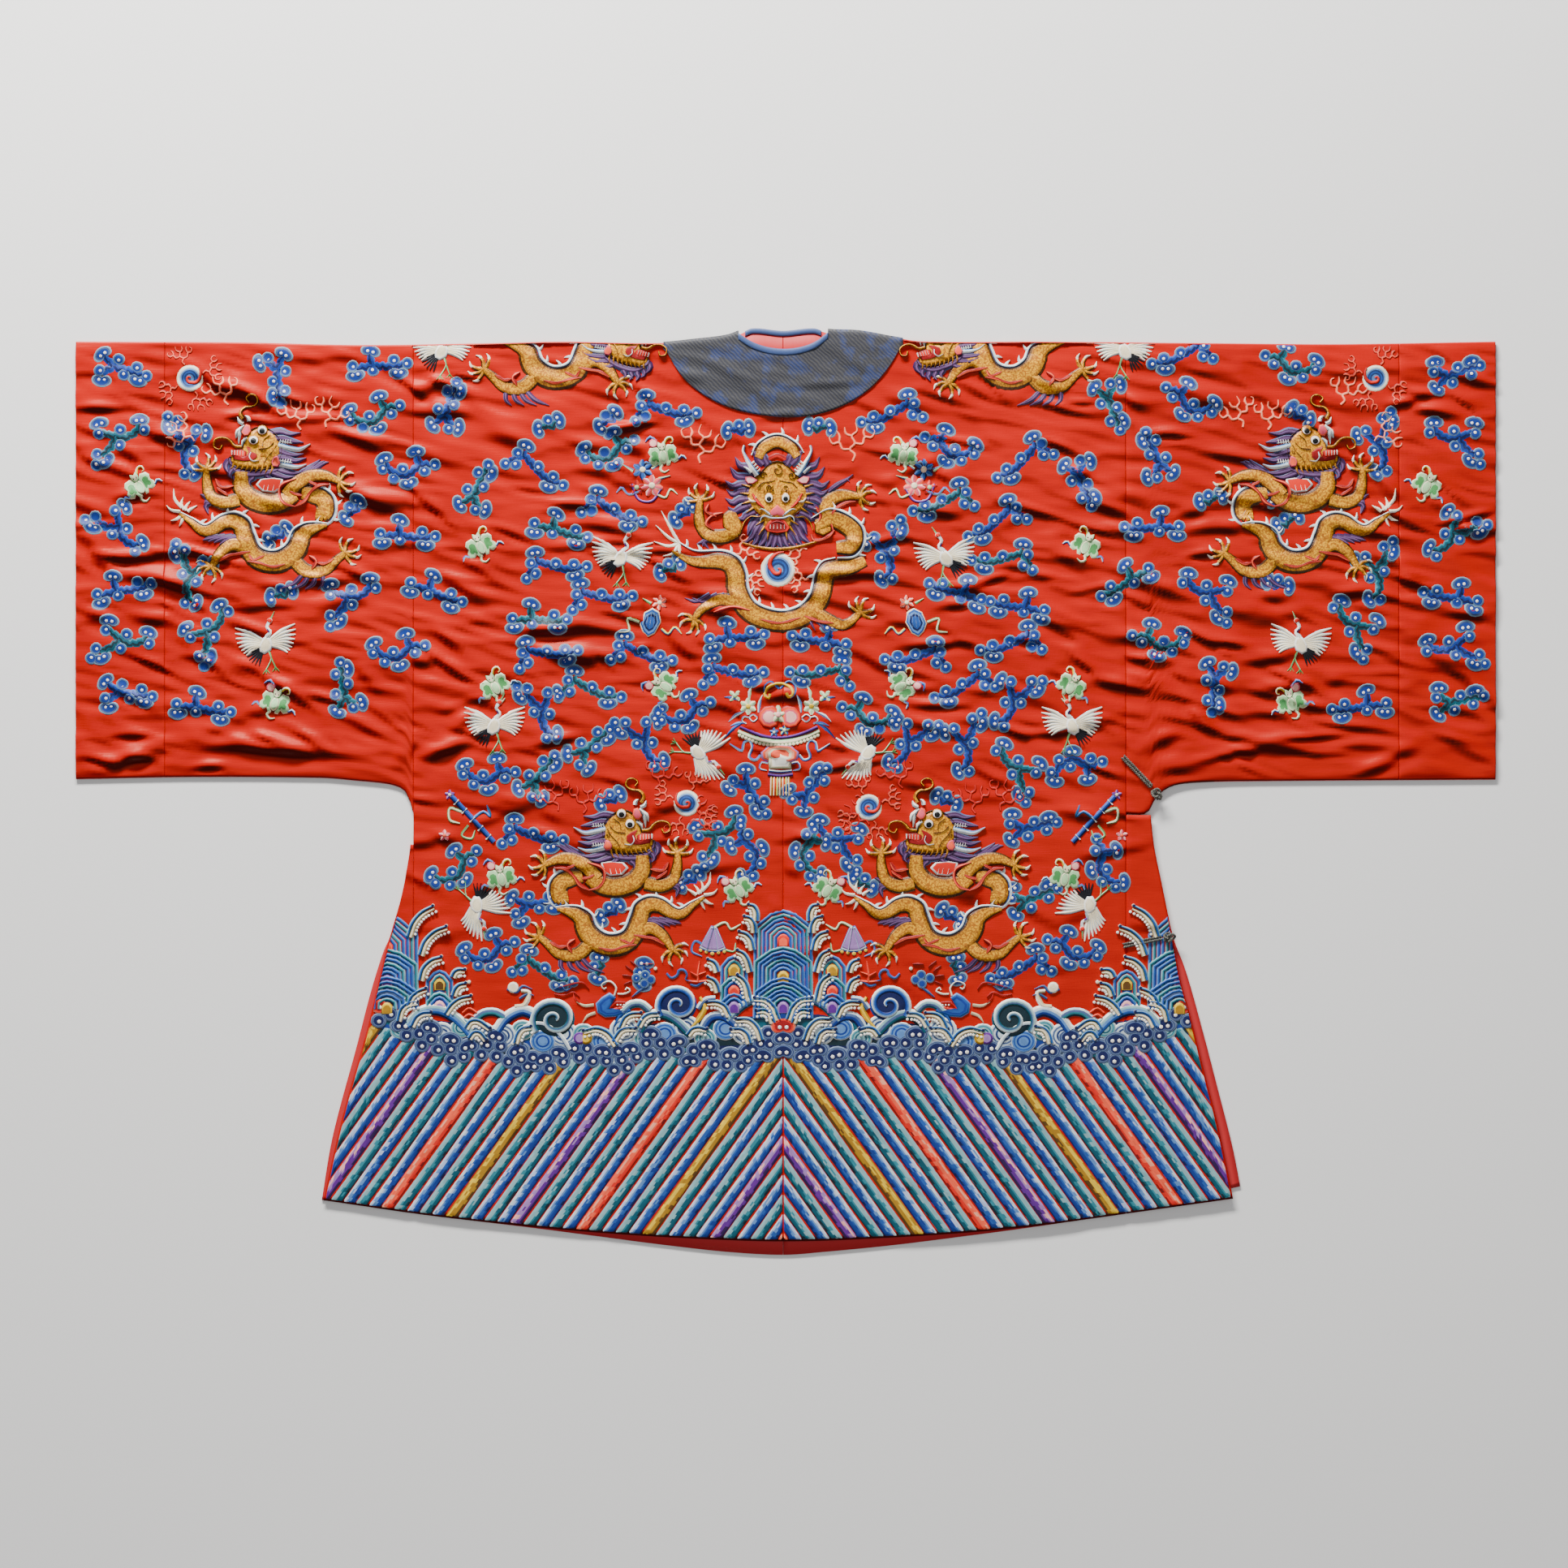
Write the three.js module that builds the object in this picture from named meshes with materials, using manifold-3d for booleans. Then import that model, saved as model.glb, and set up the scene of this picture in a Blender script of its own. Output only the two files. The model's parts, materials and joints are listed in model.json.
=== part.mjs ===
// Dragon robe, laid flat on its front with the back uppermost.
//
// A wide-sleeved silk robe of traditional cut. Each side of the body is one length of cloth that
// runs from the back hem over the shoulder to the front hem. Sleeves, cuff bands and side gores are
// sewn to it, the left front carries an overlap that reaches to the right side seam, and a deep
// round collar lies over the shoulders. Two knotted cord toggles close the right side.
//
// Units are millimetres. X runs to the viewer's right, Y towards the collar and Z up. While the
// pieces are made, Y is 0 on the shoulder fold and Z is 0 on the surface that the robe lies on.

import * as THREE from "three";
import Module from "manifold-3d";

const wasm = await Module();
wasm.setup();

// Driving sizes
const CLOTH = 1.5; // satin, interlining and lining together
const COLLAR_CLOTH = 1.5;
const BINDING_CLOTH = 1.4;
const SEAM = 0.3; // gap between two pieces at a seam, or between two layers
const LAYER = COLLAR_CLOTH + SEAM; // how far an extra layer underneath lifts the cloth
const AIR = 0.6; // gap between the front and the back where nothing lies between them
const LEFT_CUFF = -836;
const LEFT_BAND_SEAM = -731;
const LEFT_SLEEVE_SEAM = -437;
const RIGHT_SLEEVE_SEAM = 405;
const RIGHT_BAND_SEAM = 728;
const RIGHT_CUFF = 842;
const ARMPIT = -556;
const LEFT_GORE_TOP = -592;
const RIGHT_GORE_TOP = -557;
const EDGE_FADE = 16; // creases die out over this distance from a fold
const NECK_HALF = 53; // half the width of the neck opening
const COLLAR_SPAN = { x: 142, y: 88 }; // half the width of the round collar, and its depth

// Colours of the finished cloth
const SATIN_RED = 0xc8281c;
const COLLAR_BLUE = 0x4c5a78;
const CORD_GREY = 0x5d5b50;

// Outline of the laid-out robe, as read from front, with y measured from the shoulder fold
const SHOULDER_FOLD = [
  { x: -836, y: 2 }, { x: -640, y: 1 }, { x: -500, y: -2 }, { x: -350, y: 0 }, { x: -260, y: 2 },
  { x: -150, y: 0 }, { x: -105, y: 4 }, { x: -66, y: 9 }, { x: -50, y: 15 }, { x: -36, y: 21 },
  { x: 0, y: 18 }, { x: 36, y: 21 }, { x: 52, y: 16 }, { x: 90, y: 14 }, { x: 130, y: 7 },
  { x: 165, y: 2 }, { x: 300, y: 2 }, { x: 520, y: 0 }, { x: 660, y: -1 }, { x: 842, y: 2 },
];
const SLEEVE_UNDERSIDE = [
  { x: -836, y: -514 }, { x: -700, y: -511.5 }, { x: -546, y: -512.5 }, { x: -508, y: -515.5 },
  { x: -469, y: -519.5 }, { x: -454, y: -523.5 }, { x: -446, y: -529 }, { x: -441, y: -539 },
  { x: -437, y: -554 },
  { x: 405, y: -555 }, { x: 430, y: -554 }, { x: 437, y: -541 }, { x: 446, y: -530 },
  { x: 462, y: -521.5 }, { x: 490, y: -518 }, { x: 548, y: -516.5 }, { x: 842, y: -514.5 },
];
const LEFT_SIDE_BACK = [
  { y: -556, x: -438 }, { y: -592, x: -440.5 }, { y: -650, x: -450.5 }, { y: -707, x: -466.5 },
  { y: -773, x: -482.5 }, { y: -812, x: -492 }, { y: -900, x: -517 }, { y: -952, x: -530 },
  { y: -1012, x: -543 },
];
const LEFT_SIDE_FRONT = [
  { y: -556, x: -438 }, { y: -592, x: -440.5 }, { y: -650, x: -450.5 }, { y: -700, x: -464.5 },
  { y: -718, x: -472.5 }, { y: -764, x: -487 }, { y: -833, x: -505 }, { y: -902, x: -524 },
  { y: -948, x: -535 }, { y: -1012, x: -545.5 },
];
const RIGHT_SIDE_BACK = [
  { y: -556, x: 434 }, { y: -592, x: 438 }, { y: -646, x: 449 }, { y: -707, x: 461 },
  { y: -751, x: 469 }, { y: -791, x: 480 }, { y: -861, x: 497.5 }, { y: -921, x: 513 },
  { y: -1010, x: 531.5 },
];
const RIGHT_SIDE_FRONT = [
  { y: -556, x: 434 }, { y: -592, x: 438 }, { y: -646, x: 449 }, { y: -702, x: 461.5 },
  { y: -741, x: 476 }, { y: -810, x: 495.5 }, { y: -879, x: 513.5 }, { y: -948, x: 531 },
  { y: -996, x: 540.5 },
];
const BACK_HEM = [
  { x: -545, y: -1012 }, { x: -412, y: -1031 }, { x: -297, y: -1043.5 }, { x: -197, y: -1052 },
  { x: -82, y: -1058.5 }, { x: 0, y: -1060.5 }, { x: 91, y: -1058 }, { x: 226, y: -1049.5 },
  { x: 322, y: -1039.5 }, { x: 433, y: -1024 }, { x: 532, y: -1010 },
];
const FRONT_HEM = [
  { x: -545, y: -1012 }, { x: -412, y: -1031 }, { x: -297, y: -1045 }, { x: -220, y: -1055 },
  { x: -143, y: -1065 }, { x: -66, y: -1073.5 }, { x: 0, y: -1077 }, { x: 49, y: -1073.5 },
  { x: 126, y: -1066 }, { x: 203, y: -1056.5 }, { x: 279, y: -1046.5 }, { x: 356, y: -1035 },
  { x: 433, y: -1021 }, { x: 540, y: -996 },
];
const INNER_HEM_RISE = 30; // the hidden inner front ends this far above the back hem
const INNER_SIDE_INSET = 8;

// Necklines: the back edge dips below the shoulder fold, and the front edge lies just beyond it
const BACK_NECKLINE = [
  { x: -NECK_HALF, y: 11 }, { x: -38, y: 1.5 }, { x: -20, y: -5 }, { x: 0, y: -7.5 },
  { x: 20, y: -5.5 }, { x: 38, y: 1 }, { x: NECK_HALF, y: 12 },
];
const NECK_EDGE_DROP = 3.5; // the front neck edge lies this far below the line of the fold

// Lower edge of the round collar
const COLLAR_EDGE = [
  { x: -142, y: 1 }, { x: -134, y: -16 }, { x: -120, y: -38 }, { x: -98, y: -58 },
  { x: -66, y: -75 }, { x: -30, y: -84 }, { x: 5, y: -87 }, { x: 40, y: -84 },
  { x: 76, y: -71 }, { x: 104, y: -52 }, { x: 124, y: -29 }, { x: 136, y: -9 }, { x: 142, y: 3 },
];

// Upper edge of the overlap on the front, from the collar to the right armpit
const OVERLAP_TOP = [
  { x: 0, y: -98 }, { x: 70, y: -112 }, { x: 140, y: -150 }, { x: 220, y: -235 },
  { x: 290, y: -350 }, { x: 350, y: -460 }, { x: 405, y: -550 }, { x: 434, y: -556 },
];

// The largest creases of the back and sleeves: where each one lies, the direction in degrees that
// it runs in, half its length, half its width and how high it stands
const CREASES = [
  { x: -770, y: -486, turn: 21, reach: 62, width: 9, height: 5.5 },
  { x: -602, y: -474, turn: -4.5, reach: 140, width: 10, height: 7 },
  { x: -488, y: -394, turn: -53, reach: 28, width: 7, height: 3.5 },
  { x: -446, y: -481, turn: 62, reach: 28, width: 7, height: 4 },
  { x: -379, y: -445, turn: 52, reach: 26, width: 7, height: 4 },
  { x: -403, y: -481, turn: 24, reach: 38, width: 9, height: 4 },
  { x: -323, y: -107, turn: -27, reach: 52, width: 11, height: 5 },
  { x: -475, y: -188, turn: -10, reach: 46, width: 10, height: 4 },
  { x: -638, y: -56, turn: -18, reach: 56, width: 11, height: 4 },
  { x: -520, y: -300, turn: 14, reach: 50, width: 10, height: 3.5 },
  { x: 341, y: -251, turn: -24, reach: 38, width: 9, height: 5 },
  { x: 435, y: -281, turn: -25, reach: 74, width: 10, height: 6 },
  { x: 566, y: -315, turn: -5, reach: 74, width: 10, height: 4.5 },
  { x: 325, y: -320, turn: -23, reach: 44, width: 9, height: 4 },
  { x: 431, y: -349, turn: -12, reach: 76, width: 9, height: 5 },
  { x: 404, y: -402, turn: -7, reach: 70, width: 8, height: 6 },
  { x: 490, y: -436, turn: -48, reach: 40, width: 8, height: 6 },
  { x: 584, y: -472, turn: 3, reach: 66, width: 10, height: 4.5 },
  { x: 793, y: -377, turn: -18, reach: 44, width: 10, height: 5 },
  { x: 442, y: -468, turn: 22, reach: 38, width: 8, height: 4 },
  { x: 475, y: -497, turn: 4, reach: 60, width: 8, height: 3.5 },
  { x: 384, y: -188, turn: -25, reach: 44, width: 11, height: 4.5 },
  { x: 499, y: -62, turn: -18, reach: 58, width: 11, height: 4.5 },
  { x: 690, y: -215, turn: -30, reach: 50, width: 11, height: 4 },
  { x: -98, y: -112, turn: -5, reach: 54, width: 9, height: 3.5 },
  { x: 149, y: -131, turn: -20, reach: 48, width: 10, height: 4 },
  { x: -312, y: -538, turn: 3, reach: 62, width: 9, height: 4 },
  { x: 360, y: -556, turn: -8, reach: 54, width: 9, height: 4 },
  { x: -200, y: -215, turn: -12, reach: 50, width: 10, height: 3.5 },
  { x: 245, y: -405, turn: 8, reach: 50, width: 10, height: 3 },
  { x: -255, y: -365, turn: 10, reach: 52, width: 10, height: 3 },
];

// Cord toggles on the right side: the strap's two ends and the knot's centre, in the plane
const TOGGLES = [
  { name: "upper", fromX: 402, fromY: -489, toX: 434, toY: -522.5, knotX: 441, knotY: -532 },
  { name: "lower", fromX: 403, fromY: -711, toX: 446, toY: -702, knotX: 455.5, knotY: -701 },
];
const CORD = 3.2; // diameter of one cord; a strap is two of them side by side
const KNOT = { length: 17, width: 13, height: 9 };

// How finely each piece is divided. The cloth is smooth below the given y, so rows lie further apart.
const COLUMNS = { body: 5, sleeve: 6, band: 2, gore: 2, overlap: 8, collar: 16, binding: 18 };
const ROWS = { gore: 20, overlap: 12, collar: 7, fold: 4, sleeveBack: 36, sleeveFront: 5 };
const BACK_ROWS = { above: 36, below: 10, smooth: -620 };
const FRONT_ROWS = {
  left: { above: 9, below: 6, smooth: -160 },
  right: { above: 20, below: 5, smooth: -560 },
};

const radians = THREE.MathUtils.degToRad;
const lerp = THREE.MathUtils.lerp;
const ramp = THREE.MathUtils.smoothstep;

// Places from one end of a span to the other, at even steps
const steps = (from, to, count) => Array.from({ length: count + 1 }, (_, k) => lerp(from, to, k / count));

// Value of one column of a table at a place along another, on a smooth curve through its rows
function along(table, place, from = "x", to = "y") {
  const last = table.length - 1;
  const rising = table[last][from] > table[0][from] ? 1 : -1;
  let i = 0;
  while (i < last - 1 && rising * (place - table[i + 1][from]) > 0) i += 1;
  const [a, b] = [table[i], table[i + 1]];
  const span = b[from] - a[from];
  const t = THREE.MathUtils.clamp((place - a[from]) / span, 0, 1);
  const slope = (k) => {
    const low = table[Math.max(k - 1, 0)];
    const high = table[Math.min(k + 1, last)];
    return ((high[to] - low[to]) / (high[from] - low[from])) * span;
  };
  const [t2, t3] = [t * t, t * t * t];
  return (2 * t3 - 3 * t2 + 1) * a[to] + (t3 - 2 * t2 + t) * slope(i)
    + (3 * t2 - 2 * t3) * b[to] + (t3 - t2) * slope(i + 1);
}

const sleeveTables = {
  left: SLEEVE_UNDERSIDE.filter((row) => row.x < 0),
  right: SLEEVE_UNDERSIDE.filter((row) => row.x > 0),
};
const shoulder = (x) => along(SHOULDER_FOLD, x);
const underside = (x) => along(x < 0 ? sleeveTables.left : sleeveTables.right, x);

// How much of an extra layer lies below a point, from 0 to 1: the collar round the neck, and on
// the right the overlap. The cloth comes down gradually beyond the edge of that layer.
function onCollar(x, y, slope) {
  const reach = Math.hypot(x / COLLAR_SPAN.x, Math.min(y, 0) / COLLAR_SPAN.y);
  return 1 - ramp(reach, 1.12, 1.12 + slope / 100);
}
function onOverlap(x, y, slope) {
  const above = y - along(OVERLAP_TOP, Math.max(Math.min(x, 434), 0));
  const alongSleeve = y > ARMPIT ? 1 - ramp(x, 440, 440 + slope) : 1;
  return (1 - ramp(above, 60, 60 + slope)) * alongSleeve;
}

// Middle of the front cloth, which on the right is the inner front
function frontHeight(x, y) {
  const lift = x > 0 ? Math.max(onCollar(x, y, 40), onOverlap(x, y, 60)) : onCollar(x, y, 40);
  return CLOTH / 2 + LAYER * lift;
}

// Height of the creases at a point, which die out at the edges of the cloth
function creaseHeight(x, y) {
  let height = 0;
  for (const crease of CREASES) {
    const [c, s] = [Math.cos(radians(crease.turn)), Math.sin(radians(crease.turn))];
    const [dx, dy] = [x - crease.x, y - crease.y];
    const lengthwise = (dx * c + dy * s) / crease.reach;
    const across = (dy * c - dx * s) / crease.width;
    if (Math.abs(lengthwise) < 1 && Math.abs(across) < 3)
      height += crease.height * Math.cos((lengthwise * Math.PI) / 2) ** 2 * Math.exp(-across * across);
  }
  const inSleeve = x < LEFT_SLEEVE_SEAM || x > RIGHT_SLEEVE_SEAM;
  const toUnderside = inSleeve && y > ARMPIT ? y - underside(x) : EDGE_FADE;
  const toEdge = Math.min(shoulder(x) - y, toUnderside);
  return height * ramp(toEdge, 0, EDGE_FADE);
}

// Middle of the back cloth
function backHeight(x, y) {
  const besideCentre = ramp(x, -90, -1);
  const lift = Math.max(onCollar(x, y, 70), onOverlap(x, y, 120) * besideCentre);
  return CLOTH + AIR + LAYER * lift + CLOTH / 2 + creaseHeight(x, y);
}

// A closed wall from two grids of points, outer and inner. With ring set, the rows join up.
function wallMesh(outer, inner, ring = false) {
  const [columns, rows] = [outer.length, outer[0].length];
  const points = [...outer.flat(), ...inner.flat()];
  const at = (layer, i, j) => layer * columns * rows + i * rows + (j % rows);
  const triangles = [];
  const quad = (a, b, c, d) => triangles.push(a, b, c, a, c, d);
  const lastRow = ring ? rows : rows - 1;
  for (let i = 0; i < columns - 1; i += 1)
    for (let j = 0; j < lastRow; j += 1) {
      quad(at(0, i, j), at(0, i + 1, j), at(0, i + 1, j + 1), at(0, i, j + 1));
      quad(at(1, i, j), at(1, i, j + 1), at(1, i + 1, j + 1), at(1, i + 1, j));
    }
  for (let j = 0; j < lastRow; j += 1) {
    quad(at(0, 0, j), at(0, 0, j + 1), at(1, 0, j + 1), at(1, 0, j));
    quad(at(0, columns - 1, j), at(1, columns - 1, j), at(1, columns - 1, j + 1), at(0, columns - 1, j + 1));
  }
  if (!ring)
    for (let i = 0; i < columns - 1; i += 1) {
      quad(at(0, i, 0), at(1, i, 0), at(1, i + 1, 0), at(0, i + 1, 0));
      quad(at(0, i, rows - 1), at(0, i + 1, rows - 1), at(1, i + 1, rows - 1), at(1, i, rows - 1));
    }
  const geometry = new THREE.BufferGeometry();
  geometry.setAttribute("position", new THREE.Float32BufferAttribute(points.flatMap((p) => p.toArray()), 3));
  geometry.setIndex(triangles);
  geometry.computeVertexNormals();
  return geometry;
}

// Moves the points of a section (y and z at one x) out along its own normals
function offsetSection(x, section, distance, ring = false) {
  const count = section.length;
  return section.map((point, k) => {
    const before = section[ring ? (k + count - 1) % count : Math.max(k - 1, 0)];
    const after = section[ring ? (k + 1) % count : Math.min(k + 1, count - 1)];
    const [dy, dz] = [after.y - before.y, after.z - before.z];
    const length = Math.hypot(dy, dz);
    return new THREE.Vector3(x, point.y - (dz / length) * distance, point.z + (dy / length) * distance);
  });
}

// The half turn that joins two layers at a fold. side is 1 at the shoulder and -1 at the underside.
function halfTurn(edge, low, high, side) {
  const radius = (high - low) / 2;
  const from = side > 0 ? 90 : -90;
  return steps(from, from - 180, ROWS.fold).slice(1, -1).map((angle) => ({
    y: edge - side * radius + radius * Math.cos(radians(angle)),
    z: (high + low) / 2 + radius * Math.sin(radians(angle)),
  }));
}

// Heights of the two layers where they meet at a fold, and how far inside the edge the turn starts
function foldAt(x, edge) {
  const low = frontHeight(x, edge);
  const high = backHeight(x, edge);
  return { low, high, radius: (high - low) / 2 };
}

// Rows of one layer from its top to its hem, closer together above the smooth part
function layerRows(top, hem, rows) {
  return [...steps(top, rows.smooth, rows.above).slice(0, -1), ...steps(rows.smooth, hem, rows.below)];
}

// One side of the body: back hem, up to the shoulder fold, and down to the front hem
function bodySection(x) {
  const top = shoulder(x);
  const fold = foldAt(x, top);
  const start = top - fold.radius;
  const backHem = along(BACK_HEM, x);
  const frontHem = x > 0 ? backHem + INNER_HEM_RISE : along(FRONT_HEM, x);
  return [
    ...layerRows(start, backHem, BACK_ROWS).reverse().map((y) => ({ y, z: backHeight(x, y) })),
    ...halfTurn(top, fold.low, fold.high, 1),
    ...layerRows(start, frontHem, x > 0 ? FRONT_ROWS.right : FRONT_ROWS.left)
      .map((y) => ({ y, z: frontHeight(x, y) })),
  ];
}

// A sleeve or cuff band: round from the underside seam, along the back, over and along the front
function sleeveSection(x) {
  const [top, bottom] = [shoulder(x), underside(x)];
  const upper = foldAt(x, top);
  const lower = foldAt(x, bottom);
  const [from, to] = [bottom + lower.radius, top - upper.radius];
  return [
    ...steps(from, to, ROWS.sleeveBack).map((y) => ({ y, z: backHeight(x, y) })),
    ...halfTurn(top, upper.low, upper.high, 1),
    ...steps(to, from, ROWS.sleeveFront).map((y) => ({ y, z: frontHeight(x, y) })),
    ...halfTurn(bottom, lower.low, lower.high, -1),
  ];
}

// A wall swept along X through its sections, between two distances from the middle of the cloth
function sectionWall(places, sectionOf, ring, near = -CLOTH / 2, far = CLOTH / 2) {
  const sections = places.map((x) => ({ x, section: sectionOf(x) }));
  const layer = (distance) => sections.map(({ x, section }) => offsetSection(x, section, distance, ring));
  return wallMesh(layer(far), layer(near), ring);
}

// A single layer over a four-sided patch. The left and right edges give x at a y, the top and
// bottom edges give y at an x, and height gives the middle of the cloth. A few passes settle each
// point on both families of lines.
function patchWall({ columns, rows, left, right, top, bottom, height, cloth = CLOTH }) {
  const middle = steps(0, 1, columns).map((u) => steps(0, 1, rows).map((v) => {
    const point = new THREE.Vector3(0, -900, 0);
    for (let pass = 0; pass < 4; pass += 1) {
      point.x = lerp(left(point.y), right(point.y), u);
      point.y = lerp(bottom(point.x), top(point.x), v);
    }
    point.z = height(point.x, point.y);
    return point;
  }));
  const layer = (dz) => middle.map((column) => column.map((p) => new THREE.Vector3(p.x, p.y, p.z + dz)));
  return wallMesh(layer(cloth / 2), layer(-cloth / 2));
}

// Boolean cuts with manifold-3d
function toSolid(geometry) {
  const position = geometry.getAttribute("position");
  const mesh = new wasm.Mesh({
    numProp: 3,
    vertProperties: new Float32Array(position.array),
    triVerts: new Uint32Array(geometry.index.array),
  });
  mesh.merge();
  return new wasm.Manifold(mesh);
}

function toGeometry(solid) {
  const mesh = solid.getMesh();
  const geometry = new THREE.BufferGeometry();
  geometry.setAttribute("position", new THREE.Float32BufferAttribute(mesh.vertProperties, 3));
  geometry.setIndex(new THREE.BufferAttribute(mesh.triVerts, 1));
  geometry.computeVertexNormals();
  return geometry;
}

// An upright prism over an outline in the plane
function prism(outline, from, to) {
  const shape = new THREE.Shape(outline.map((p) => new THREE.Vector2(p.x, p.y)));
  const geometry = new THREE.ExtrudeGeometry(shape, { depth: to - from, bevelEnabled: false });
  geometry.translate(0, 0, from);
  const bare = new THREE.BufferGeometry();
  bare.setAttribute("position", geometry.getAttribute("position"));
  bare.setIndex(Array.from({ length: bare.getAttribute("position").count }, (_, k) => k));
  return toSolid(bare);
}

// What the neck opening takes away: the back layer above the back neckline, and the fold itself
function neckCut() {
  const high = 60;
  const between = CLOTH + LAYER + AIR / 2;
  const places = steps(-NECK_HALF, NECK_HALF, 16);
  const overBack = [...places.map((x) => ({ x, y: along(BACK_NECKLINE, x) })),
    { x: NECK_HALF, y: high }, { x: -NECK_HALF, y: high }];
  const overFold = [...places.map((x) => ({ x, y: shoulder(x) - NECK_EDGE_DROP })),
    { x: NECK_HALF, y: high }, { x: -NECK_HALF, y: high }];
  return prism(overBack, between, high).add(prism(overFold, -high, high));
}

const neck = neckCut();
const cutNeck = (geometry) => toGeometry(toSolid(geometry).subtract(neck));

// Meshes and their materials
const robe = new THREE.Group();
const materials = {
  satin: new THREE.MeshStandardMaterial({ color: SATIN_RED, roughness: 0.38, metalness: 0 }),
  brocade: new THREE.MeshStandardMaterial({ color: COLLAR_BLUE, roughness: 0.75, metalness: 0 }),
  cord: new THREE.MeshStandardMaterial({ color: CORD_GREY, roughness: 0.6, metalness: 0.2 }),
};

function addPiece(name, geometry, material) {
  const mesh = new THREE.Mesh(geometry, material);
  mesh.name = name;
  robe.add(mesh);
}

// The two sides of the body, with columns shared by the collar that lies on them
const half = SEAM / 2;
const collarReach = COLLAR_SPAN.x - 0.5;
const collarPlaces = steps(-collarReach, collarReach, COLUMNS.collar);
const leftPlaces = [...steps(LEFT_SLEEVE_SEAM + half, -collarReach, COLUMNS.body).slice(0, -1),
  ...collarPlaces.filter((x) => x < -half), -half];
const rightPlaces = [half, ...collarPlaces.filter((x) => x > half),
  ...steps(collarReach, RIGHT_SLEEVE_SEAM - half, COLUMNS.body).slice(1)];
addPiece("body_left", cutNeck(sectionWall(leftPlaces, bodySection, false)), materials.satin);
addPiece("body_right", cutNeck(sectionWall(rightPlaces, bodySection, false)), materials.satin);

// Sleeves and cuff bands, closed round. The underarm bends tightly beside the body, so a sleeve's
// columns crowd towards that end.
const tubes = [
  { name: "cuff_band_left", from: LEFT_BAND_SEAM - half, to: LEFT_CUFF, columns: COLUMNS.band, crowd: 1 },
  {
    name: "sleeve_left",
    from: LEFT_SLEEVE_SEAM - half,
    to: LEFT_BAND_SEAM + half,
    columns: COLUMNS.sleeve,
    crowd: 1.8,
  },
  {
    name: "sleeve_right",
    from: RIGHT_SLEEVE_SEAM + half,
    to: RIGHT_BAND_SEAM - half,
    columns: COLUMNS.sleeve,
    crowd: 1.8,
  },
  { name: "cuff_band_right", from: RIGHT_BAND_SEAM + half, to: RIGHT_CUFF, columns: COLUMNS.band, crowd: 1 },
];
for (const tube of tubes) {
  const places = steps(0, 1, tube.columns).map((t) => lerp(tube.from, tube.to, t ** tube.crowd));
  places.sort((a, b) => a - b);
  addPiece(tube.name, sectionWall(places, sleeveSection, true), materials.satin);
}

// Side gores, each a single layer between the body's edge and the side of the robe
const sideOf = (table, inset = 0) => (y) => along(table, y, "y", "x") - inset;
const gores = [
  { name: "gore_back_left", left: sideOf(LEFT_SIDE_BACK), right: () => LEFT_SLEEVE_SEAM - half,
    top: LEFT_GORE_TOP, hem: BACK_HEM, rise: 0, height: backHeight },
  { name: "gore_front_left", left: sideOf(LEFT_SIDE_FRONT), right: () => LEFT_SLEEVE_SEAM - half,
    top: LEFT_GORE_TOP, hem: FRONT_HEM, rise: 0, height: () => CLOTH / 2 },
  { name: "gore_back_right", left: () => RIGHT_SLEEVE_SEAM + half, right: sideOf(RIGHT_SIDE_BACK),
    top: RIGHT_GORE_TOP, hem: BACK_HEM, rise: 0, height: backHeight },
  { name: "gore_inner_right", left: () => RIGHT_SLEEVE_SEAM + half, right: sideOf(RIGHT_SIDE_BACK, INNER_SIDE_INSET),
    top: RIGHT_GORE_TOP, hem: BACK_HEM, rise: INNER_HEM_RISE, height: frontHeight },
  { name: "gore_overlap_right", left: () => RIGHT_SLEEVE_SEAM + half, right: sideOf(RIGHT_SIDE_FRONT),
    top: RIGHT_GORE_TOP, hem: FRONT_HEM, rise: 0, height: () => CLOTH / 2 },
];
for (const gore of gores)
  addPiece(gore.name, patchWall({
    columns: COLUMNS.gore, rows: ROWS.gore, left: gore.left, right: gore.right, height: gore.height,
    top: () => gore.top, bottom: (x) => along(gore.hem, x) + gore.rise,
  }), materials.satin);

// The overlap, which carries the left front on to the right side
addPiece("overlap_front", patchWall({
  columns: COLUMNS.overlap, rows: ROWS.overlap, left: () => half, right: () => RIGHT_SLEEVE_SEAM - half,
  top: (x) => along(OVERLAP_TOP, x), bottom: (x) => along(FRONT_HEM, x), height: () => CLOTH / 2,
}), materials.satin);

// The round collar lies on the body's own surface, over the shoulder fold and round the neck
function collarSection(x) {
  const top = shoulder(x);
  const fold = foldAt(x, top);
  const start = top - fold.radius;
  const edge = Math.min(along(COLLAR_EDGE, x), start - 1.5);
  return [
    ...steps(edge, start, ROWS.collar).map((y) => ({ y, z: backHeight(x, y) })),
    ...halfTurn(top, fold.low, fold.high, 1),
    ...steps(start, edge, ROWS.collar).map((y) => ({ y, z: frontHeight(x, y) })),
  ];
}
addPiece("collar", cutNeck(sectionWall(
  collarPlaces, collarSection, false, CLOTH / 2 + SEAM, CLOTH / 2 + SEAM + COLLAR_CLOTH)), materials.brocade);

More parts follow.
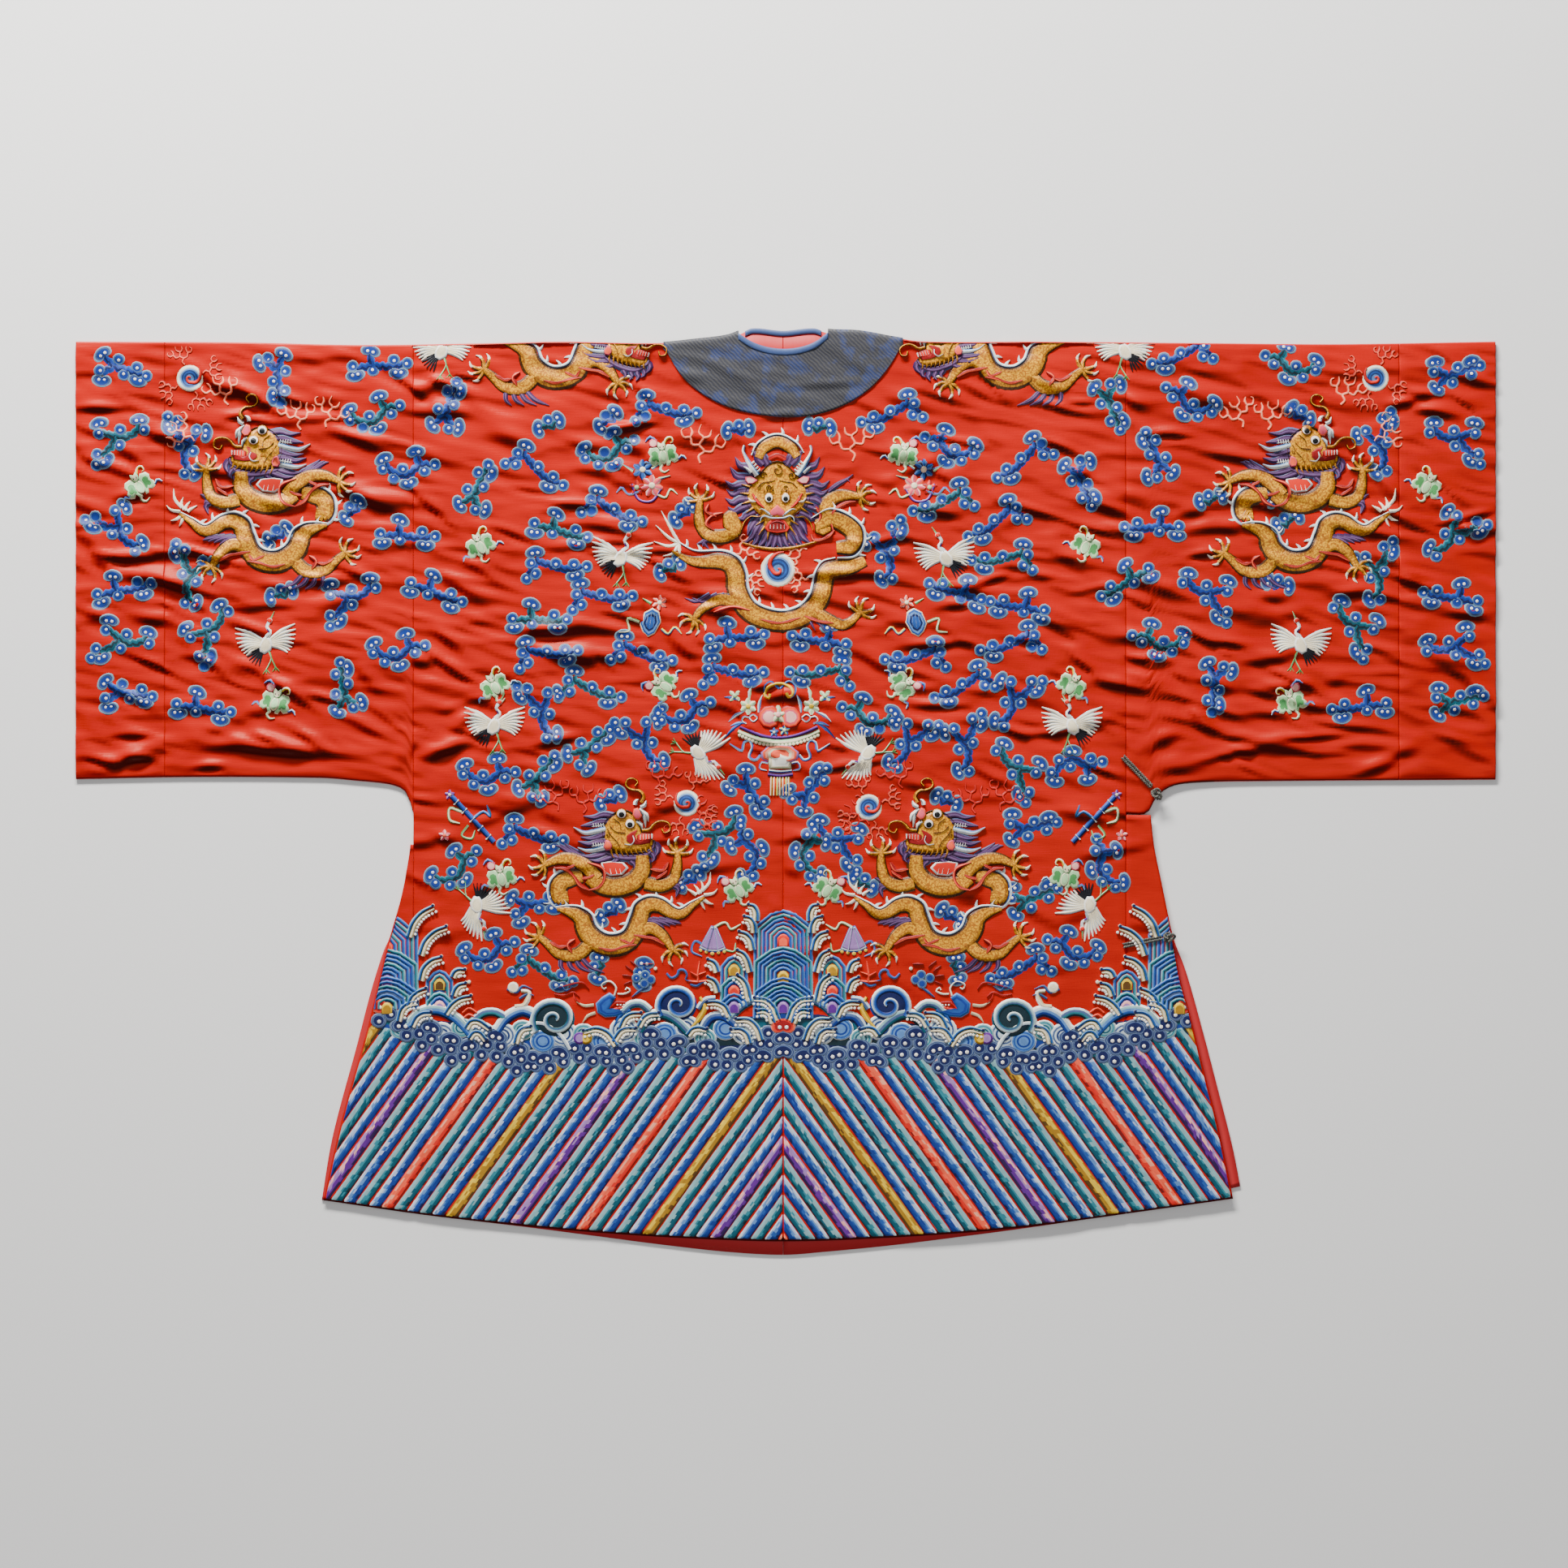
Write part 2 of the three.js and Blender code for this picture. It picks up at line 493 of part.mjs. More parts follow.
// Neck bindings: one on the collar along the back neckline, one inside the front neck edge
const bindingWidth = 6.5;
const collarTop = (x, y) => backHeight(x, y) + CLOTH / 2 + SEAM + COLLAR_CLOTH;
addPiece("neck_binding_back", patchWall({
  columns: COLUMNS.binding, rows: 1, left: () => -NECK_HALF, right: () => NECK_HALF, cloth: BINDING_CLOTH,
  top: (x) => along(BACK_NECKLINE, x) + 0.8, bottom: (x) => along(BACK_NECKLINE, x) - bindingWidth,
  height: (x, y) => collarTop(x, y) + SEAM + BINDING_CLOTH / 2,
}), materials.brocade);
const frontInside = (x, y) => frontHeight(x, y) + CLOTH / 2;
const frontEdge = (x) => shoulder(x) - NECK_EDGE_DROP;
addPiece("neck_binding_front", patchWall({
  columns: COLUMNS.binding, rows: 1, left: () => 9 - NECK_HALF, right: () => NECK_HALF - 9, cloth: BINDING_CLOTH,
  top: frontEdge, bottom: (x) => frontEdge(x) - bindingWidth + 1,
  height: (x, y) => frontInside(x, y) + SEAM + BINDING_CLOTH / 2,
}), materials.brocade);

// Toggles: a strap of two cords laid side by side, and the knot that it holds
function strapGeometry(toggle) {
  const flat = (x, y) => backHeight(x, y) + CLOTH / 2 + SEAM + CORD / 2 + 0.6;
  const count = 6;
  const path = new THREE.CatmullRomCurve3(steps(0, 1, count).map((t) => {
    const [x, y] = [lerp(toggle.fromX, toggle.toX, t), lerp(toggle.fromY, toggle.toY, t)];
    return new THREE.Vector3(x, y, flat(x, y));
  }));
  const section = new THREE.Shape();
  const corners = steps(0, 360, 10).slice(0, -1).map((angle) => new THREE.Vector2(
    (CORD / 2) * Math.cos(radians(angle)), CORD * Math.sin(radians(angle))));
  section.setFromPoints(corners);
  return new THREE.ExtrudeGeometry(section, { steps: 10, extrudePath: path, bevelEnabled: false });
}

for (const toggle of TOGGLES) {
  addPiece(`toggle_strap_${toggle.name}`, strapGeometry(toggle), materials.cord);
  const knot = new THREE.SphereGeometry(0.5, 14, 9);
  knot.scale(KNOT.length, KNOT.width, KNOT.height);
  knot.rotateZ(Math.atan2(toggle.toY - toggle.fromY, toggle.toX - toggle.fromX));
  const rest = backHeight(toggle.toX, toggle.toY) + CLOTH / 2 + SEAM;
  knot.translate(toggle.knotX, toggle.knotY, rest + KNOT.height / 2);
  addPiece(`toggle_knot_${toggle.name}`, knot, materials.cord);
}

// The finished frame: the origin is below the middle of the robe, on the surface that it lies on
const bounds = new THREE.Box3().setFromObject(robe);
const middle = bounds.getCenter(new THREE.Vector3());
robe.position.set(-middle.x, -middle.y, -bounds.min.z);

const part = new THREE.Group();
part.add(robe);

export default part;
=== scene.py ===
# %% [markdown]
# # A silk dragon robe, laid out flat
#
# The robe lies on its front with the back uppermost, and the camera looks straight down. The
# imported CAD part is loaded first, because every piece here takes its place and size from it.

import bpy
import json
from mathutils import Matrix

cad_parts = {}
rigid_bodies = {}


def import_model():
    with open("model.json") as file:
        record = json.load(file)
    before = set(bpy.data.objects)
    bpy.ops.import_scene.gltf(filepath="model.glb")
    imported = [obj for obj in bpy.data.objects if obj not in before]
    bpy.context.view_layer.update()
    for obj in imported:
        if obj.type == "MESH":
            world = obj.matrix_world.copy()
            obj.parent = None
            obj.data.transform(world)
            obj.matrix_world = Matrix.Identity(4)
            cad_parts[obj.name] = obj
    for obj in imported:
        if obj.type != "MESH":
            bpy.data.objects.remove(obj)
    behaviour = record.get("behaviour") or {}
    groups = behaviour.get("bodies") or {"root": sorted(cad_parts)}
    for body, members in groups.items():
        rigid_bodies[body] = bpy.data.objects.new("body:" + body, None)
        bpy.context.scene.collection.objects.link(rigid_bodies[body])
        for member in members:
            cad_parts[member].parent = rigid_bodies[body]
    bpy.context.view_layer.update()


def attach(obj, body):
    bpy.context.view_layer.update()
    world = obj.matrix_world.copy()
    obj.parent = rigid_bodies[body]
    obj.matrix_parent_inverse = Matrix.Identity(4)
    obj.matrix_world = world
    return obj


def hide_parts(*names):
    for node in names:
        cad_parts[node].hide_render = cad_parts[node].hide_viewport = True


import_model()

import json
import math

import bmesh
import bpy
import numpy as np
from mathutils import Vector
from mathutils.bvhtree import BVHTree

# %% [markdown]
# ## Working sizes
#
# A robe is drafted on the table from two lines: the centre-back seam and the shoulder fold. All the
# tables below are in millimetres from those two lines, as on a paper pattern, and one small helper
# turns them into the metres of the frame. Lengths along the robe are negative towards the hem.

# %% Drafting lines and sizes
SEAM_TO_FRAME = np.array([-3.0, 529.28])  # where the two drafting lines cross in the frame, mm
LEFT_CUFF, LEFT_BAND, LEFT_SEAM = -836, -731, -437
RIGHT_SEAM, RIGHT_BAND, RIGHT_CUFF = 405, 728, 842
ARMPIT = -556
CLOTH = 1.5  # thickness of the satin, interlining and lining
GAP = 0.3
LAYER = 1.8  # one more layer below lifts the cloth by this
BACK_REST = 3.4  # middle of the back cloth where nothing else lies below
FRONT_REST = 1.25  # middle of the front cloth, which leaves room for the embroidery under it
NECK_HALF = 53
NECK_DROP = 3.5  # the front neck edge lies this far below the shoulder line
INNER_RISE = 30  # the inner front ends this far above the back hem
COLLAR_ACROSS, COLLAR_DOWN = 142, 88  # the collar's outer edge, as the two reaches of an ellipse

SHOULDER = [(-836, 2), (-640, 1), (-500, -2), (-350, 0), (-260, 2), (-150, 0), (-105, 4), (-66, 9),
            (-50, 15), (-36, 21), (0, 18), (36, 21), (52, 16), (90, 14), (130, 7), (165, 2), (300, 2),
            (520, 0), (660, -1), (842, 2)]
LEFT_UNDER = [(-836, -514), (-700, -511.5), (-546, -512.5), (-508, -515.5), (-469, -519.5),
              (-454, -523.5), (-446, -529), (-441, -539), (-437, -554)]
RIGHT_UNDER = [(405, -555), (430, -554), (437, -541), (446, -530), (462, -521.5), (490, -518),
               (548, -516.5), (842, -514.5)]
BACK_HEM = [(-545, -1012), (-412, -1031), (-297, -1043.5), (-197, -1052), (-82, -1058.5),
            (0, -1060.5), (91, -1058), (226, -1049.5), (322, -1039.5), (433, -1024), (532, -1010)]
FRONT_HEM = [(-545, -1012), (-412, -1031), (-297, -1045), (-220, -1055), (-143, -1065), (-66, -1073.5),
             (0, -1077), (49, -1073.5), (126, -1066), (203, -1056.5), (279, -1046.5), (356, -1035),
             (433, -1021), (540, -996)]
# Side edges, as (distance along the robe, x)
LEFT_BACK_SIDE = [(-1012, -543), (-952, -530), (-900, -517), (-812, -492), (-773, -482.5),
                  (-707, -466.5), (-650, -450.5), (-592, -440.5), (-556, -438)]
LEFT_FRONT_SIDE = [(-1012, -545.5), (-948, -535), (-902, -524), (-833, -505), (-764, -487),
                   (-718, -472.5), (-700, -464.5), (-650, -450.5), (-592, -440.5), (-556, -438)]
RIGHT_BACK_SIDE = [(-1010, 531.5), (-921, 513), (-861, 497.5), (-791, 480), (-751, 469), (-707, 461),
                   (-646, 449), (-592, 438), (-556, 434)]
RIGHT_FRONT_SIDE = [(-996, 540.5), (-948, 531), (-879, 513.5), (-810, 495.5), (-741, 476),
                    (-702, 461.5), (-646, 449), (-592, 438), (-556, 434)]
NECKLINE = [(-53, 11), (-38, 1.5), (-20, -5), (0, -7.5), (20, -5.5), (38, 1), (53, 12)]
COLLAR_EDGE = [(-142, 1), (-134, -16), (-120, -38), (-98, -58), (-66, -75), (-30, -84), (5, -87),
               (40, -84), (76, -71), (104, -52), (124, -29), (136, -9), (142, 3)]
OVERLAP_TOP = [(0, -98), (70, -112), (140, -150), (220, -235), (290, -350), (350, -460), (405, -550),
               (434, -556)]


def curve(rows, places):
    """Reads a smooth curve through the rows of a table at any number of places."""
    at, value = np.array(rows, float).T
    places = np.clip(np.asarray(places, float), at[0], at[-1])
    slope = np.empty_like(value)
    slope[1:-1] = (value[2:] - value[:-2]) / (at[2:] - at[:-2])
    slope[0] = (value[1] - value[0]) / (at[1] - at[0])
    slope[-1] = (value[-1] - value[-2]) / (at[-1] - at[-2])
    i = np.clip(np.searchsorted(at, places) - 1, 0, len(at) - 2)
    span = at[i + 1] - at[i]
    t = (places - at[i]) / span
    return ((2 * t**3 - 3 * t**2 + 1) * value[i] + (t**3 - 2 * t**2 + t) * slope[i] * span
            + (3 * t**2 - 2 * t**3) * value[i + 1] + (t**3 - t**2) * slope[i + 1] * span)


def ramp(value, low, high):
    """Goes smoothly from 0 at low to 1 at high."""
    t = np.clip((value - low) / (high - low), 0, 1)
    return t * t * (3 - 2 * t)


def shoulder(x):
    """The folded upper edge of the robe."""
    return curve(SHOULDER, x)


def underside(x):
    """The lower edge of the sleeves."""
    return np.where(np.asarray(x) < 0, curve(LEFT_UNDER, x), curve(RIGHT_UNDER, x))


print("robe", RIGHT_CUFF - LEFT_CUFF, "mm across and", round(-curve(FRONT_HEM, 0).item()), "mm long")

# %% [markdown]
# ## The lie of the cloth
#
# Laid-out silk is never quite flat. Interlined satin keeps the sharp little creases of folding and
# of the embroidery pulling it in, and the sleeves take longer folds. Every crease here is one row:
# where it lies, which way it runs, its reach, its width and its height. A ridge with a shallow
# trough beside it catches the light on one side and goes dark on the other, as satin does. All of
# them are added into one fine relief map once, and the cloth and the stitches both read that map,
# so that nothing floats or sinks.

# %% The relief map
STEP = 2.0
MAP_LEFT, MAP_BOTTOM = -848.0, -1084.0
MAP_RIGHT, MAP_TOP = 856, 34
map_x = np.arange(MAP_LEFT, MAP_RIGHT, STEP)
map_y = np.arange(MAP_BOTTOM, MAP_TOP, STEP)
relief = np.zeros((len(map_y), len(map_x)))

# The largest creases, which the CAD part has too: x, y, turn, reach, width, height
CREASES = [
    (-770, -486, 21, 62, 9, 5.5), (-602, -474, -4.5, 140, 10, 7), (-488, -394, -53, 28, 7, 3.5),
    (-446, -481, 62, 28, 7, 4), (-379, -445, 52, 26, 7, 4), (-403, -481, 24, 38, 9, 4),
    (-323, -107, -27, 52, 11, 5), (-475, -188, -10, 46, 10, 4), (-638, -56, -18, 56, 11, 4),
    (-520, -300, 14, 50, 10, 3.5), (341, -251, -24, 38, 9, 5), (435, -281, -25, 74, 10, 6),
    (566, -315, -5, 74, 10, 4.5), (325, -320, -23, 44, 9, 4), (431, -349, -12, 76, 9, 5),
    (404, -402, -7, 70, 8, 6), (490, -436, -48, 40, 8, 6), (584, -472, 3, 66, 10, 4.5),
    (793, -377, -18, 44, 10, 5), (442, -468, 22, 38, 8, 4), (475, -497, 4, 60, 8, 3.5),
    (384, -188, -25, 44, 11, 4.5), (499, -62, -18, 58, 11, 4.5), (690, -215, -30, 50, 11, 4),
    (-98, -112, -5, 54, 9, 3.5), (149, -131, -20, 48, 10, 4), (-312, -538, 3, 62, 9, 4),
    (360, -556, -8, 54, 9, 4), (-200, -215, -12, 50, 10, 3.5), (245, -405, 8, 50, 10, 3),
    (-255, -365, 10, 52, 10, 3),
]


def press_crease(x, y, turn, reach, width, height, trough=0.5):
    """Adds one ridge, with a trough along its lower side, to the relief map."""
    c, s = math.cos(math.radians(turn)), math.sin(math.radians(turn))
    room = reach + 3 * width
    i0, i1 = np.searchsorted(map_x, (x - room, x + room))
    j0, j1 = np.searchsorted(map_y, (y - room, y + room))
    dx, dy = np.meshgrid(map_x[i0:i1] - x, map_y[j0:j1] - y)
    lengthwise = (dx * c + dy * s) / reach
    across = (dy * c - dx * s) / width
    fade = np.where(np.abs(lengthwise) < 1, np.cos(np.clip(lengthwise, -1, 1) * math.pi / 2) ** 2, 0)
    ridge = np.exp(-(across**2)) - trough * np.exp(-((across + 1.7) ** 2))
    relief[j0:j1, i0:i1] += height * fade * ridge


for row in CREASES:
    press_crease(*row)
print(len(CREASES), "large creases, the highest", relief.max().round(1), "mm")

# %% Small puckers
rng = np.random.default_rng(7)
PUCKER_BEDS = [  # name, number, left, right, bottom, top, height
    ("left sleeve", 84, -820, -440, -500, -14, 3.2),
    ("right sleeve", 92, 410, 826, -500, -14, 3.4),
    ("upper back", 160, -430, 400, -520, -20, 2.9),
    ("lower back", 64, -440, 430, -760, -520, 1.8),
    ("striped hem", 30, -480, 470, -1040, -780, 0.7),
]
for name, number, left, right, bottom, top, height in PUCKER_BEDS:
    for _ in range(number):
        press_crease(rng.uniform(left, right), rng.uniform(bottom, top), rng.normal(-13, 17),
                     rng.uniform(18, 76), rng.uniform(3.4, 8.5), height * rng.uniform(0.35, 1.5), 0.8)

print(sum(bed[1] for bed in PUCKER_BEDS), "small puckers")

# %% Crumpling and slow waves
# The finest crumpling is random, drawn out along a slant, and strongest above the lower back
wave_x, wave_y = np.meshgrid(map_x, map_y)
CRUMPLE_LONG, CRUMPLE_TALL, CRUMPLE_SLANT = 20.0, 4.6, math.radians(-14)
waves_x = np.fft.fftfreq(len(map_x), STEP) * 2 * math.pi
waves_y = np.fft.fftfreq(len(map_y), STEP) * 2 * math.pi
waves_x, waves_y = np.meshgrid(waves_x, waves_y)
along = waves_x * math.cos(CRUMPLE_SLANT) + waves_y * math.sin(CRUMPLE_SLANT)
across = waves_y * math.cos(CRUMPLE_SLANT) - waves_x * math.sin(CRUMPLE_SLANT)
soften = np.exp(-((along * CRUMPLE_LONG) ** 2) / 2 - ((across * CRUMPLE_TALL) ** 2) / 2)
crumple = np.fft.ifft2(np.fft.fft2(rng.normal(size=relief.shape)) * soften).real
crumple /= crumple.std()
CRUMPLE_LEVEL, CRUMPLE_BELOW, CRUMPLE_ABOVE = 1.5, 0.3, 1.0
relief += (CRUMPLE_LEVEL - np.abs(crumple)) * (CRUMPLE_BELOW + CRUMPLE_ABOVE * ramp(wave_y, -640, -440))

# Slow waves run through the whole cloth
SLOW_HEIGHT = 0.16
slow = np.zeros_like(relief)
for _ in range(9):
    length, turn, start = rng.uniform(90, 260), rng.uniform(0, math.pi), rng.uniform(0, 6.28)
    slow += np.sin((wave_x * math.cos(turn) + wave_y * math.sin(turn)) * 2 * math.pi / length + start)
relief += slow * SLOW_HEIGHT

print("crumpling of", relief.shape[0], "by", relief.shape[1], "points")

# %% Seams and edges of the relief
# Each seam draws the cloth in a little, over a few millimetres on both sides
SEAM_REACH = 2.4
for seam, depth in ((0, 0.9), (LEFT_SEAM, 0.7), (RIGHT_SEAM, 0.7), (LEFT_BAND, 0.7), (RIGHT_BAND, 0.7)):
    relief -= depth * np.exp(-(((wave_x - seam) / SEAM_REACH) ** 2))

# The relief dies out towards the folded edges, and the cloth never dips into the layer below
FAR = 99
UNDER_COLLAR = 0.35  # the collar's own stiffness keeps the cloth below it nearly flat
from_fold = shoulder(wave_x) - wave_y
in_sleeve = (wave_x < LEFT_SEAM) | (wave_x > RIGHT_SEAM)
from_under = np.where(in_sleeve & (wave_y > ARMPIT), wave_y - underside(wave_x), FAR)
relief *= ramp(np.minimum(from_fold, from_under), -2, 16)
from_neck = np.hypot(wave_x / COLLAR_ACROSS, np.minimum(wave_y, 0) / COLLAR_DOWN)
relief *= UNDER_COLLAR + (1 - UNDER_COLLAR) * ramp(from_neck, 0.9, 1.3)
relief = np.where(relief < 0, -np.tanh(-relief), relief)
print("relief from", round(relief.min(), 2), "to", round(relief.max(), 2), "mm")

# %% Heights of the two layers
def read_relief(x, y):
    """Height of the relief at any points, between the map's own."""
    fx = np.clip((np.asarray(x, float) - MAP_LEFT) / STEP, 0, len(map_x) - 1.001)
    fy = np.clip((np.asarray(y, float) - MAP_BOTTOM) / STEP, 0, len(map_y) - 1.001)
    i, j = fx.astype(int), fy.astype(int)
    u, v = fx - i, fy - j
    return ((relief[j, i] * (1 - u) + relief[j, i + 1] * u) * (1 - v)
            + (relief[j + 1, i] * (1 - u) + relief[j + 1, i + 1] * u) * v)


def on_collar(x, y, slope):
    """1 where the round collar lies, falling to 0 beyond it."""
    reach = np.hypot(np.asarray(x) / COLLAR_ACROSS, np.minimum(y, 0) / COLLAR_DOWN)
    return 1 - ramp(reach, 1.12, 1.12 + slope / 100)


def on_overlap(x, y, slope):
    """1 where the front overlap lies below, falling to 0 above its edge."""
    above = np.asarray(y) - curve(OVERLAP_TOP, x)
    along_sleeve = np.where(np.asarray(y) > ARMPIT, 1 - ramp(x, 440, 440 + slope), 1)
    return (1 - ramp(above, 60, 60 + slope)) * along_sleeve


def front_height(x, y):
    """Middle of the front cloth, which on the right is the inner front."""
    x, y = np.broadcast_arrays(np.asarray(x, float), np.asarray(y, float))
    lift = np.maximum(on_collar(x, y, 40), np.where(x > 0, on_overlap(x, y, 60), 0))
    return FRONT_REST + LAYER * lift


def back_height(x, y):
    """Middle of the back cloth."""
    x, y = np.broadcast_arrays(np.asarray(x, float), np.asarray(y, float))
    lift = np.maximum(on_collar(x, y, 70), on_overlap(x, y, 120) * ramp(x, -90, -1))
    return BACK_REST + LAYER * lift + read_relief(x, y)


# %% [markdown]
# ## Cutting the panels
#
# Each panel is a fine grid that follows the cloth. The body goes from the back hem up over the
# shoulder fold and down the front, and a sleeve goes all the way round. A fold in soft cloth is not
# a sharp bend, so it is a half ellipse that is deeper than it is high. Solidify then gives each
# sheet its thickness and closes its edges, which is how a thin shell is usually made.

# %% Panel helpers
FOLD_DEPTH = 5.0
FOLD_ROWS = 7
pieces = {}


def to_frame(points):
    """Millimetres from the drafting lines, as metres in the frame."""
    points = np.array(points, float)
    points[:, :2] += SEAM_TO_FRAME
    return points / 1000


def new_object(name, mesh, group=None):
    """A mesh as an object, in the scene or in a collection of designs."""
    made = bpy.data.objects.new(name, mesh)
    (group or bpy.context.scene.collection).objects.link(made)
    return made


def sheet_object(name, columns, ring=False, skip=()):
    """A cloth panel from columns of (x, y, z) points. skip holds the quads that the cut leaves out."""
    grid = np.array(columns)
    wide, tall = grid.shape[:2]
    last = tall if ring else tall - 1
    faces = [(i * tall + j, (i + 1) * tall + j, (i + 1) * tall + (j + 1) % tall,
              i * tall + (j + 1) % tall)
             for i in range(wide - 1) for j in range(last) if (i, j) not in skip]
    mesh = bpy.data.meshes.new(name)
    mesh.from_pydata(to_frame(grid.reshape(-1, 3)).tolist(), [], faces)
    cut = bmesh.new()
    cut.from_mesh(mesh)
    bmesh.ops.delete(cut, geom=[v for v in cut.verts if not v.link_faces], context="VERTS")
    cut.to_mesh(mesh)
    cut.free()
    return new_object(name, mesh)


def plain_mesh(made):
    """Turns an object's modifiers into its own mesh."""
    depsgraph = bpy.context.evaluated_depsgraph_get()
    mesh = bpy.data.meshes.new_from_object(made.evaluated_get(depsgraph))
    made.modifiers.clear()
    made.data = mesh
    return made


def thicken(cloth, thickness=CLOTH):
    """Gives a flat sheet the thickness of its cloth, half on each side."""
    solid = cloth.modifiers.new("Wall", "SOLIDIFY")
    solid.thickness = thickness / 1000
    solid.offset = 0
    plain_mesh(cloth)
    cloth.data.shade_smooth()
    cloth.data.calc_loop_triangles()
    pieces[cloth.name] = cloth
    print(cloth.name, len(cloth.data.loop_triangles), "triangles")
    return cloth


def fold_over(edge, low, high, side):
    """The points of a soft fold between two layers. side is 1 at the shoulder, -1 below a sleeve."""
    angles = np.radians(np.linspace(90, -90, FOLD_ROWS + 2)[1:-1]) * side
    y = edge - side * FOLD_DEPTH + side * FOLD_DEPTH * np.cos(angles)
    return y, (high + low) / 2 + (high - low) / 2 * np.sin(angles)


def column(x, *runs):
    """One column of points at x from runs of (y, z)."""
    y = np.concatenate([np.atleast_1d(run[0]) for run in runs])
    z = np.concatenate([np.atleast_1d(run[1]) for run in runs])
    return np.column_stack([np.full(len(y), float(x)), y, z])


def spaced(start, end, step, fine=(1.2, 3.0)):
    """Places from one seam to the next, closer together beside each seam."""
    inner = np.linspace(start + fine[-1], end - fine[-1], max(2, round((end - start) / step)))
    return np.concatenate([[start, start + fine[0]], inner, [end - fine[0], end]])


def neck_opening(places, back_rows):
    """The quads of the fold that are left out, so that back and front part at the neck."""
    return {(i, j) for i in range(len(places) - 1) for j in range(back_rows - 1, back_rows + FOLD_ROWS)
            if abs((places[i] + places[i + 1]) / 2) < NECK_HALF}


# %% Body panels
SMOOTH_BELOW = -640  # below here the creases are low, so the rows of the grid are farther apart
LOW_ROWS, HIGH_ROWS, FRONT_ROWS = 57, 198, 46
COLUMN_STEP = 6


def body_column(x):
    """One line of points from the front hem over the fold to the back hem."""
    top = shoulder(x).item()
    low, high = front_height(x, top).item(), back_height(x, top).item()
    start = top - FOLD_DEPTH
    hem = curve(BACK_HEM, x).item()
    end = hem + INNER_RISE if x > 0 else curve(FRONT_HEM, x).item()
    below = np.linspace(hem, SMOOTH_BELOW, LOW_ROWS + 1)[:-1]
    above = np.linspace(SMOOTH_BELOW, start, HIGH_ROWS)
    front = np.linspace(start, end, FRONT_ROWS)
    turn = fold_over(top, low, high, 1)
    if abs(x) < NECK_HALF:
        above = np.linspace(SMOOTH_BELOW, curve(NECKLINE, x).item(), HIGH_ROWS)
        front = np.linspace(top - NECK_DROP, end, FRONT_ROWS)
    back = np.concatenate([below, above])
    return column(x, (back, back_height(x, back)), turn, (front, front_height(x, front)))


def body_panel(name, places):
    """A panel from columns at the given places, with the neck cut out."""
    places = np.sort(places)
    columns = [body_column(x) for x in places]
    return thicken(sheet_object(name, columns, skip=neck_opening(places, LOW_ROWS + HIGH_ROWS)))


# Two columns close together mark each corner of the neck
body_panel("cloth_body_left", np.append(spaced(LEFT_SEAM + GAP / 2, -GAP / 2, COLUMN_STEP),
                                        [-NECK_HALF - 0.1, -NECK_HALF + 0.1]))
body_panel("cloth_body_right", np.append(spaced(GAP / 2, RIGHT_SEAM - GAP / 2, COLUMN_STEP),
                                         [NECK_HALF - 0.1, NECK_HALF + 0.1]))

# %% Sleeves and cuff bands
SLEEVE_BACK_ROWS, SLEEVE_FRONT_ROWS = 150, 24


def sleeve_column(x):
    """One closed line of points round a sleeve."""
    top, bottom = shoulder(x).item(), underside(x).item()
    start, end = bottom + FOLD_DEPTH, top - FOLD_DEPTH
    back = np.linspace(start, end, SLEEVE_BACK_ROWS)
    front = np.linspace(end, start, SLEEVE_FRONT_ROWS)
    over = fold_over(top, front_height(x, top).item(), back_height(x, top).item(), 1)
    under = fold_over(bottom, front_height(x, bottom).item(), back_height(x, bottom).item(), -1)
    return column(x, (back, back_height(x, back)), over, (front, front_height(x, front)), under)


TUBES = [  # name, left end, right end
    ("cloth_cuff_left", LEFT_CUFF, LEFT_BAND - GAP / 2),
    ("cloth_sleeve_left", LEFT_BAND + GAP / 2, LEFT_SEAM - GAP / 2),
    ("cloth_sleeve_right", RIGHT_SEAM + GAP / 2, RIGHT_BAND - GAP / 2),
    ("cloth_cuff_right", RIGHT_BAND + GAP / 2, RIGHT_CUFF),
]
for name, start, end in TUBES:
    thicken(sheet_object(name, [sleeve_column(x) for x in spaced(start, end, COLUMN_STEP)], ring=True))

# %% [markdown]
# ## Side gores, overlap and collar
#
# Below the armpits the robe widens with a gore at each side, one in each layer, so the side slits
# can fall open. The outer front reaches across to the right side, and its overlap is the lowest
# layer there. The round collar is cut in one, and goes over the shoulders on to the front.

# %% Gores and the overlap
GUESS_LOW, GUESS_TALL, ROUNDS = -1020, 450, 4


def patch_panel(name, across, down, left, right, top, bottom, height):
    """A single layer between two side edges, a top and a hem. Each edge depends on the others, so
    a first guess is drawn on to them in a few rounds."""
    columns = []
    for u in np.linspace(0, 1, across):
        v = np.linspace(0, 1, down)
        y = GUESS_LOW + v * GUESS_TALL
        for _ in range(ROUNDS):
            x = left(y) * (1 - u) + right(y) * u
            y = bottom(x) * (1 - v) + top(x) * v
        columns.append(np.column_stack([x, y, height(x, y)]))
    return thicken(sheet_object(name, columns))


def side(rows, inset=0):
    """A side edge read from a table, moved in by an inset."""
    return lambda y: curve(rows, y) - inset


def level(value):
    """A straight level edge."""
    return lambda places: np.full(np.shape(places), float(value))


def hem(rows, rise=0):
    """A lower or an upper edge read from a table, moved up by a rise."""
    return lambda x: curve(rows, x) + rise


def on_table(x, _):
    """The height of cloth that lies flat on the table."""
    return np.full(np.shape(x), FRONT_REST)


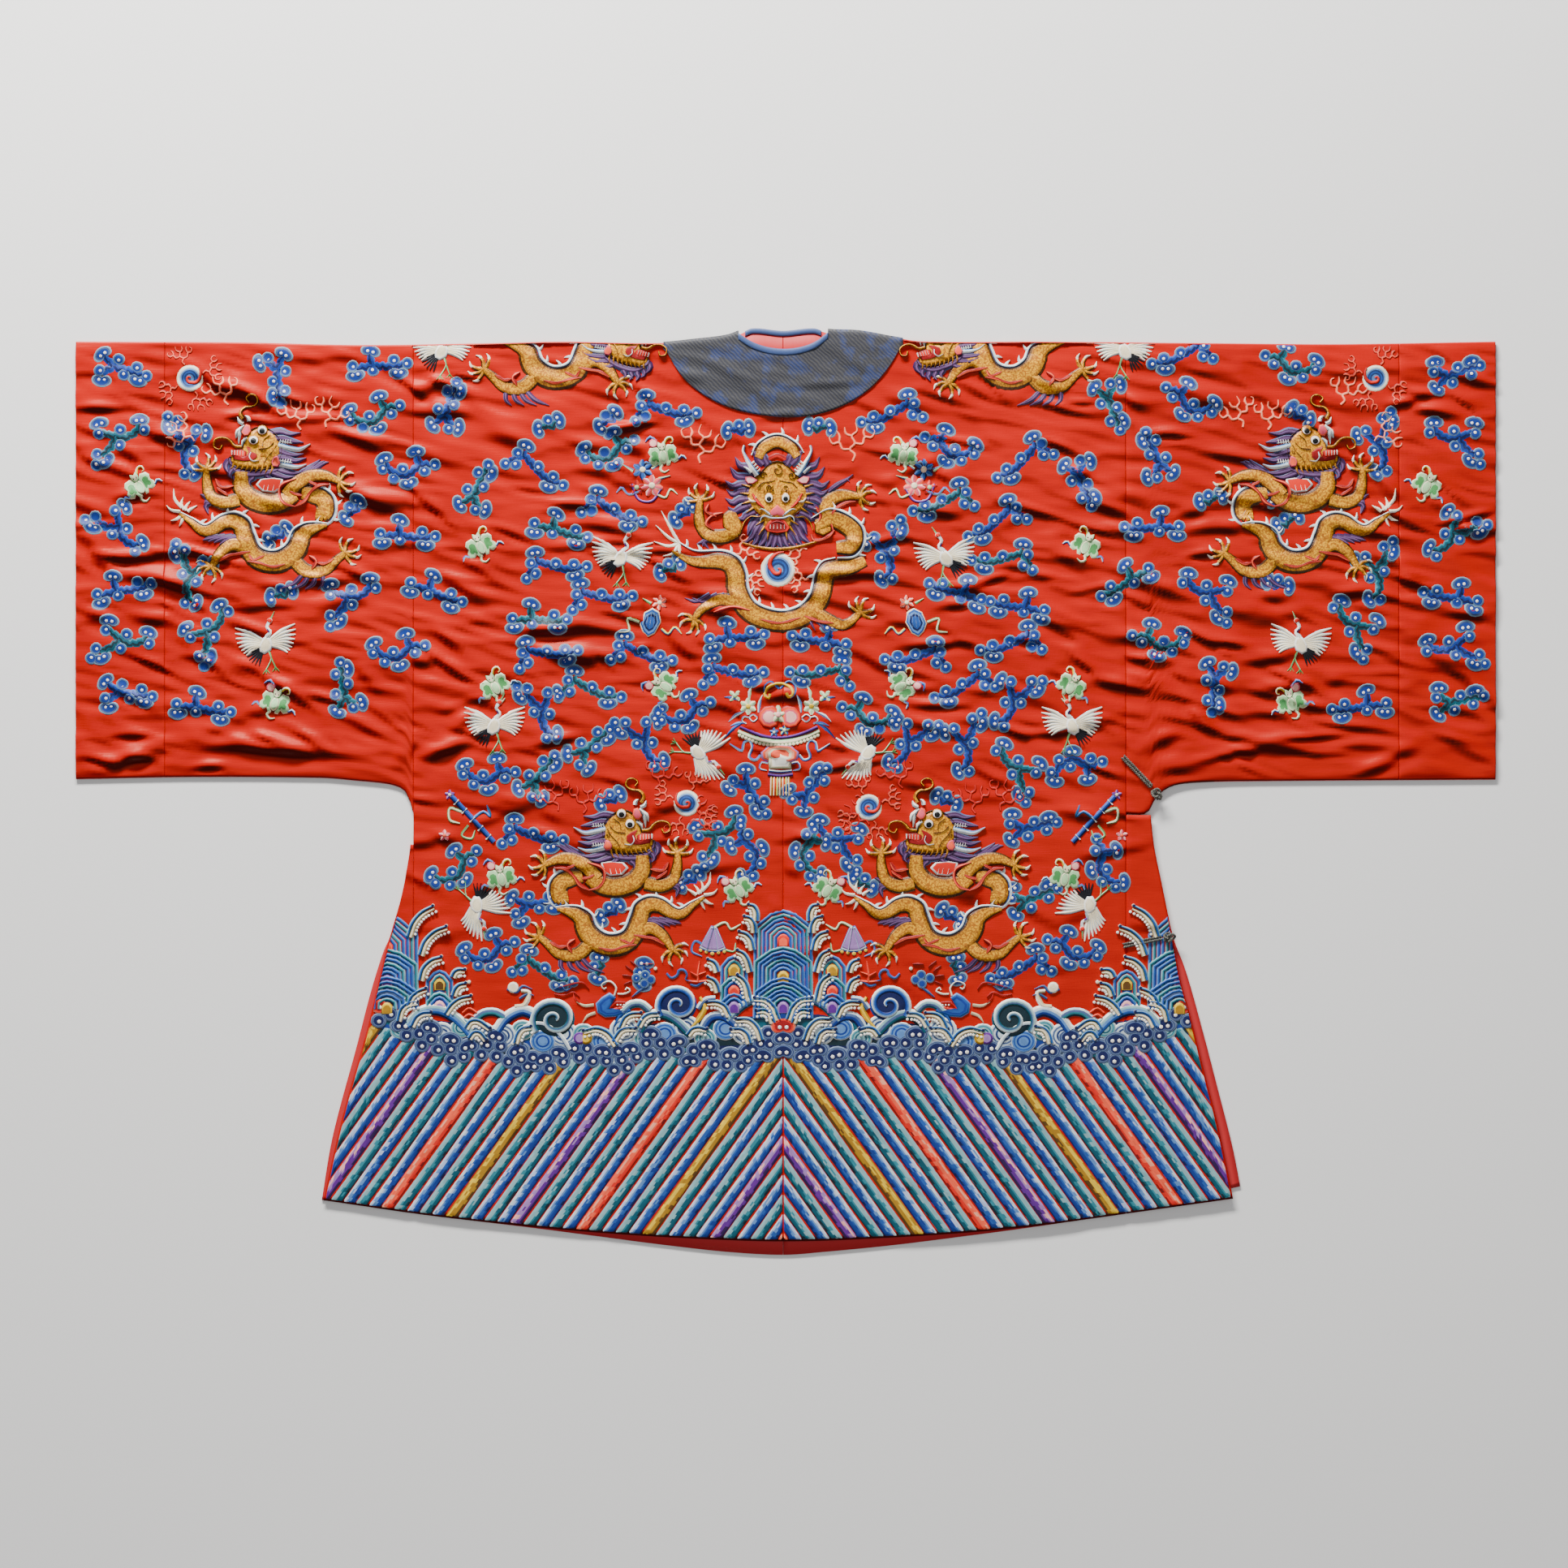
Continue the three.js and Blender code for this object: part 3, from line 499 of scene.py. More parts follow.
left_edge, right_edge = level(LEFT_SEAM - GAP / 2), level(RIGHT_SEAM + GAP / 2)
GORES = [  # name, left edge, right edge, top, hem, height
    ("cloth_gore_back_left", side(LEFT_BACK_SIDE), left_edge, -592, hem(BACK_HEM), back_height),
    ("cloth_gore_front_left", side(LEFT_FRONT_SIDE), left_edge, -592, hem(FRONT_HEM), on_table),
    ("cloth_gore_back_right", right_edge, side(RIGHT_BACK_SIDE), -557, hem(BACK_HEM), back_height),
    ("cloth_gore_inner_right", right_edge, side(RIGHT_BACK_SIDE, 8), -557, hem(BACK_HEM, INNER_RISE),
     front_height),
    ("cloth_gore_overlap_right", right_edge, side(RIGHT_FRONT_SIDE), -557, hem(FRONT_HEM), on_table),
]
for name, left, right, top, bottom, height in GORES:
    patch_panel(name, 16, 80, left, right, level(top), bottom, height)

patch_panel("cloth_overlap_front", 50, 40, level(GAP / 2), level(RIGHT_SEAM - GAP / 2), hem(OVERLAP_TOP),
            hem(FRONT_HEM), on_table)

# %% Collar and neck bindings
COLLAR_OFF = CLOTH / 2 + GAP + 0.75  # the collar's middle lies this far off the body cloth's middle
COLLAR_REACH, COLLAR_COLUMNS, COLLAR_BACK_ROWS, COLLAR_FRONT_ROWS = 141.5, 60, 30, 14
BINDING_COLUMNS, BINDING_ROWS, BINDING_CROWN = 60, 7, 0.9


def collar_height(x, y):
    """The middle of the collar's cloth."""
    return back_height(x, y) + COLLAR_OFF


def collar_column(x):
    """One line of points on the collar, over the fold at the shoulders."""
    top = shoulder(x).item()
    low, high = front_height(x, top).item(), back_height(x, top).item()
    start = top - FOLD_DEPTH
    edge = min(curve(COLLAR_EDGE, x).item(), start - 2)
    back = np.linspace(edge, start, COLLAR_BACK_ROWS)
    front = np.linspace(start, edge, COLLAR_FRONT_ROWS)
    if abs(x) < NECK_HALF:
        back = np.linspace(edge, curve(NECKLINE, x).item(), COLLAR_BACK_ROWS)
        front = np.linspace(top - NECK_DROP, edge, COLLAR_FRONT_ROWS)
    turn_y, turn_z = fold_over(top, low - COLLAR_OFF, high + COLLAR_OFF, 1)
    return column(x, (back, collar_height(x, back)), (turn_y + COLLAR_OFF * 0.8, turn_z),
                  (front, front_height(x, front) - COLLAR_OFF))


collar_places = np.sort(np.append(np.linspace(-COLLAR_REACH, COLLAR_REACH, COLLAR_COLUMNS),
                                  [-53.1, -52.9, 52.9, 53.1]))
thicken(sheet_object("cloth_collar", [collar_column(x) for x in collar_places],
                     skip=neck_opening(collar_places, COLLAR_BACK_ROWS)), 1.4)


def binding(name, reach, width, edge, height):
    """A crowned strip along a neck edge."""
    across = np.linspace(-1, 1, BINDING_ROWS)
    columns = []
    for x in np.linspace(-reach, reach, BINDING_COLUMNS):
        middle = edge(x) - width / 2
        columns.append(np.column_stack([np.full(BINDING_ROWS, x), middle + across * width / 2,
                                        height(x, middle) + BINDING_CROWN * (1 - across**2)]))
    return thicken(sheet_object(name, columns), 0.9)


binding("cloth_binding_back", NECK_HALF, 7.5, lambda x: curve(NECKLINE, x) + 1,
        lambda x, y: collar_height(x, y) + 0.9)
binding("cloth_binding_front", NECK_HALF - 8, 6, lambda x: shoulder(x) - 3,
        lambda x, y: front_height(x, y) + 1.2)

# %% [markdown]
# ## Finishes
#
# Satin is smooth and shiny along one direction of the weave and carries fine slubs. Embroidery silk
# is laid in parallel threads, so light breaks up along the stitches. Each is a Principled shader
# with a small bump, and the stitches take their colour from the piece's own thread colours. The
# satin's colour also carries painted shade, darker on slopes that face the hem.

# %% Helpers for materials
def srgb(code):
    """A dyer's hex code as the linear colour that shaders use."""
    value = np.array([int(code[i:i + 2], 16) for i in (0, 2, 4)]) / 255
    return tuple(np.where(value <= 0.04045, value / 12.92, ((value + 0.055) / 1.055) ** 2.4)) + (1.0,)


def new_finish(name, colour, rough, **sockets):
    """A Principled material; any further sockets are given by name."""
    finish = bpy.data.materials.new(name)
    finish.use_nodes = True
    shader = finish.node_tree.nodes["Principled BSDF"]
    shader.inputs["Base Color"].default_value = srgb(colour)
    shader.inputs["Roughness"].default_value = rough
    for socket, value in sockets.items():
        shader.inputs[socket.replace("_", " ")].default_value = value
    return finish


def colour_socket(finish):
    """The shader's colour input."""
    return finish.node_tree.nodes["Principled BSDF"].inputs["Base Color"]


def node(finish, kind, **settings):
    """A shader node, with its inputs or its own settings given by name."""
    made = finish.node_tree.nodes.new(kind)
    for key, value in settings.items():
        if key in made.inputs:
            made.inputs[key].default_value = value
        else:
            setattr(made, key, value)
    return made


def link(finish, start, end):
    """Joins an output to an input."""
    finish.node_tree.links.new(start, end)


def add_bump(finish, height, strength, distance, under=None):
    """A fine bump, over another one where there is one."""
    shader = finish.node_tree.nodes["Principled BSDF"]
    bump = node(finish, "ShaderNodeBump", Strength=strength, Distance=distance)
    link(finish, height, bump.inputs["Height"])
    if under:
        link(finish, under.outputs["Normal"], bump.inputs["Normal"])
    link(finish, bump.outputs["Normal"], shader.inputs["Normal"])
    return bump


def stretched_noise(finish, scale, stretch, detail=2.0):
    """Noise in the piece's own space, drawn out along one direction as threads are."""
    place = node(finish, "ShaderNodeTexCoord")
    stretcher = node(finish, "ShaderNodeMapping")
    stretcher.inputs["Scale"].default_value = stretch
    noise = node(finish, "ShaderNodeTexNoise", Scale=scale, Detail=detail)
    link(finish, place.outputs["Object"], stretcher.inputs["Vector"])
    link(finish, stretcher.outputs["Vector"], noise.inputs["Vector"])
    return noise


def tint(finish, factor, low, high, low_at=0.3, high_at=0.7):
    """Colour that goes between two dyes with a texture."""
    mix = node(finish, "ShaderNodeValToRGB")
    mix.color_ramp.elements[0].position, mix.color_ramp.elements[0].color = low_at, srgb(low)
    mix.color_ramp.elements[1].position, mix.color_ramp.elements[1].color = high_at, srgb(high)
    link(finish, factor, mix.inputs["Fac"])
    link(finish, mix.outputs["Color"], colour_socket(finish))


# %% Satin and lining
satin = new_finish("red satin", "c4201a", 0.4, Sheen_Weight=0.06, Sheen_Roughness=0.4,
                   Specular_IOR_Level=0.28,
                   Sheen_Tint=(1, 0.25, 0.15, 1), Specular_Tint=(1, 0.45, 0.3, 1))
tint(satin, stretched_noise(satin, 5, (1, 1.6, 1), 3).outputs["Fac"], "a80a06", "b81008")
# Painted shade: the more a slope faces the hem, away from the key light, the more the satin's colour is
# mixed towards a dark red
facing = node(satin, "ShaderNodeNewGeometry")
facing_parts = node(satin, "ShaderNodeSeparateXYZ")
link(satin, facing.outputs["Normal"], facing_parts.inputs["Vector"])
slope = node(satin, "ShaderNodeMapRange")
for socket, value in [("From Min", -0.42), ("From Max", -0.03), ("To Min", 1), ("To Max", 0)]:
    slope.inputs[socket].default_value = value
link(satin, facing_parts.outputs["Y"], slope.inputs["Value"])
painted_slope_shade = node(satin, "ShaderNodeMix", data_type="RGBA")
painted_slope_shade.inputs["B"].default_value = srgb("4a0204")
link(satin, slope.outputs["Result"], painted_slope_shade.inputs["Factor"])
link(satin, colour_socket(satin).links[0].from_socket, painted_slope_shade.inputs["A"])
link(satin, painted_slope_shade.outputs["Result"], colour_socket(satin))
crinkle = stretched_noise(satin, 46, (0.3, 1, 1), 3)
crinkle.noise_type = "RIDGED_MULTIFRACTAL"
puckers = add_bump(satin, crinkle.outputs["Fac"], 0.5, 0.0024)
weft = stretched_noise(satin, 260, (0.25, 3, 1))
slub = add_bump(satin, weft.outputs["Fac"], 0.25, 0.0006, puckers)
warp = stretched_noise(satin, 240, (3, 0.2, 1))
add_bump(satin, warp.outputs["Fac"], 0.18, 0.0005, slub)

lining = new_finish("red lining", "bc1a1c", 0.6, Sheen_Weight=0.1, Sheen_Tint=(1, 0.3, 0.3, 1))
add_bump(lining, stretched_noise(lining, 90, (1, 0.2, 1), 3).outputs["Fac"], 0.5, 0.001)

# %% The collar's brocade and the neck binding
# A fine slanting twill, with blue figures on a slate ground
brocade = new_finish("collar brocade", "2c3147", 0.62, Sheen_Weight=0.08)
tint(brocade, stretched_noise(brocade, 48, (1, 1, 1), 5).outputs["Fac"], "181a27", "132859", 0.5, 0.62)
twill = node(brocade, "ShaderNodeTexWave", Scale=120, Distortion=3, bands_direction="DIAGONAL")
weave_place = node(brocade, "ShaderNodeTexCoord")
link(brocade, weave_place.outputs["Object"], twill.inputs["Vector"])
figured = node(brocade, "ShaderNodeMix", data_type="RGBA")
figured.inputs["B"].default_value = srgb("48453d")
faint = node(brocade, "ShaderNodeMath", operation="MULTIPLY")
faint.inputs[1].default_value = 0.45
link(brocade, twill.outputs["Fac"], faint.inputs[0])
link(brocade, faint.outputs["Value"], figured.inputs["Factor"])
link(brocade, colour_socket(brocade).links[0].from_socket, figured.inputs["A"])
link(brocade, figured.outputs["Result"], colour_socket(brocade))
add_bump(brocade, twill.outputs["Fac"], 0.4, 0.0006)

trim = new_finish("neck binding", "2d4474", 0.55, Sheen_Weight=0.2)
add_bump(trim, stretched_noise(trim, 500, (1, 0.3, 1)).outputs["Fac"], 0.4, 0.0005)
print("finishes:", ", ".join(finish.name for finish in (satin, lining, brocade, trim)))

# %% Dress the panels
for name, cloth in pieces.items():
    cloth.data.materials.append(brocade if "collar" in name else trim if "binding" in name else satin)
    cloth.data.materials.append(lining)
    if "collar" in name or "binding" in name:
        continue
    # The front layer shows its lining where it faces up; the back layer lies over it
    count = len(cloth.data.polygons)
    centre, normal = np.zeros((count, 3)), np.zeros((count, 3))
    cloth.data.polygons.foreach_get("center", centre.ravel())
    cloth.data.polygons.foreach_get("normal", normal.ravel())
    inside = (normal[:, 2] > 0.5) & (centre[:, 2] * 1000 < FRONT_REST + LAYER + 1.0)
    back_there = back_height(*(centre[:, :2].T * 1000 - SEAM_TO_FRAME[:, None]))
    inside &= centre[:, 2] * 1000 < back_there - 0.2
    if "overlap" in name or "front" in name or "inner" in name:
        inside |= normal[:, 2] > 0.5
    cloth.data.polygons.foreach_set("material_index", inside.astype(int))
    print(name, inside.sum(), "of", count, "faces show the lining")

# %% [markdown]
# ## Silk thread
#
# Embroidery covers most of the robe. A stitcher fills a shape with rows of satin stitch in a few
# shades of one dye, palest along one edge. So each shape here is a low crowned strip or a nest of
# rings, with one thread colour on each face. The faces are drawn flat on the pattern in
# millimetres, each with its rise above the cloth, and are laid on the satin afterwards. Gold is a
# metal thread held down with small stitches, so it gets a material of its own.

# %% Thread colours
DYES = {
    "white": "f4efe4", "cream": "ecdfc0", "ivory": "cdbb92", "frost": "c9d4d6", "pearl": "b3c0dc",
    "sky": "6a92c2", "azure": "2c62a8", "royal": "164392", "navy": "0b1f5c", "ink": "070c26",
    "slate": "5a6d92", "smoke": "76859c", "haze": "7c9fac", "steel": "30477a", "lilac": "7d6088",
    "mist": "8fb3b6", "aqua": "3a8c98", "teal": "0f6272", "pine": "06353f", "mint": "b4d6a6",
    "leaf": "5a9c5e", "moss": "28573a",
    "gold": "f6bc16", "amber": "cf980a", "bronze": "6a4708", "lemon": "e4c23a", "mustard": "b38a14",
    "umber": "6d4c0c", "scarlet": "e03018", "crimson": "a00c12", "brick": "8c1410", "coral": "f26a48",
    "peach": "f2a98c", "rose": "dc5f74", "blush": "f0b4ac", "violet": "6f2a92", "plum": "3e1058",
    "mauve": "a884b8", "grape": "54305a", "black": "0c0a0a",
}
DEPTH_OF_DYE = 1.25  # studio light pales the colours, so the dyes are made deeper to match
WHITE, BRONZE = ("white",), ("bronze",)
FROST, ICE = ("white", "frost"), ("white", "frost", "sky")
LEAF, CELADON = ("leaf", "mint"), ("mint", "cream", "leaf")
BRIGHT_GOLD = ("bronze", "gold", "amber")
CRIMSON, CORAL = ("crimson", "scarlet"), ("coral", "scarlet")
SHADES = {name: np.append(np.array(srgb(code)[:3]) ** DEPTH_OF_DYE, 1) for name, code in DYES.items()}

print(len(SHADES), "dyes")

# %% Silk and gold thread
silk = new_finish("silk thread", "ffffff", 0.45, Sheen_Weight=0.1, Specular_IOR_Level=0.25)
gold_thread = new_finish("gold thread", "ffffff", 0.42, Metallic=0.2, Specular_IOR_Level=0.4)
for finish, across, strength in [(silk, 2.4, 0.35), (gold_thread, 1.3, 0.6)]:
    dye = node(finish, "ShaderNodeAttribute", attribute_name="thread")
    link(finish, dye.outputs["Color"], colour_socket(finish))
    run = node(finish, "ShaderNodeAttribute", attribute_name="stitch")
    narrow = node(finish, "ShaderNodeMapping")
    narrow.inputs["Scale"].default_value = (across, 0.12, 1)
    link(finish, run.outputs["Vector"], narrow.inputs["Vector"])
    strands = node(finish, "ShaderNodeTexNoise", Scale=1.0, Detail=1.5)
    link(finish, narrow.outputs["Vector"], strands.inputs["Vector"])
    add_bump(finish, strands.outputs["Fac"], strength, 0.0006)

# Couched gold is darker between its little scales
scales = node(gold_thread, "ShaderNodeTexVoronoi", Scale=0.5)
link(gold_thread, run.outputs["Vector"], scales.inputs["Vector"])
between = node(gold_thread, "ShaderNodeValToRGB")
between.color_ramp.elements[0].position, between.color_ramp.elements[0].color = 0.25, (1, 1, 1, 1)
between.color_ramp.elements[1].position, between.color_ramp.elements[1].color = 0.75, (0.46, 0.3, 0.1, 1)
link(gold_thread, scales.outputs["Distance"], between.inputs["Fac"])
shade = node(gold_thread, "ShaderNodeMix", data_type="RGBA", blend_type="MULTIPLY")
shade.inputs["Factor"].default_value = 1.0
link(gold_thread, dye.outputs["Color"], shade.inputs["A"])
link(gold_thread, between.outputs["Color"], shade.inputs["B"])
link(gold_thread, shade.outputs["Result"], colour_socket(gold_thread))
print("threads:", silk.name, "and", gold_thread.name)

# %% The stitching kit
def smooth_line(points, step, closed=False):
    """Even steps along a smooth line through the given points."""
    points = np.array(points, float)
    if closed:
        points = np.vstack([points, points[:1]])
    run = np.concatenate([[0], np.cumsum(np.hypot(*np.diff(points, axis=0).T))])
    places = np.linspace(0, run[-1], max(3, round(run[-1] / step) + 1))
    return np.column_stack([curve(np.column_stack([run, points[:, k]]), places) for k in (0, 1)])


def circle(x, y, radius, count=10, tall=1.0):
    """Points round a circle, or round an upright ellipse."""
    angles = np.arange(count) * 2 * math.pi / count
    return np.column_stack([x + radius * np.sin(angles), y + radius * tall * np.cos(angles)])


def beside(path, gap):
    """The path moved sideways, to the right of its direction."""
    ahead = np.gradient(path, axis=0)
    ahead /= np.hypot(*ahead.T)[:, None]
    return path + np.column_stack([ahead[:, 1], -ahead[:, 0]]) * gap


def charted(rows, middle, square):
    """Squares counted right and down on a chart, as millimetres from its middle."""
    rows = np.array(rows, float)
    return np.column_stack([rows[:, 0] - middle[0], middle[1] - rows[:, 1]]) * square


UNDER_SATIN = -0.3  # the edge of a shape goes just under the surface that it is worked on


class Needlework:
    """Stitched shapes, flat on the pattern, with a rise above the cloth and one thread a face."""

    def __init__(self):
        self.points, self.grain, self.faces, self.threads, self.gold = [], [], [], [], []
        self.count = 0
        self.lay(0, 0)

    def lay(self, x, y, size=1.0, flip=1, turn=0, lift=0.0):
        """Puts the middle of a chart at a place on the robe; flip -1 turns it over sideways."""
        c, s = math.cos(math.radians(turn)) * size, math.sin(math.radians(turn)) * size
        self.turned = np.array([[c * flip, s], [-s * flip, c]])
        self.place = np.array([x, y])
        self.lift = lift
        self.rim = UNDER_SATIN

    def add_grid(self, flat, rise, names, grain, gold, ring=False):
        """names holds the thread of each face, row by row."""
        rows, across = rise.shape
        placed = flat.reshape(-1, 2) @ self.turned + self.place
        rise = np.where(rise > 0, rise + self.lift, self.rim)
        self.points.append(np.column_stack([placed, rise.reshape(-1)]))
        self.grain.append(grain.reshape(-1, 2))
        i, j = np.indices((rows - 1, across if ring else across - 1))
        k = (j + 1) % across
        quads = [i * across + j, i * across + k, (i + 1) * across + k, (i + 1) * across + j]
        self.faces += (np.stack(quads, -1).reshape(-1, 4) + self.count).tolist()
        self.threads += names
        self.gold += [gold] * i.size
        self.count += rows * across

    def band(self, path, width, shades, rise=0.8, step=3.0, gold=False, straight=False):
        """A row of stitches along a path; the first shade is on the left of its direction."""
        shades = list(shades) * 2 if len(shades) == 1 else list(shades)
        line = np.array(path, float) if straight else smooth_line(path, step)
        along = np.concatenate([[0], np.cumsum(np.hypot(*np.diff(line, axis=0).T))])
        if np.ndim(width):
            width = np.interp(along / along[-1], np.linspace(0, 1, len(width)), width)
        width = np.broadcast_to(width, len(line))
        ahead = np.gradient(line, axis=0)
        ahead /= np.maximum(np.hypot(*ahead.T), 1e-6)[:, None]
        left = np.column_stack([-ahead[:, 1], ahead[:, 0]])
        across = np.linspace(1, -1, len(shades) + 1)
        reach = across * width[:, None] / 2
        crown = np.broadcast_to(rise * np.sqrt(1 - across**2), reach.shape)
        grain = np.stack([np.broadcast_to(along[:, None], reach.shape), reach], -1)
        self.add_grid(line[:, None] + left[:, None] * reach[..., None], crown,
                      shades * (len(line) - 1), grain, gold)

    def bloom(self, outline, shades, rise=0.7, middle=None, core=0.35, gold=False):
        """A shape worked inwards from its edge in rings, one shade to a ring."""
        shades = list(shades) * 2 if len(shades) == 1 else list(shades)
        rim = np.array(outline, float)
        middle = rim.mean(axis=0) if middle is None else np.array(middle, float)
        sizes = np.concatenate([[1], np.linspace(0.87, core, len(shades)) ** 0.8])
        flat = middle + (rim - middle) * sizes[:, None, None]
        level = np.concatenate([[0], rise * np.linspace(0.75, 1, len(shades))])
        crown = np.repeat(level[:, None], len(rim), axis=1)
        names = [shade for shade in shades for _ in rim]
        first_ring = self.count + len(shades) * len(rim)
        self.add_grid(flat, crown, names, flat.copy(), gold, ring=True)
        self.faces.append(list(range(first_ring, first_ring + len(rim))))
        self.threads.append(shades[-1])
        self.gold.append(gold)

    def dot(self, x, y, radius, shades=WHITE, rise=0.9):
        self.bloom(circle(x, y, radius, 6), shades, rise)

    def make(self, name, group=None):
        """The finished shapes as one object, still flat and in millimetres."""
        mesh = bpy.data.meshes.new(name)
        mesh.from_pydata(np.concatenate(self.points).tolist(), [], self.faces)
        grain = np.zeros((self.count, 3))
        grain[:, :2] = np.concatenate(self.grain)
        mesh.attributes.new("stitch", "FLOAT_VECTOR", "POINT").data.foreach_set("vector", grain.ravel())
        dyed = np.array([SHADES[thread] for thread in self.threads])
        dyed[:, :3] *= rng.uniform(0.86, 1.08, (len(dyed), 1))
        corners = np.repeat(dyed, [len(face) for face in self.faces], axis=0)
        mesh.color_attributes.new("thread", "FLOAT_COLOR", "CORNER").data.foreach_set("color",
                                                                                      corners.ravel())
        mesh.polygons.foreach_set("material_index", [int(gold) for gold in self.gold])
        mesh.materials.append(silk)
        mesh.materials.append(gold_thread)
        return new_object(name, mesh, group)


# %% Laying the stitches on the cloth
stitched = []
top_points, top_faces = [], []
for name in ("body_left", "body_right", "sleeve_left", "sleeve_right", "cuff_left", "cuff_right",
             "gore_back_left", "gore_back_right"):
    mesh = pieces["cloth_" + name].data
    start = len(top_points)
    top_points += [vertex.co[:] for vertex in mesh.vertices]
    top_faces += [[start + corner for corner in face.vertices] for face in mesh.polygons]
cloth_top = BVHTree.FromPolygons(top_points, top_faces)
print("stitches will lie on", len(top_faces), "faces of cloth")


def settle(made):
    """Lays flat stitches on the satin, trimmed to its edges."""
    mesh = made.data
    points = np.empty(len(mesh.vertices) * 3)
    mesh.vertices.foreach_get("co", points)
    points = points.reshape(-1, 3)
    x, y = points[:, 0], points[:, 1]
    inside = np.clip(x, curve(LEFT_BACK_SIDE, y) + 1.5, curve(RIGHT_BACK_SIDE, y) - 1.5)
    points[:, 0] = np.where(y < ARMPIT, inside, x)
    points[:, 1] = np.minimum(y, shoulder(points[:, 0]) - 1)
    rest = (back_height(points[:, 0], points[:, 1]) + CLOTH / 2) / 1000
    placed = to_frame(points)
    for i, (x, y, rise) in enumerate(placed.tolist()):
        hit = cloth_top.ray_cast((x, y, 0.05), (0, 0, -1))[0]
        placed[i, 2] = rise + (hit.z if hit else rest[i])
    mesh.vertices.foreach_set("co", placed.ravel())
    cleaned = bmesh.new()
    cleaned.from_mesh(mesh)
    bmesh.ops.dissolve_degenerate(cleaned, dist=2e-5, edges=cleaned.edges)
    cleaned.normal_update()
    bmesh.ops.reverse_faces(cleaned, faces=[face for face in cleaned.faces if face.normal.z < 0])
    cleaned.to_mesh(mesh)
    cleaned.free()
    mesh.shade_smooth()
    mesh.calc_loop_triangles()
    stitched.append(made)
    print(made.name, len(mesh.loop_triangles), "triangles")
    return made


# %% [markdown]
# ## Clouds
#
# Dozens of small clouds fill the ground, and they are all the same few ideas: a wavy stem with
# curled heads on it, a white knot in each curl. Seven designs are drawn once with a blue stem and
# once with a green one. A Geometry Nodes tree then puts one of them at each place in a table, turned
# and on the right half turned over, and makes the copies real, so any cloud can be moved.

# %% Cloud designs
HEAD_HALF = [(0, 7.3), (3.4, 6.7), (6.5, 4.9), (8.9, 2.7), (10, -0.5), (9.2, -4), (6.4, -6.5), (3, -6.3)]
DOUBLE_HEAD = HEAD_HALF + [(0, -4.6)] + [(-x, y) for x, y in HEAD_HALF[:0:-1]]
SINGLE_HEAD = [(0, 6.6), (3.8, 5.9), (6.4, 3), (6.9, -0.6), (5.6, -4), (2.6, -6.2), (-1.4, -6.4),
               (-5, -4.4), (-6.8, -1), (-6.2, 3), (-3.6, 5.8)]
CLOUD_BLUES = ("haze", "haze", "steel", "smoke", "azure", "steel", "royal")
CLOUD_GREYS = ("haze", "haze", "smoke", "steel", "slate", "steel", "royal")
SEA_BLUES = ("smoke", "smoke", "steel", "smoke", "steel", "navy")
KNOT = 2.1  # radius of the white knot in a curl


def curl_head(work, x, y, turn, double, shades, size=1.0):
    """A curled head with one or two white knots."""
    c, s = math.cos(turn) * size, math.sin(turn) * size
    spin = np.array([[c, s], [-s, c]])
    head, stretch, knots = SINGLE_HEAD, 1.06, ((0.6, -0.8),)
    if double:
        head, stretch, knots = DOUBLE_HEAD, (1.2, 1.04), ((-3.1, -1.2), (3.1, -1.2))
    work.bloom(np.array(head) * stretch @ spin + (x, y), shades, 0.8, core=0.42)
    for knot in knots:
        work.bloom(circle(*(np.array(knot) @ spin + (x, y)), KNOT * size, 6), ("lilac", "white"), 1.1,
                   core=0.66)


CLOUDS = [  # stems, then heads as (x, y, 1 for a single or 2 for a double knot)
    ([[(-11, 20), (-6, 11), (0, 4), (9, -5), (26, -7), (33, -2)], [(0, 4), (-12, -3), (-30, -5)]],
     [(-7, 30, 2), (-15, 19, 1), (36, 2, 2), (33, -12, 1), (-33, 0, 1), (-29, -14, 2), (-42, -10, 1),
      (-3, -8, 1), (9, 7, 1)]),
    ([[(-16, 18), (-4, 4), (9, -2), (24, -8), (32, -11)], [(-4, 4), (-20, -3)]],
     [(-18, 21, 2), (2, 12, 1), (-23, 0, 1), (-22, -13, 2), (7, -8, 1), (24, 0, 1), (23, -17, 2),
      (35, -12, 1)]),
    ([[(-11, 14), (-8, -2)], [(-31, -5), (-20, -3), (-8, -2), (9, -2), (24, -1), (33, 2)]],
     [(-10, 18, 2), (-33, -2, 1), (-29, -14, 2), (-7, -7, 1), (19, 6, 1), (25, -11, 2), (36, 2, 1)]),
    ([[(-22, 14), (-20, 9), (-7, 3), (9, -4), (22, -7), (38, -6)], [(-22, 9), (-35, -9)]],
     [(-22, 21, 2), (-29, 8, 1), (-25, -6, 1), (-37, -11, 1), (2, 3, 1), (24, -1, 1), (24, -16, 2),
      (40, -6, 1)]),
    ([[(-26, 8), (-20, -1), (-10, -5), (2, -5), (11, 2), (19, 9), (33, 9)], [(17, 9), (12, 20)]],
     [(-29, 13, 2), (-29, 0, 1), (-14, -11, 1), (-4, 2, 1), (5, -16, 2), (11, 25, 2), (24, 1, 1),
      (36, 10, 1)]),
    ([[(-10, -3), (-3, 1), (4, -2), (10, 3)]], [(-14, -3, 2), (14, 4, 2), (0, 6, 1)]),
    ([[(-39, -10), (-31, -9), (-13, -7), (2, 2), (18, 4), (30, 8)], [(-35, 4), (-32, -9)],
      [(2, 2), (1, 14)]],
     [(-35, 9, 2), (-39, -17, 2), (-12, -2, 1), (1, 20, 2), (-8, 12, 1), (-2, -10, 1), (9, -4, 1),
      (27, 12, 1), (37, 3, 2)]),
]
BLUE_STEM, GREEN_STEM = ("azure", "royal", "navy", "royal"), ("aqua", "teal", "pine", "teal")
STEM_WIDTHS = [8, 12, 12, 12, 12, 8]
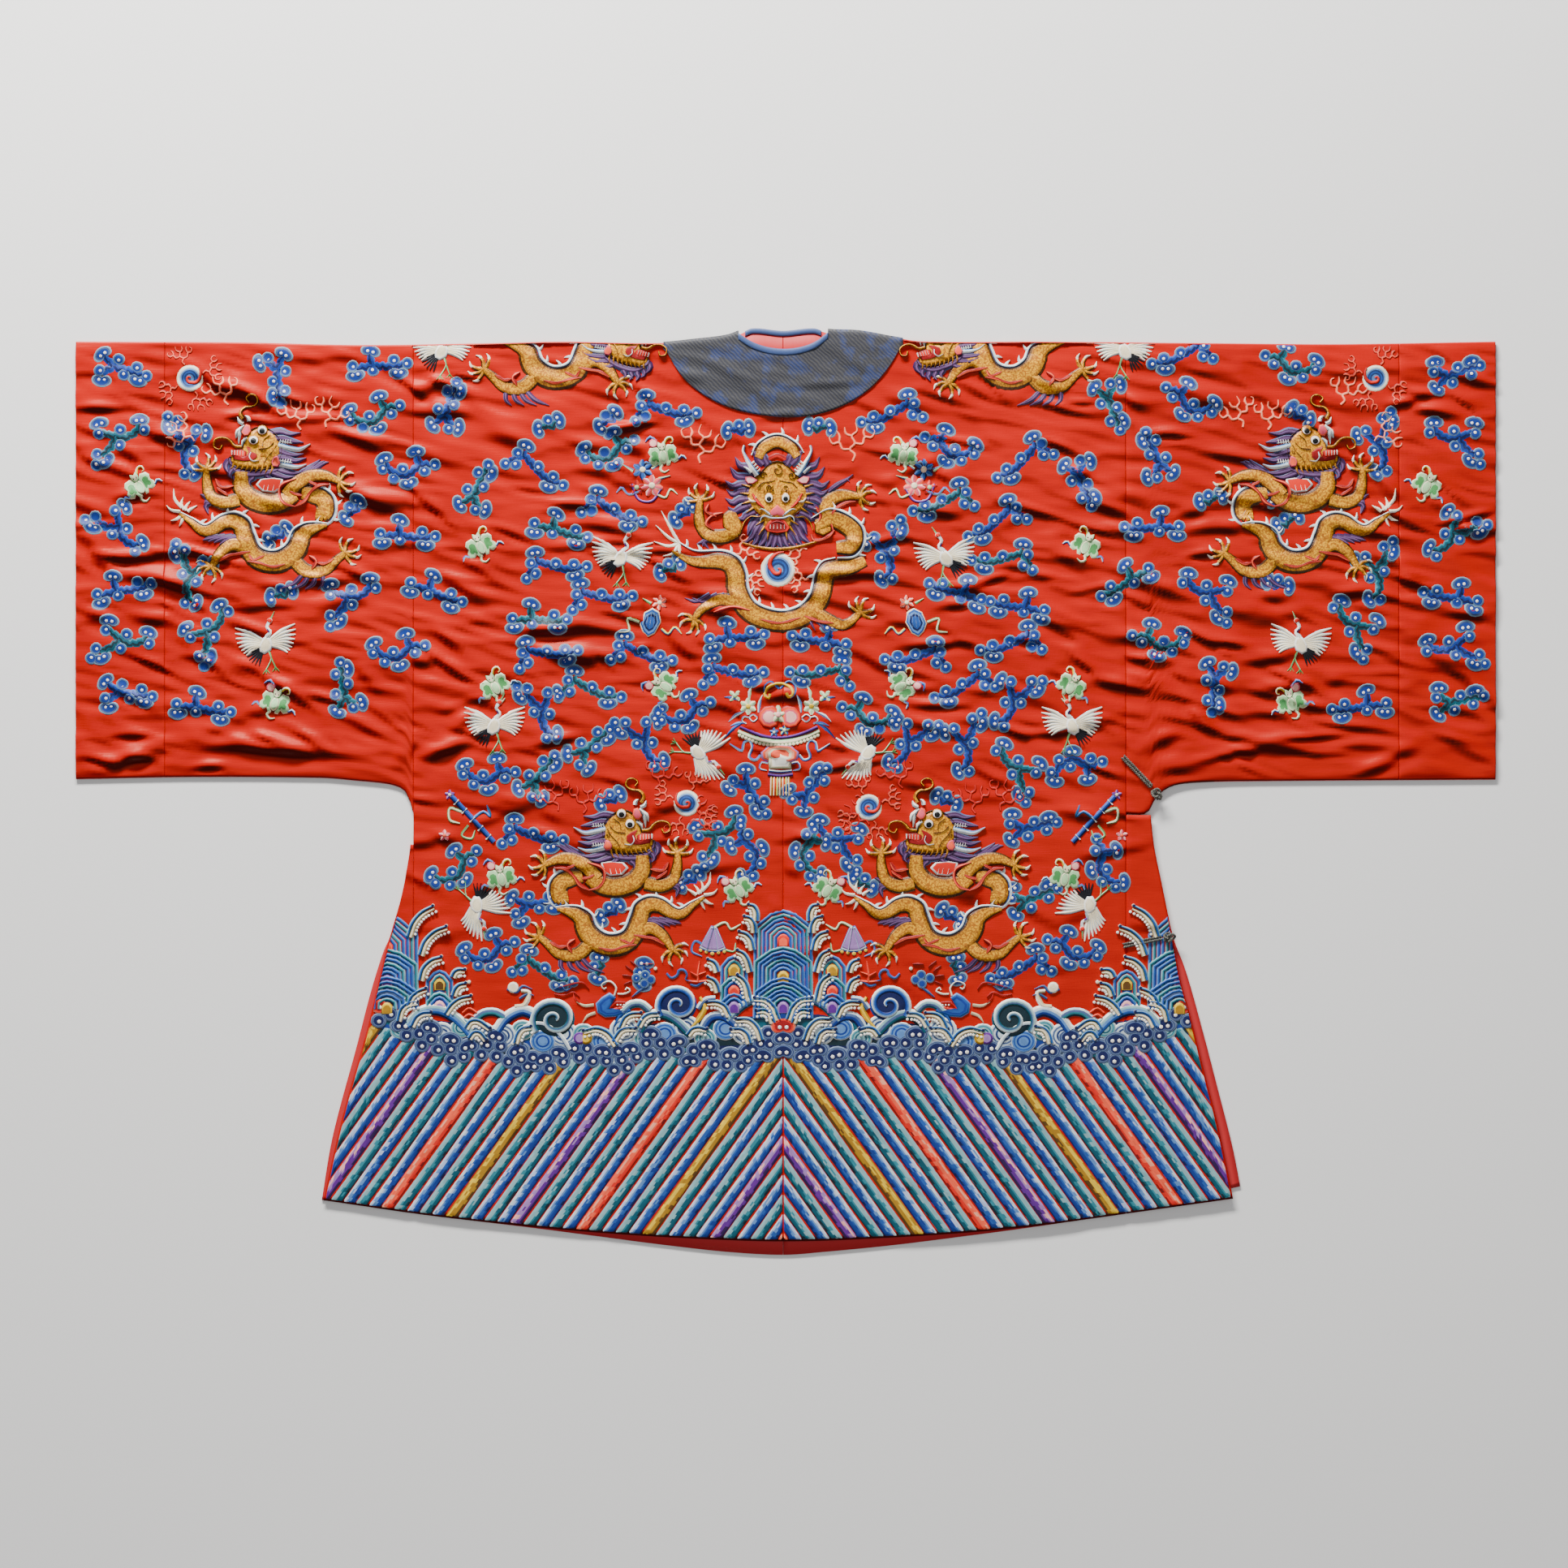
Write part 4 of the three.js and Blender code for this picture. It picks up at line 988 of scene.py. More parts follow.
STEM_STEP, STEM_WAVE = 2.6, 1.5
HEAD_SIZE = 1.12
cloud_designs = bpy.data.collections.new("cloud designs")
for number, (stems, heads) in enumerate(CLOUDS * 2):
    design = Needlework()
    for stem in stems:
        wavy = smooth_line(stem, STEM_STEP)
        wavy[:, 1] += STEM_WAVE * np.sin(np.arange(len(wavy)) * 1.9)
        design.band(wavy, STEM_WIDTHS, BLUE_STEM if number < len(CLOUDS) else GREEN_STEM, 0.7,
                    straight=True)
    stem_points = np.vstack([smooth_line(stem, 3) for stem in stems])
    for x, y, knots in heads:
        nearest = stem_points[np.argmin(np.hypot(*(stem_points - (x, y)).T))]
        turn = math.atan2(nearest[0] - x, y - nearest[1])
        curl_head(design, x, y, turn, knots == 2, CLOUD_GREYS if knots == 2 else CLOUD_BLUES, HEAD_SIZE)
    design.make(f"cloud_{number:02d}", cloud_designs)

# %% The scatter tree
def new_tree(name, result, **inputs):
    """An empty tree with one output, and with the named inputs of the given kinds."""
    tree = bpy.data.node_groups.new(name, "GeometryNodeTree")
    for label, kind in inputs.items():
        tree.interface.new_socket(label, in_out="INPUT", socket_type="NodeSocket" + kind)
    tree.interface.new_socket(result, in_out="OUTPUT", socket_type="NodeSocketGeometry")
    return tree


def wire(tree, *rows):
    """Joins sockets: each row is a node and its output, then a node and its input."""
    for start, leaving, end, entering in rows:
        tree.links.new(start.outputs[leaving], end.inputs[entering])
    return tree


def scatter_tree():
    """Puts the shape that a point's own number picks at each point, and makes the copies real."""
    tree = new_tree("scatter", "Stitches", Points="Geometry", Shapes="Collection", Size="Float",
                    Thread="Material")
    make = tree.nodes.new
    given, done = make("NodeGroupInput"), make("NodeGroupOutput")
    shapes = make("GeometryNodeCollectionInfo")
    shapes.inputs["Separate Children"].default_value = True
    shapes.inputs["Reset Children"].default_value = True
    own = {}
    for name, kind in (("kind", "INT"), ("turn", "FLOAT_VECTOR"), ("flip", "FLOAT_VECTOR")):
        own[name] = make("GeometryNodeInputNamedAttribute")
        own[name].data_type = kind
        own[name].inputs["Name"].default_value = name
    scale = make("ShaderNodeVectorMath")
    scale.operation = "SCALE"
    place = make("GeometryNodeInstanceOnPoints")
    place.inputs["Pick Instance"].default_value = True
    real = make("GeometryNodeRealizeInstances")
    dress = make("GeometryNodeSetMaterial")
    return wire(
        tree,
        (given, "Shapes", shapes, "Collection"),
        (own["flip"], "Attribute", scale, 0),
        (given, "Size", scale, "Scale"),
        (given, "Points", place, "Points"),
        (shapes, "Instances", place, "Instance"),
        (own["kind"], "Attribute", place, "Instance Index"),
        (own["turn"], "Attribute", place, "Rotation"),
        (scale, "Vector", place, "Scale"),
        (place, "Instances", real, "Geometry"),
        (real, "Geometry", dress, "Geometry"),
        (given, "Thread", dress, "Material"),
        (dress, "Geometry", done, "Stitches"),
    )


def use_tree(made, tree, **values):
    """Runs a tree on an object with the named values, and keeps the result as its mesh."""
    work = made.modifiers.new(tree.name, "NODES")
    work.node_group = tree
    for item in tree.interface.items_tree:
        if item.item_type == "SOCKET" and item.name in values:
            work[item.identifier] = values[item.name]
    return plain_mesh(made)


def scatter(name, rows, shapes, size=1.0):
    """Stitches one shape for each row: x, y, rise, kind, turn in degrees, 1 or -1 to turn it over."""
    mesh = bpy.data.meshes.new(name)
    mesh.from_pydata([row[:3] for row in rows], [], [])
    mesh.attributes.new("kind", "INT", "POINT").data.foreach_set("value", [row[3] for row in rows])
    turns = np.array([(0, 0, math.radians(row[4])) for row in rows])
    mesh.attributes.new("turn", "FLOAT_VECTOR", "POINT").data.foreach_set("vector", turns.ravel())
    flips = np.array([(row[5], 1, 1) for row in rows], float)
    mesh.attributes.new("flip", "FLOAT_VECTOR", "POINT").data.foreach_set("vector", flips.ravel())
    made = use_tree(new_object(name, mesh), scatter_nodes, Shapes=shapes, Size=size, Thread=silk)
    return settle(made)


scatter_nodes = scatter_tree()

# %% Where the clouds lie
LEFT_CLOUDS = [  # x, y, design, turn
    (-786, -30, 1, 5), (-786, -112, 0, 38), (-786, -220, 0, -30), (-780, -290, 2, 8),
    (-782, -352, 0, 16), (-780, -414, 1, 14), (-706, -121, 0, -72), (-701, -274, 0, -80),
    (-599, -36, 1, -62), (-478, -25, 2, 0), (-485, -87, 4, 8), (-396, -79, 1, 92),
    (-446, -150, 4, -4), (-362, -175, 1, 86), (-445, -226, 2, -6), (-509, -197, 5, 40),
    (-593, -296, 5, 4), (-512, -301, 0, 42), (-411, -293, 2, -24), (-678, -341, 0, 68),
    (-457, -366, 4, 0), (-686, -430, 2, -12), (-518, -411, 1, 118), (-597, -226, 5, 20),
    (-292, -147, 3, -24), (-207, -130, 4, 12), (-140, -79, 3, 4), (-202, -197, 3, -12),
    (-264, -220, 2, -18), (-270, -263, 3, 8), (-216, -299, 3, 10), (-289, -325, 2, -4),
    (-280, -366, 3, 14), (-168, -366, 3, -4), (-228, -408, 3, -6), (-286, -434, 0, -58),
    (-117, -440, 4, 12), (-230, -479, 1, 62), (-165, -470, 0, -46), (-351, -512, 4, -6),
    (-290, -515, 1, 74), (-61, -388, 3, 8), (-56, -346, 2, 2), (-134, -265, 5, 16),
    (-53, -102, 5, -8), (-118, -200, 5, 30), (-277, -96, 5, 10), (-207, -90, 5, 30),
    (-41, -528, 1, -34), (-77, -581, 0, 54), (-38, -602, 4, 96), (-297, -581, 3, 0),
    (-387, -624, 4, 30), (-297, -664, 1, 28), (-349, -722, 4, 10), (-284, -740, 3, -12),
    (-204, -538, 5, 12), (-204, -671, 5, 24), (-218, -738, 5, 70), (-165, -745, 5, 70),
    (-110, -633, 5, 20),
]
RIGHT_CLOUDS = [
    (129, -82, 3, 8), (43, -99, 5, 10), (199, -126, 4, -10), (284, -137, 3, 26), (387, -69, 1, 90),
    (481, -72, 4, -20), (472, -13, 3, 8), (602, -28, 4, -8), (441, -137, 1, -88), (352, -160, 1, 92),
    (190, -187, 3, 8), (252, -210, 3, 20), (437, -216, 2, 4), (261, -254, 3, -6), (205, -293, 2, -14),
    (278, -310, 2, -6), (405, -281, 2, 34), (502, -296, 0, -44), (585, -284, 5, 0), (446, -354, 4, 0),
    (270, -354, 3, 4), (158, -370, 3, -4), (46, -389, 3, -10), (214, -404, 3, 14), (273, -422, 0, 48),
    (102, -443, 4, -8), (149, -472, 0, 44), (216, -473, 0, 76), (276, -503, 0, -62),
    (342, -497, 4, 200), (511, -401, 1, 64), (675, -334, 0, -62), (682, -428, 2, 10),
    (705, -119, 0, 84), (702, -270, 0, 76), (790, -35, 1, 176), (796, -113, 0, -34),
    (793, -226, 0, 30), (790, -299, 2, -6), (793, -360, 0, -14), (793, -422, 1, 170),
    (44, -350, 2, -6), (123, -246, 0, 80), (505, -184, 5, 30), (611, -84, 5, -20),
    (566, -179, 5, -10), (596, -210, 5, 40), (29, -528, 1, 210), (66, -588, 0, -46),
    (29, -602, 4, -84), (289, -571, 1, 170), (379, -619, 4, -60), (291, -655, 1, 180),
    (344, -719, 4, -10), (281, -738, 3, 10), (205, -738, 5, -70), (198, -676, 5, -20),
    (193, -540, 5, -10), (95, -637, 5, -20),
]
GREEN_EVERY = 3  # every third cloud has a green stem
CLOUD_SIZE = 0.94
for name, rows, flip in (("clouds_left", LEFT_CLOUDS, 1), ("clouds_right", RIGHT_CLOUDS, -1)):
    scatter(name, [(x, y, 0, kind + (len(CLOUDS) if i % GREEN_EVERY == 1 else 0), turn, flip)
                   for i, (x, y, kind, turn) in enumerate(rows)], cloud_designs, CLOUD_SIZE)

# %% [markdown]
# ## The striped water
#
# Slanting stripes stand for deep water. They run down from each side of the back seam and meet it as
# nested Vs turned upside down. Each stripe is worked from pale along its upper edge to full colour
# along its lower edge, with a line of bare red satin between stripes. A stripe is cut where its own
# lines reach the belt of curls, the hem or the slit, so those tables decide where they all end.

# %% Stripes
LEAN = math.radians(54.4)
ALONG_SEAM = 23.1  # from one stripe to the next, measured down the seam
STRIPES = 41
STRIPE_FILL = 0.99
STITCH_END = 1.5  # a stripe's ends round off over this length
STRIPE_DYES = {
    "blue": ("frost", "pearl", "sky", "azure", "royal", "royal", "navy"),
    "teal": ("mist", "mist", "mist", "aqua", "teal", "teal", "pine"),
    "red": ("coral", "peach", "coral", "coral", "scarlet", "scarlet", "brick"),
    "violet": ("mauve", "blush", "mauve", "violet", "violet", "plum", "plum"),
    "yellow": ("mustard", "lemon", "lemon", "mustard", "mustard", "umber", "umber"),
}
ACCENTS = ("red", "violet", "yellow")
BAND_TOP = [(-500, -800), (-440, -815), (-380, -828), (-300, -842), (-200, -842), (-120, -832),
            (-60, -838), (0, -832)]


def stripe(work, number, side):
    """One stripe of the left half (side -1) or the right half (side 1), counted up from the hem."""
    dye = "blue" if number % 5 in (1, 3) else "teal"
    if number % 5 == 0:
        dye = ACCENTS[number // 5 % 3]
    shades = STRIPE_DYES[dye]
    crossing = curve(BACK_HEM, 0) + number * ALONG_SEAM
    places = np.arange(0, 1200, 0.5)
    x = side * places * math.cos(LEAN)
    down_slit = np.linspace(-1060, -560, 501)
    slit = curve(LEFT_BACK_SIDE if side < 0 else RIGHT_BACK_SIDE, down_slit)
    lines = []
    for edge in np.linspace(0.5, -0.5, len(shades) + 1) * STRIPE_FILL:
        y = crossing + edge * ALONG_SEAM - places * math.sin(LEAN)
        inside = (y > curve(BACK_HEM, x) + 2) & (y < curve(BAND_TOP, -np.abs(x))) & (np.abs(x) > 0.8)
        inside &= np.abs(x) < np.abs(np.interp(y, down_slit, slit)) - 2
        found = np.flatnonzero(inside)
        if len(found) > 3:
            lines.append([(x[k], y[k]) for k in (found[0], found[-1])])
    if len(lines) < 3:
        return
    ends = np.array(lines)
    length = np.hypot(*(ends[:, 0] - ends[:, 1]).T).max()
    rounding = STITCH_END / length
    t = np.concatenate([[0, rounding], np.linspace(0, 1, max(3, round(length / 6)))[1:-1],
                        [1 - rounding, 1]])
    flat = ends[None, :, 0] * (1 - t)[:, None, None] + ends[None, :, 1] * t[:, None, None]
    wobble = np.sin(t * length / 37 + number * 2.1) * 0.5
    flat[1:-1, :, 0] += wobble[1:-1, None] * min(1, length / 60)
    across = np.linspace(1, -1, len(lines))
    crown = np.sqrt(1 - across**2) * np.where((t == 0) | (t == 1), 0.25, 1)[:, None]
    grain = np.stack([np.broadcast_to(t[:, None] * length, crown.shape),
                      np.broadcast_to(across * 6.5, crown.shape)], -1)
    # Long and short stitches: the border between two shades is not a straight line
    picks = np.arange(len(lines) - 1) + rng.choice([-1, 0, 0, 0, 1], (len(t) - 1, len(lines) - 1))
    names = [shades[k] for k in np.clip(picks, 0, len(shades) - 1).ravel()]
    work.add_grid(flat, crown, names, grain, False)


for side, name in ((-1, "stripes_left"), (1, "stripes_right")):
    water = Needlework()
    for number in range(STRIPES):
        stripe(water, number, side)
    settle(water.make(name))

# %% [markdown]
# ## Rocks, waves and curls
#
# Above the stripes, a mountain stands at the middle of the back and two more at the slits, between
# rolling waves and foam. The mountain is nested gables of thread. A wave is one broad band that
# goes from pale to dark, a row of scales stands behind the waves, and foam is a cream lip with
# drops. The left half is drawn once and turned over for the right, as an embroiderer would prick one
# pattern twice. A belt of grey-blue curls, placed by the same scatter tree as the clouds, hides the
# tops of the stripes.

# %% Rocks
ROCKS = [  # x, base, half width, then tiers from the back: shoulder, peak, colours of its core
    (0, -797, 36, 6, [(-688, -668, ("scarlet", "coral")), (-729, -711, ("lemon", "mustard")),
                      (-765, -747, ("mauve", "violet"))]),
    (-58, -783, 17, 2, [(-735, -722, ("lemon", "mustard")), (-758, -747, CORAL),
                        (-776, -766, ("mauve", "violet"))]),
    (-468, -786, 38, 6, [(-696, -674, CORAL), (-732, -714, ("mauve", "violet")),
                         (-764, -746, ("lemon", "mustard"))]),
    (-406, -790, 17, 2, [(-752, -739, ("lemon", "umber")), (-776, -765, ("blush", "mauve"))]),
]
CORE_HALF = 7
TIER_LIFT = 0.9
ROCK_BANDS = (("sky", "azure", "steel"), ("mist", "aqua", "teal"), ("sky", "azure", "royal"))


def gable(x, base, half, shoulder_y, peak):
    """The outline of one tier, open at its base."""
    rise = peak - shoulder_y
    return [(x - half, base), (x - half * 0.97, shoulder_y), (x - half * 0.42, peak - rise * 0.22),
            (x, peak),
            (x + half * 0.42, peak - rise * 0.22), (x + half * 0.97, shoulder_y), (x + half, base)]


def close_points(path, step=8):
    """The same straight lines with points at every step, so that they follow the cloth."""
    path = np.asarray(path, float)
    reach = np.hypot(*np.diff(path, axis=0).T)
    legs = [np.linspace(start, end, max(2, round(length / step) + 1))[:-1]
            for start, end, length in zip(path[:-1], path[1:], reach)]
    return np.vstack(legs + [path[-1:]])


def rock(work, x, base, half, bands, tiers):
    """Gables one in front of another, each a nest of bands round a bright core."""
    pitch = (half - CORE_HALF) / bands
    for level_up, (shoulder_y, peak, core) in enumerate(tiers):
        work.lift = TIER_LIFT * level_up
        top = peak - bands * pitch
        work.band(close_points([(x, base), (x, top - 9)]), 2 * CORE_HALF + pitch,
                  ("navy", "royal", "navy"), 0.3, straight=True)
        for number in range(bands):
            inset = pitch * (number + 0.5)
            layer = gable(x, base, half - inset, shoulder_y - inset * 0.5, peak - inset)
            work.band(close_points(layer), pitch * 1.06, ROCK_BANDS[(number + level_up) % 3], 0.8,
                      straight=True)
        low = top - 15
        work.bloom([(x - CORE_HALF, low), (x - CORE_HALF, top - 5), (x - CORE_HALF * 0.5, top - 1),
                    (x, top),
                    (x + CORE_HALF * 0.5, top - 1), (x + CORE_HALF, top - 5), (x + CORE_HALF, low)],
                   (core[1], core[0], core[1]), 0.8, middle=(x, low + 2), core=0.3)
    work.lift = 0


print(sum(len(tiers) for *_, tiers in ROCKS), "tiers of rock in the left half")

# %% Foam and rolled waves
def crest(work, path, side=1, width=5.5):
    """Foam: a blue back, a cream lip on one side of it, and a row of drops."""
    back = smooth_line(path, 3)
    taper = [width, width, width * 0.8, width * 0.5]
    lip = beside(back, side * width * 0.75)
    work.band(lip, [width * 1.1, width * 1.1, width * 0.9, width * 0.5], ("ivory", "cream", "ivory"), 0.8,
              straight=True)
    blues = ("mist", "azure", "teal")
    work.band(back, taper, blues if side > 0 else blues[::-1], 0.9, straight=True)
    drops = beside(smooth_line(path, 5), side * width * 1.5)
    for x, y in drops[1:]:
        work.dot(x, y, 1.9, WHITE)
    work.dot(*back[-1], 2.4, ("cream", "navy"))


def spiral(work, x, y, radius, shades):
    """A rolled wave: a broad shaded band, white outside and dark inside, that winds in to a point."""
    work.bloom(circle(x, y, radius * 0.9, 20, 0.92), shades[-2:], 0.5, core=0.5)
    turns = np.linspace(0, 1, 40)
    angles = turns * 10.5 - 2.2
    reach = radius * (1 - turns * 0.94)
    curl = np.column_stack([x + reach * np.sin(angles), y + reach * 0.92 * np.cos(angles)])
    work.lift += 0.5
    work.band(curl, [radius * 0.34, radius * 0.36, radius * 0.34, radius * 0.3, radius * 0.2], shades,
              1.0, straight=True)
    work.lift -= 0.5


# %% The sea
WAVES = [  # path, width, shades from the left of its direction
    ([(-478, -806), (-430, -812), (-360, -824), (-280, -828), (-200, -826), (-110, -818), (0, -812)],
     [26, 40, 44, 40, 44, 46, 50], ("navy", "teal", "royal", "pine", "navy")),
    ([(-486, -768), (-463, -767), (-448, -776)], 12, ("frost", "slate", "teal")),
    ([(-444, -806), (-428, -790), (-408, -787), (-390, -795), (-376, -808), (-364, -822)], 15,
     ("white", "mist", "sky", "azure", "navy")),
    ([(-366, -800), (-354, -791), (-340, -790), (-326, -798)], 11, ("frost", "slate", "aqua", "pine")),
    ([(-338, -812), (-326, -796), (-308, -788), (-292, -794)], 15,
     ("white", "frost", "sky", "royal", "navy")),
    ([(-320, -828), (-306, -808), (-286, -803), (-266, -814), (-252, -834)], 9,
     ("white", "frost", "slate")),
    ([(-190, -790), (-180, -781), (-168, -780), (-158, -788)], 11, ("white", "mist", "slate", "teal")),
    ([(-170, -812), (-158, -796), (-142, -792), (-126, -800), (-110, -816)], 15,
     ("white", "mist", "slate", "teal", "pine")),
    ([(-96, -812), (-86, -797), (-72, -795), (-58, -804), (-48, -816)], 13,
     ("frost", "slate", "royal", "navy")),
    ([(-100, -786), (-92, -776), (-80, -774)], 9, ("frost", "slate", "teal")),
    ([(-66, -800), (-50, -783), (-34, -775), (-16, -778)], 12,
     ("white", "frost", "mist", "slate", "teal")),
]
SCALES = 19
SCALE_WAVES = [  # shades of the round scales behind the waves, by turns
    ("white", "mist", "aqua", "mist", "teal", "mist"), ("white", "sky", "azure", "sky", "royal", "sky"),
    ("white", "frost", "slate", "frost", "steel", "frost"),
]
CRESTS = [  # path, and which side of its direction the cream lip is on
    ([(-444, -700), (-438, -684), (-428, -672), (-414, -664)], 1),
    ([(-430, -722), (-424, -706), (-412, -694), (-398, -688)], 1),
    ([(-430, -752), (-426, -738), (-416, -728), (-404, -724)], 1),
    ([(-392, -748), (-389, -742), (-384, -739), (-376, -739)], 1),
    ([(-391, -770), (-388, -762), (-383, -757), (-375, -755)], 1),
    ([(-400, -791), (-392, -780), (-382, -773), (-369, -770)], 1),
    ([(-444, -782), (-440, -772), (-432, -765), (-422, -761)], 1),
    ([(-456, -800), (-452, -786), (-444, -779), (-432, -777)], 1),
    ([(-440, -806), (-434, -795), (-426, -790), (-416, -789)], 1),
    ([(-376, -808), (-370, -800), (-360, -799), (-346, -808)], 1),
    ([(-372, -820), (-366, -813), (-358, -813), (-350, -822)], 1),
    ([(-318, -826), (-314, -814), (-308, -808), (-298, -806)], 1),
    ([(-194, -808), (-188, -796), (-180, -791), (-168, -790)], 1),
    ([(-202, -824), (-194, -812), (-186, -808), (-174, -808)], 1),
    ([(-196, -828), (-206, -814), (-220, -808), (-236, -811)], -1),
    ([(-172, -806), (-166, -796), (-158, -791), (-147, -790)], 1),
    ([(-114, -816), (-108, -809), (-100, -807), (-90, -809)], 1),
    ([(-62, -794), (-68, -782), (-78, -777), (-90, -777)], -1),
    ([(-76, -742), (-79, -733), (-83, -729), (-89, -727)], -1),
    ([(-75, -766), (-78, -756), (-82, -751), (-89, -748)], -1),
    ([(-38, -776), (-42, -758), (-47, -750), (-54, -745)], -1),
    ([(-37, -742), (-41, -728), (-46, -720), (-54, -716)], -1),
    ([(-34, -716), (-37, -704), (-43, -697), (-52, -694)], -1),
    ([(-32, -696), (-33, -686), (-38, -678), (-46, -676)], -1),
    ([(-30, -682), (-30, -672), (-34, -664), (-41, -662)], -1),
    ([(-4, -798), (-10, -783), (-20, -774), (-34, -772)], -1),
    ([(-10, -802), (-14, -791), (-22, -786), (-32, -787)], -1),
    ([(-24, -822), (-30, -807), (-40, -798), (-56, -797)], -1),
    ([(-38, -826), (-42, -815), (-50, -809), (-62, -809)], -1),
]
sea = Needlework()
for flip in (1, -1):
    sea.lay(0, 0, flip=flip)
    for row in ROCKS[flip < 0:]:
        rock(sea, *row)
    sea.band(*WAVES[0], 0.5, step=5)
    for number in range(SCALES):
        x = -452 + number * 24
        y = -814 + 7 * math.sin(number * 2.4) + (4 if number < 3 else -4 if 5 < number < 13 else 0)
        sea.lift = 0.6 + 0.3 * (number % 2)
        sea.bloom(circle(x, y, 14 + 2 * (number % 3), 16, 0.9), SCALE_WAVES[number % 3], 0.6, core=0.15)
    sea.lift = 1.2
    for path, width, shades in WAVES[1:]:
        sea.band(path, width, shades, 0.9, step=5)
    spiral(sea, -270, -798, 27, ("white", "frost", "mist", "slate", "teal", "pine"))
    spiral(sea, -124, -781, 25, ("white", "frost", "sky", "azure", "royal", "navy"))
    sea.lift = 2.4
    for path, side in CRESTS:
        crest(sea, path, side)
settle(sea.make("sea"))
print(len(WAVES), "waves and", len(CRESTS), "lines of foam in each half")

# %% Small figures over the waves
SEA_MIDDLE, SEA_SQUARE = (156.8, -342.4), 1.8674


def sea_chart(*rows):
    """Places on the square grid laid over the right half of the sea, in drafting millimetres."""
    return charted(rows, SEA_MIDDLE, SEA_SQUARE)


FIGURE_LINES = [  # shades, widths, then paths on the chart
    (("cream", "ivory"), [4, 4, 1],
     [(37, 76), (31, 76.5), (26, 74)], [(38, 81), (33, 83), (30, 87)]),
    (("cream", "white"), [2.4, 2.6, 2],
     [(50, 70), (51, 65), (47, 61), (42, 63), (43, 66), (45, 65)],
     [(52, 69), (56, 69), (60, 67), (58, 65), (57, 66.5)]),
    (CRIMSON, [4, 5, 3],
     [(46, 79), (50, 75), (57, 74.6)]),
    (("scarlet", "coral"), [3, 4, 3],
     [(47, 80), (51, 78.6), (57, 77.6)]),
    (("royal", "azure", "navy"), [8, 7, 4],
     [(60, 79), (54, 82), (50, 89)]),
    (("azure", "slate"), [3, 4, 3.4, 1],
     [(83, 56), (86, 59), (90, 57), (91, 54), (94, 54), (96, 57), (95, 60), (99, 61)]),
    (("azure", "slate"), [3, 4, 1],
     [(98, 63), (102, 64), (105, 62), (110, 60)], [(70, 64), (66, 67), (61, 71)]),
    (CORAL, [4, 3, 1],
     [(103, 61), (103, 56), (104, 48)]),
    (CORAL, [3, 1],
     [(103, 58), (98, 55)], [(103, 57), (108, 55)]),
    (CORAL, [3, 4, 3],
     [(97, 61), (103, 61.5), (109, 60.6)]),
    (("crimson", "brick"), [1, 3, 1],
     [(61, 58), (55, 57)], [(62, 55), (57, 51)], [(65, 52), (60, 48)], [(61, 61), (56, 63)],
     [(68, 50), (75, 50)]),
    (CRIMSON, [1, 3, 3, 1],
     [(12, 69), (18, 70), (24, 68), (28, 71)], [(15, 65), (22, 63), (30, 62), (34, 66)],
     [(24, 68), (25, 72), (28, 75)]),
    (("gold", "lemon", "mustard"), [4, 8, 7, 4],
     [(104, 71), (107, 77), (104, 84), (98, 91)]),
    (("slate", "azure"), [3, 4, 1],
     [(-18, 66), (-12, 68), (-8, 64), (-2, 66)], [(-10, 72), (-5, 69), (-1, 70)],
     [(12, 66), (17, 64), (19, 67), (24, 64)]),
    (("white", "cream", "ivory"), [5, 7, 5],
     [(-9, 67), (-4, 68), (-7, 76), (-13, 77)]),
    (("coral", "scarlet", "coral"), 2.6,
     [(-46, 81), (-42, 78), (-37, 81)], [(-45, 84), (-42, 82), (-38, 84)]),
]
figures = Needlework()
for flip in (1, -1):
    figures.lay(0, 0, flip=flip, lift=1.0)
    for x, y, size in ((-14, 65, 7), (64, 59, 6), (69, 62.5, 6), (73, 60, 6), (69.5, 57, 6)):
        shades = ("ivory", "white", "cream") if x < 0 else CLOUD_BLUES
        figures.bloom(circle(*sea_chart((x, y))[0], size, 12), shades, 0.9, core=0.3)
        figures.dot(*sea_chart((x, y))[0], 1.6)
    for x, y, shades in ((28, 97, ("mauve", "violet", "mauve")), (32, 97, ("lemon", "mustard", "lemon"))):
        figures.bloom(circle(*sea_chart((x, y))[0], 8, 12), shades, 1.4, core=0.2)
        figures.dot(*sea_chart((x, y))[0], 1.6)
    for shades, width, *paths in FIGURE_LINES:
        for path in paths:
            figures.band(sea_chart(*path), width, shades, 1.0, step=3)
    head = sea_chart((38, 75), (42, 71), (47, 68), (51, 71), (48, 76), (46, 80), (52, 79.6), (60, 81),
                     (52, 83.5), (44, 84), (39, 81))
    figures.bloom(head, ("sky", "azure", "royal", "azure"), 1.3, core=0.3)
    figures.dot(*sea_chart((47.4, 70.6))[0], 2.4, ("white", "black"))
    for x in (52, 54, 56):
        figures.dot(*sea_chart((x, 76))[0], 1.2)
    for x, y in ((-42, 61.5), (76, 53)):
        figures.dot(*sea_chart((x, y))[0], 2.4, ("white", "cream"))
settle(figures.make("figures"))

